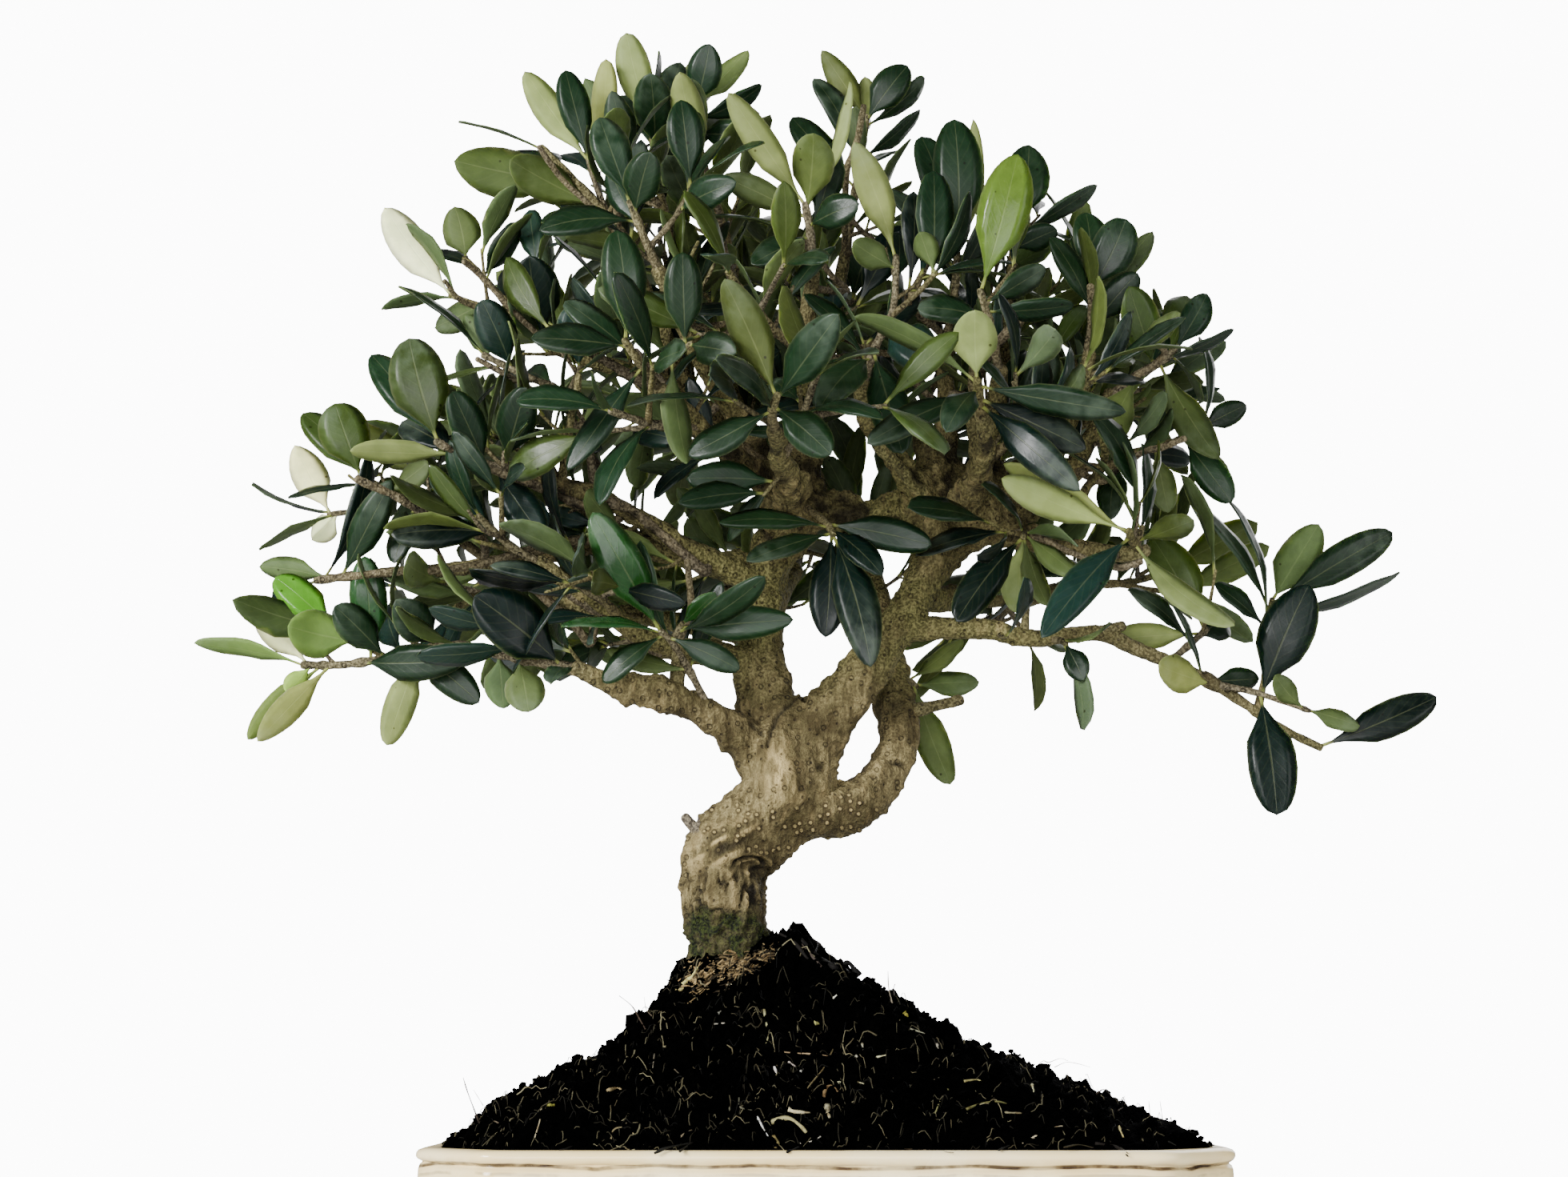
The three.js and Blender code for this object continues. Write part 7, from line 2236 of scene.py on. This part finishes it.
@dataclass
class Tray:
    """The low pot: a rectangle with cut corners, a grooved rim and four feet."""

    effects: Effects
    hole_radius: float = 8.0
    hole_x: float = 62.0
    round_by: float = 5.0  # length of each corner's rounding along its sides
    outside: tuple = (
        (8, 105), (8, 109), (8.6, 111), (11, 113.5), (25, 116), (40, 118.5), (52, 120.3), (62, 121.7),
        (64, 122.1), (64.7, 123.6), (65.4, 125.4), (66.6, 126.4), (68.5, 127), (71, 127.4),
        (73.4, 127.3), (74.4, 126.9), (74.9, 126.2), (75.4, 126.1), (75.8, 126.8), (76.4, 127.5),
        (77.4, 128), (78.6, 127.9), (79.5, 127.2), (80, 125.8),
    )
    inside: tuple = (
        (80, 122.4), (79.6, 121.3), (78.6, 120.6), (60, 117.6), (40, 114.5), (20, 109.5),
        (16, 107), (16, 100),
    )

    def outline(self, half: np.ndarray) -> np.ndarray:
        """The pot's outline at each half width: straight sides, and at each of the eight corners
        a quadratic curve between the points round_by before and after it.

        Args:
            half: the half widths.

        Returns:
            An array of half widths by points around by x, y.
        """
        half_y = half - POT_LESS_DEEP
        cut = POT_CORNER * half / POT_HALF
        rows = (
            (half, -half_y + cut), (half, half_y - cut), (half - cut, half_y), (cut - half, half_y),
            (-half, half_y - cut), (-half, cut - half_y), (cut - half, -half_y), (half - cut, -half_y),
        )
        corners = np.stack([np.stack(row, -1) for row in rows], 1)
        after = np.roll(corners, -1, 1)
        before = np.roll(corners, 1, 1)
        arrive = corners + unit(before - corners) * self.round_by
        leave = corners + unit(after - corners) * self.round_by
        bend = np.linspace(0, 1, 7)[None, None, :, None]
        curve = arrive[:, :, None] * (1 - bend) ** 2 + corners[:, :, None] * 2 * bend * (1 - bend)
        curve = curve + leave[:, :, None] * bend**2
        straight = np.linspace(0, 1, 14)[1:-1][None, None, :, None]
        side = leave[:, :, None] * (1 - straight) + np.roll(arrive, -1, 1)[:, :, None] * straight
        return np.concatenate((curve, side), 2).reshape(len(half), -1, 2)

    def walls(self) -> Skin:
        """The tray: its outline carried up the outside, over the rim and down the inside.

        Returns:
            The skin, closed underneath and in the bottom inside.
        """
        rows = np.array((*self.outside, *self.inside), dtype=float)
        around = self.outline(rows[:, 1])
        level = np.broadcast_to(rows[:, 0][:, None, None], (*around.shape[:2], 1))
        rings = np.concatenate((around, level), -1)
        spots = np.column_stack((around[-1], np.zeros(around.shape[1])))
        wave = 0.9 * value_noise(spots, 19, 3) + 0.3 * value_noise(spots, 5, 4)
        rings[..., 2] += bell(rows[:, 0] - 75.1, 1.5)[:, None] * wave
        return tube(rings)

    def foot(self, side_x: int, side_y: int) -> Skin:
        """A foot: a rounded block, smaller at the ground, as rings of a squared circle.

        Args:
            side_x: 1 for the right, -1 for the left.
            side_y: 1 for the back, -1 for the front.

        Returns:
            The closed foot.
        """
        a = np.linspace(0, 2 * np.pi, 33)[:-1]
        shape = np.stack((np.cos(a), np.sin(a)), -1)
        shape = np.sign(shape) * np.abs(shape) ** 0.35
        levels = np.array(((0, -4.4), (0.4, -3.4), (1.6, -2.6), (7.8, 0), (12, 0)))
        halves = np.array((20.0, 12.0)) + levels[:, 1:]
        rings = np.zeros((len(levels), 32, 3))
        rings[..., :2] = shape[None] * halves[:, None, :] + np.array((side_x * 84, side_y * 56))
        rings[..., 2] = levels[:, :1]
        return tube(rings)

    def drill(self, x: float) -> Skin:
        """The core of a round drain hole.

        Args:
            x: where it stands, on the pot's long middle line.

        Returns:
            The closed core.
        """
        a = np.linspace(0, 2 * np.pi, 49)[:-1]
        ring = np.stack((x + self.hole_radius * np.cos(a), self.hole_radius * np.sin(a)), -1)
        rings = np.stack([np.column_stack((ring, np.full(48, z))) for z in (4.0, 20.0)])
        return tube(rings)

    def build(self) -> None:
        """Builds the pot: the tray and feet joined, less the two drain holes."""
        finish = GlazeFinish(self.effects).build()
        pot = put("glazed_tray", self.walls(), finish)
        feet = [self.foot(side_x, side_y) for side_x in (-1, 1) for side_y in (-1, 1)]
        tools = [put("feet", Skin.join(feet), finish)]
        tools.append(put("holes", Skin.join([self.drill(-self.hole_x), self.drill(self.hole_x)]), finish))
        for tool, how in zip(tools, ("UNION", "DIFFERENCE")):
            cut = pot.modifiers.new(tool.name, "BOOLEAN")
            cut.object = tool
            cut.operation = how
            cut.solver = "EXACT"
        ready = pot.evaluated_get(bpy.context.evaluated_depsgraph_get())
        mesh = bpy.data.meshes.new_from_object(ready)
        pot.modifiers.clear()
        pot.data = mesh
        for tool in tools:
            bpy.data.objects.remove(tool)
        mesh.set_sharp_from_angle(angle=math.radians(50))
        belongs(pot, "pot", "pot")


# ---- soil ------------------------------------------------------------------------------------


def twenty_faces() -> tuple[np.ndarray, np.ndarray]:
    """The regular body of twenty triangles: its points are the corners of three rectangles whose
    sides stand in the golden ratio, and its faces the trios of points next to each other.

    Returns:
        Twelve points at distance 1 from the middle, and the faces, turned outwards.
    """
    golden = (1 + math.sqrt(5)) / 2
    signs = list(itertools.product((-1, 1), repeat=2))
    ball = np.array(
        [(0, s, t * golden) for s, t in signs]
        + [(s, t * golden, 0) for s, t in signs]
        + [(s * golden, 0, t) for s, t in signs]
    )
    gaps = np.linalg.norm(ball[:, None] - ball[None], axis=-1)
    trios = [trio for trio in itertools.combinations(range(12), 3) if gaps[np.ix_(trio, trio)].max() < 2.1]
    outward = [trio if np.linalg.det(ball[list(trio)]) > 0 else trio[::-1] for trio in trios]
    return unit(ball), np.array(outward)


@dataclass
class SoilBed:
    """The mound of soil, its loose crumbs, and the dry roots and chips on it."""

    effects: Effects
    half: float = 120.3  # half width of the soil at the rim
    around: int = 440
    rings: int = 150
    crumbs: int = 4200
    fibres: int = 2500
    large_every: int = 26  # one fibre in so many is a long pale one
    rim_every: int = 22  # one crumb in so many lies on the pot's rim
    mat_strands: int = 420
    foot_radius: float = 14.6  # the trunk's foot, where the litter rests on it
    lip: Row = (-95.6, 79.6)  # behind this y and under this height it rests on the pot's lip
    seed: int = 404

    def wall_distance(self, angle: np.ndarray) -> np.ndarray:
        """The distance from the trunk's foot to the nearest of the eight walls' planes.

        Args:
            angle: the directions, in radians.

        Returns:
            One distance for each.
        """
        half_y = self.half - POT_LESS_DEEP
        cut = POT_CORNER * self.half / POT_HALF
        walls = [(1, 0, self.half), (-1, 0, self.half), (0, 1, half_y), (0, -1, half_y)]
        walls += [(sx, sy, self.half + half_y - cut) for sx in (-1, 1) for sy in (-1, 1)]
        nx, ny, reach = np.array(walls).T[:, :, None]
        run = nx * np.cos(angle) + ny * np.sin(angle)
        with np.errstate(divide="ignore", invalid="ignore"):
            hits = (reach - nx * TRUNK_FOOT[0] - ny * TRUNK_FOOT[1]) / run
        return np.where(run > 1e-9, hits, np.inf).min(0)

    def height(self, x: np.ndarray, y: np.ndarray) -> np.ndarray:
        """The soil's height: the mound's profile by the share of the way to the wall, a crest
        and a shoulder right of the trunk, a dip before it, a steep fall left of it and broad
        lumps, all as the solid has them, then a heap in one corner and finer clods.

        Args:
            x: the places across.
            y: the places in depth.

        Returns:
            One height for each.
        """
        dx, dy = x - TRUNK_FOOT[0], y - TRUNK_FOOT[1]
        share = np.hypot(dx, dy) / self.wall_distance(np.arctan2(dy, dx))
        share = np.clip(share, 0, 1)
        profile = np.array(MOUND)
        mound = sum(np.interp(share + d, profile[:, 0], profile[:, 1]) for d in (-0.02, 0, 0.02)) / 3
        crest = 3.5 * np.exp(-((x + 10) ** 2 + (y - 2) ** 2) / 150)
        shoulder = 2.6 * np.exp(-(((x - 52) / 42) ** 4) - (y / 40) ** 2)
        dip = 7 * np.exp(-(((x + 38) / 15) ** 2) - ((y + 18) / 12) ** 2)
        fall = 9 * np.exp(-(((x + 63) / 20) ** 2) - (y / 40) ** 2)
        lumps = 1.6 * np.sin(0.19 * x + 0.6) * np.cos(0.23 * y) + 1.1 * np.sin(0.41 * x - 0.33 * y)
        flat = np.column_stack((x, y, np.zeros(len(x))))
        clods = 1.9 * fractal(flat, 8, 71) + 2.2 * np.abs(fractal(flat, 3.4, 81)) - 0.8
        clods = clods + 0.9 * value_noise(flat, 1.7, 91) * (1.2 + value_noise(flat, 6, 93))
        ragged = 2.6 * bell(np.hypot(x + 7, y - 1), 13) * value_noise(flat, 4.5, 95)
        heap = 5 * bell(np.hypot(x - 111, y + 72), 10)
        edge = np.minimum(1, (1 - share) * 6)
        rise = mound + crest + shoulder + heap - dip - fall + ragged
        return SOIL_EDGE + rise + lumps * edge + clods * (0.5 + 0.5 * edge)

    def mound(self) -> Skin:
        """The soil's skin: rings round the trunk's foot, from under the wood out to the wall,
        then down inside the pot.

        Returns:
            The skin, closed under the wood and down in the pot.
        """
        angle = np.linspace(0, 2 * np.pi, self.around + 1)[:-1]
        share = np.linspace(0.02, 1, self.rings) ** 0.9
        reach = self.wall_distance(angle)
        x = TRUNK_FOOT[0] + share[:, None] * reach * np.cos(angle)
        y = TRUNK_FOOT[1] + share[:, None] * reach * np.sin(angle)
        z = self.height(x.ravel(), y.ravel()).reshape(x.shape)
        top = np.stack((x, y, z), -1)
        brink = top[-1:] - np.array((0, 0, 0.4))
        deep = top[-1:].copy()
        deep[..., 2] = 62
        return tube(np.concatenate((top, brink, deep))[::-1])

    def crumb_lumps(self) -> Skin:
        """Loose crumbs: rough lumps of twenty faces, sunk a little into the soil, some of them
        on the pot's rim.

        Returns:
            All lumps as one skin.
        """
        rng = np.random.default_rng(self.seed)
        ball, faces = twenty_faces()
        angle = rng.uniform(0, 2 * np.pi, self.crumbs)
        share = np.sqrt(rng.uniform(0.03, 1.02, self.crumbs)).clip(0, 1.0)
        on_rim = share[:: self.rim_every]
        on_rim[:] = rng.uniform(1.0, 1.022, len(on_rim))
        reach = self.wall_distance(angle) * share
        x = TRUNK_FOOT[0] + reach * np.cos(angle)
        y = TRUNK_FOOT[1] + reach * np.sin(angle)
        size = rng.gamma(2.2, 0.36, self.crumbs).clip(0.35, 2.6)
        z = self.height(x, y) + size * 0.3
        middle = np.column_stack((x, y, z))
        stretch = rng.uniform(0.5, 1.5, (self.crumbs, 1, 3))
        rough = rng.uniform(0.6, 1.3, (self.crumbs, 12, 1))
        points = middle[:, None] + ball[None] * stretch * rough * size[:, None, None]
        corners = (np.arange(self.crumbs)[:, None] * len(ball) + faces.ravel()[None]).ravel()
        return Skin(points.reshape(-1, 3), corners, np.full(self.crumbs * len(faces), 3))

    def strand(
        self, points: np.ndarray, thick: float, shade: Sequence[float], rings: int, sides: int = 4
    ) -> Skin:
        """A thin closed tube along points, half as thick at its end.

        Args:
            points: what it runs through.
            thick: its radius at its start.
            shade: its colour, as linear light.
            rings: the rings along it.
            sides: the points around it.

        Returns:
            The tube in its colour.
        """
        t = np.linspace(0, 1, rings)
        centre, across, other = SmoothPath(points).frames(t)
        radius = thick * (1 - 0.5 * t) * (1 + 0.25 * np.sin(9 * t + thick * 50))
        tone = np.ones((rings, sides, 4))
        tone[..., :3] = np.clip(shade[:3], 0, 1)
        ring = circles(across, other, sides)
        return tube(centre[:, None, :] + radius[:, None, None] * ring, {"tone": tone})

    def fibre(self, rng: np.random.Generator, start: np.ndarray, large: bool) -> Skin:
        """A dry root: a thin tube whose heading wanders as the sum of its random turns.

        Args:
            rng: the source of its turns.
            start: where it begins, as x and y.
            large: whether it is one of the longer and paler ones.

        Returns:
            The closed tube in its own colour.
        """
        length = rng.uniform(*((6, 16) if large else (1.2, 6)))
        thick = rng.uniform(*((0.16, 0.3) if large else (0.1, 0.2)))
        count = max(5, int(length / 1.3))
        heading = rng.uniform(0, 2 * np.pi) + np.cumsum(rng.normal(rng.normal(0, 0.15), 0.3, count))
        x = start[0] + np.cumsum(np.cos(heading)) * length / count
        y = start[1] + np.cumsum(np.sin(heading)) * length / count
        lift = rng.uniform(0.0, 1.8) * np.sin(np.pi * np.linspace(0, 1, count)) ** 1.2
        z = self.height(x, y) + thick * 0.6 + lift
        bright = rng.uniform(0.1, 0.9) if large else rng.uniform(0.1, 0.8) ** 3
        shade = np.array(linear(146, 140, 108)) * bright
        return self.strand(np.column_stack((x, y, z)), thick, shade, count)

    def landed(self, places: np.ndarray) -> np.ndarray:
        """Where places seen on the middle plane lie on the soil or on the trunk's foot.

        A ray from the eye through each place is followed until it is under the soil's height,
        inside the foot's cylinder or at the pot's lip. A place with only sky behind it takes the
        depth of the place before it, or the largest where there is none before it.

        Args:
            places: rows of x and z on the middle plane.

        Returns:
            Rows of x, y and z.
        """
        aim = np.column_stack((places[:, 0], np.zeros(len(places)), places[:, 1])) - EYE
        depth = np.linspace(0.893, 1.1, 300)
        rays = EYE + aim[:, None, :] * depth[None, :, None]
        x, y, z = rays.reshape(-1, 3).T
        inside = np.hypot(x - TRUNK_FOOT[0], y - TRUNK_FOOT[1]) < self.foot_radius
        lip = (y > self.lip[0]) & (z < self.lip[1])
        hits = ((z < self.height(x, y)) | inside | lip).reshape(len(places), -1)
        found = hits.any(1)
        reach = np.where(found, depth[hits.argmax(1)], 0)
        for k in range(1, len(reach)):
            reach[k] = reach[k] or reach[k - 1]
        reach = np.where(reach == 0, reach.max() or 1.0, reach)
        return EYE + aim * reach[:, None]

    def litter(self) -> list[Skin]:
        """The chips, roots and hairs that were placed one by one.

        Returns:
            One skin for each of them.
        """
        skins = []
        for thick, colour, *places in LITTER:
            points = self.landed(np.array(places, dtype=float))
            points[:, 2] += thick * 0.3
            skins.append(self.strand(points, thick * 0.8, linear(*colour), max(5, 4 * len(places)), 6))
        return skins

    def root_mat(self, rng: np.random.Generator) -> list[Skin]:
        """The mat of fine brown roots across the front of the trunk's foot: short strands along
        a rising line, each bent a little.

        Args:
            rng: the source of their places and shapes.

        Returns:
            The strands.
        """
        skins = []
        for _ in range(self.mat_strands):
            along, off = rng.uniform(0, 1), rng.normal(0, 1)
            x = -46 + 29 * along + rng.normal(0, 0.6)
            z = 133 + 9.5 * along + off * (2.8 - 1.5 * along)
            slope = 0.4 + rng.normal(0, 0.38)
            length = rng.uniform(1.2, 6.5)
            bend = rng.normal(0, 0.6)
            parts = (-0.5, -0.2, 0.2, 0.5)
            rise = [d * slope * length + bend * (1 - 4 * d * d) for d in parts]
            places = np.array([(x + d * length, z + up) for d, up in zip(parts, rise)])
            shade = np.array(linear(158, 136, 94)) * rng.uniform(0.05, 1.0) ** 2 * (1.5 - 0.9 * along)
            skins.append(self.strand(self.landed(places), rng.uniform(0.18, 0.5), shade, 6))
        return skins

    def build(self) -> None:
        """Builds the mound, its crumbs and its fibres."""
        finish = SoilFinish(self.effects).build()
        belongs(put("soil_mound", self.mound(), finish), "soil", "soil")
        belongs(put("soil_crumbs", self.crumb_lumps(), finish, smooth=False), "soil")
        rng = np.random.default_rng(self.seed + 1)
        fibres = []
        for number in range(self.fibres):
            angle = rng.uniform(0, 2 * np.pi)
            reach = self.wall_distance(np.array([angle]))[0] * math.sqrt(rng.uniform(0.03, 1.0))
            start = np.array(TRUNK_FOOT) + reach * np.array((math.cos(angle), math.sin(angle)))
            fibres.append(self.fibre(rng, start, number % self.large_every == 0))
        root_finish = FibreFinish(self.effects).build()
        belongs(put("dry_roots", Skin.join(fibres), root_finish), "soil")
        belongs(put("soil_litter", Skin.join(self.litter()), root_finish), "soil")
        belongs(put("root_mat", Skin.join(self.root_mat(rng)), root_finish), "soil")


# ---- studio ----------------------------------------------------------------------------------


@dataclass
class Studio:
    """The camera, the pale floor and the soft lights, in metres."""

    focal: float = 59.9
    sensor: float = 36.0
    camera_place: Row = (-0.013, -0.9, 0.109)
    camera_rise: float = 10.1  # degrees that it looks up
    floor_radius: float = 1.4
    soft_light: float = 0.16  # how much the sky lights
    backdrop: float = 12.0  # how bright the sky shows
    # Each light's name, place, the point it is aimed at, its size and its power.
    lights: tuple = (
        ("key_light", (-1.1, -0.9, 0.7), (0, 0, 0.25), 0.5, 40),
        ("front_light", (-0.2, -1.25, 0.2), (0, 0, 0.12), 0.8, 17),
        ("fill_light", (1.2, -0.8, 0.3), (0, 0, 0.25), 1.0, 10),
        ("back_light", (0.5, 1.25, 0.9), (0, 0, 0.3), 1.2, 18),
    )

    def area(self, name: str, place: Row, aim: Row, size: float, power: float) -> None:
        """A square soft light.

        Args:
            name: its name.
            place: where it stands.
            aim: the point that it is aimed at.
            size: its side.
            power: its power, in watts.
        """
        light = bpy.data.lights.new(name, "AREA")
        light.shape = "SQUARE"
        light.size = size
        light.energy = power
        lamp = bpy.data.objects.new(name, light)
        lamp.location = place
        lamp.rotation_euler = (Vector(place) - Vector(aim)).to_track_quat("Z", "Y").to_euler()
        bpy.context.scene.collection.objects.link(lamp)

    def floor(self) -> None:
        """A round pale floor: a thin slab of rings."""
        a = np.linspace(0, 2 * np.pi, 97)[:-1]
        reach = np.array((0.02, 0.3, 0.7, 1, 1, 0.02)) * self.floor_radius / MM
        around = np.stack((np.cos(a), np.sin(a)), -1)[None] * reach[:, None, None]
        level = np.array((0, 0, 0, 0, -8, -8)) + np.zeros((96, 1))
        skin = tube(np.concatenate((around, level.T[..., None]), -1)[::-1])
        put("floor", skin, floor_finish(), smooth=False)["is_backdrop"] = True

    def build(self) -> None:
        """Sets the camera, the lights, the sky and the floor."""
        lens = bpy.data.cameras.new("camera")
        lens.lens = self.focal
        lens.sensor_width = self.sensor
        lens.clip_start = 0.01
        camera = bpy.data.objects.new("camera", lens)
        camera.location = self.camera_place
        camera.rotation_euler = (math.radians(90 + self.camera_rise), 0, 0)
        bpy.context.scene.collection.objects.link(camera)
        bpy.context.scene.camera = camera
        world = bpy.data.worlds.new("studio")
        world.use_nodes = True
        world.node_tree.nodes.clear()
        wiring = Wiring(world.node_tree)
        soft = wiring.add("Background", {"Strength": self.soft_light}).outputs[0]
        plain = wiring.add("Background", {"Color": (1, 1, 1, 1), "Strength": self.backdrop}).outputs[0]
        seen = wiring.add("LightPath").outputs["Is Camera Ray"]
        sky = wiring.add("MixShader", {0: seen, 1: soft, 2: plain})
        wiring.add("OutputWorld", {"Surface": sky.outputs[0]})
        bpy.context.scene.world = world
        for light in self.lights:
            self.area(*light)
        self.floor()


def box_rows() -> list[list[float]]:
    """The whole object's box as plain numbers: its low corner, then its high corner."""
    low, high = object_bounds()
    return [[float(v) for v in low], [float(v) for v in high]]


def main() -> None:
    """Builds every sub-assembly, the foliage within the imported solids' box."""
    logging.basicConfig(level=logging.INFO, format="%(message)s")
    solids = box_rows()
    effects = Effects()
    Tray(effects).build()
    SoilBed(effects).build()
    Wood(effects).build()
    low, high = np.array(solids) / MM
    Foliage(effects, low + 0.02, high - 0.02).build()
    Studio().build()


if __name__ == "__main__":
    main()
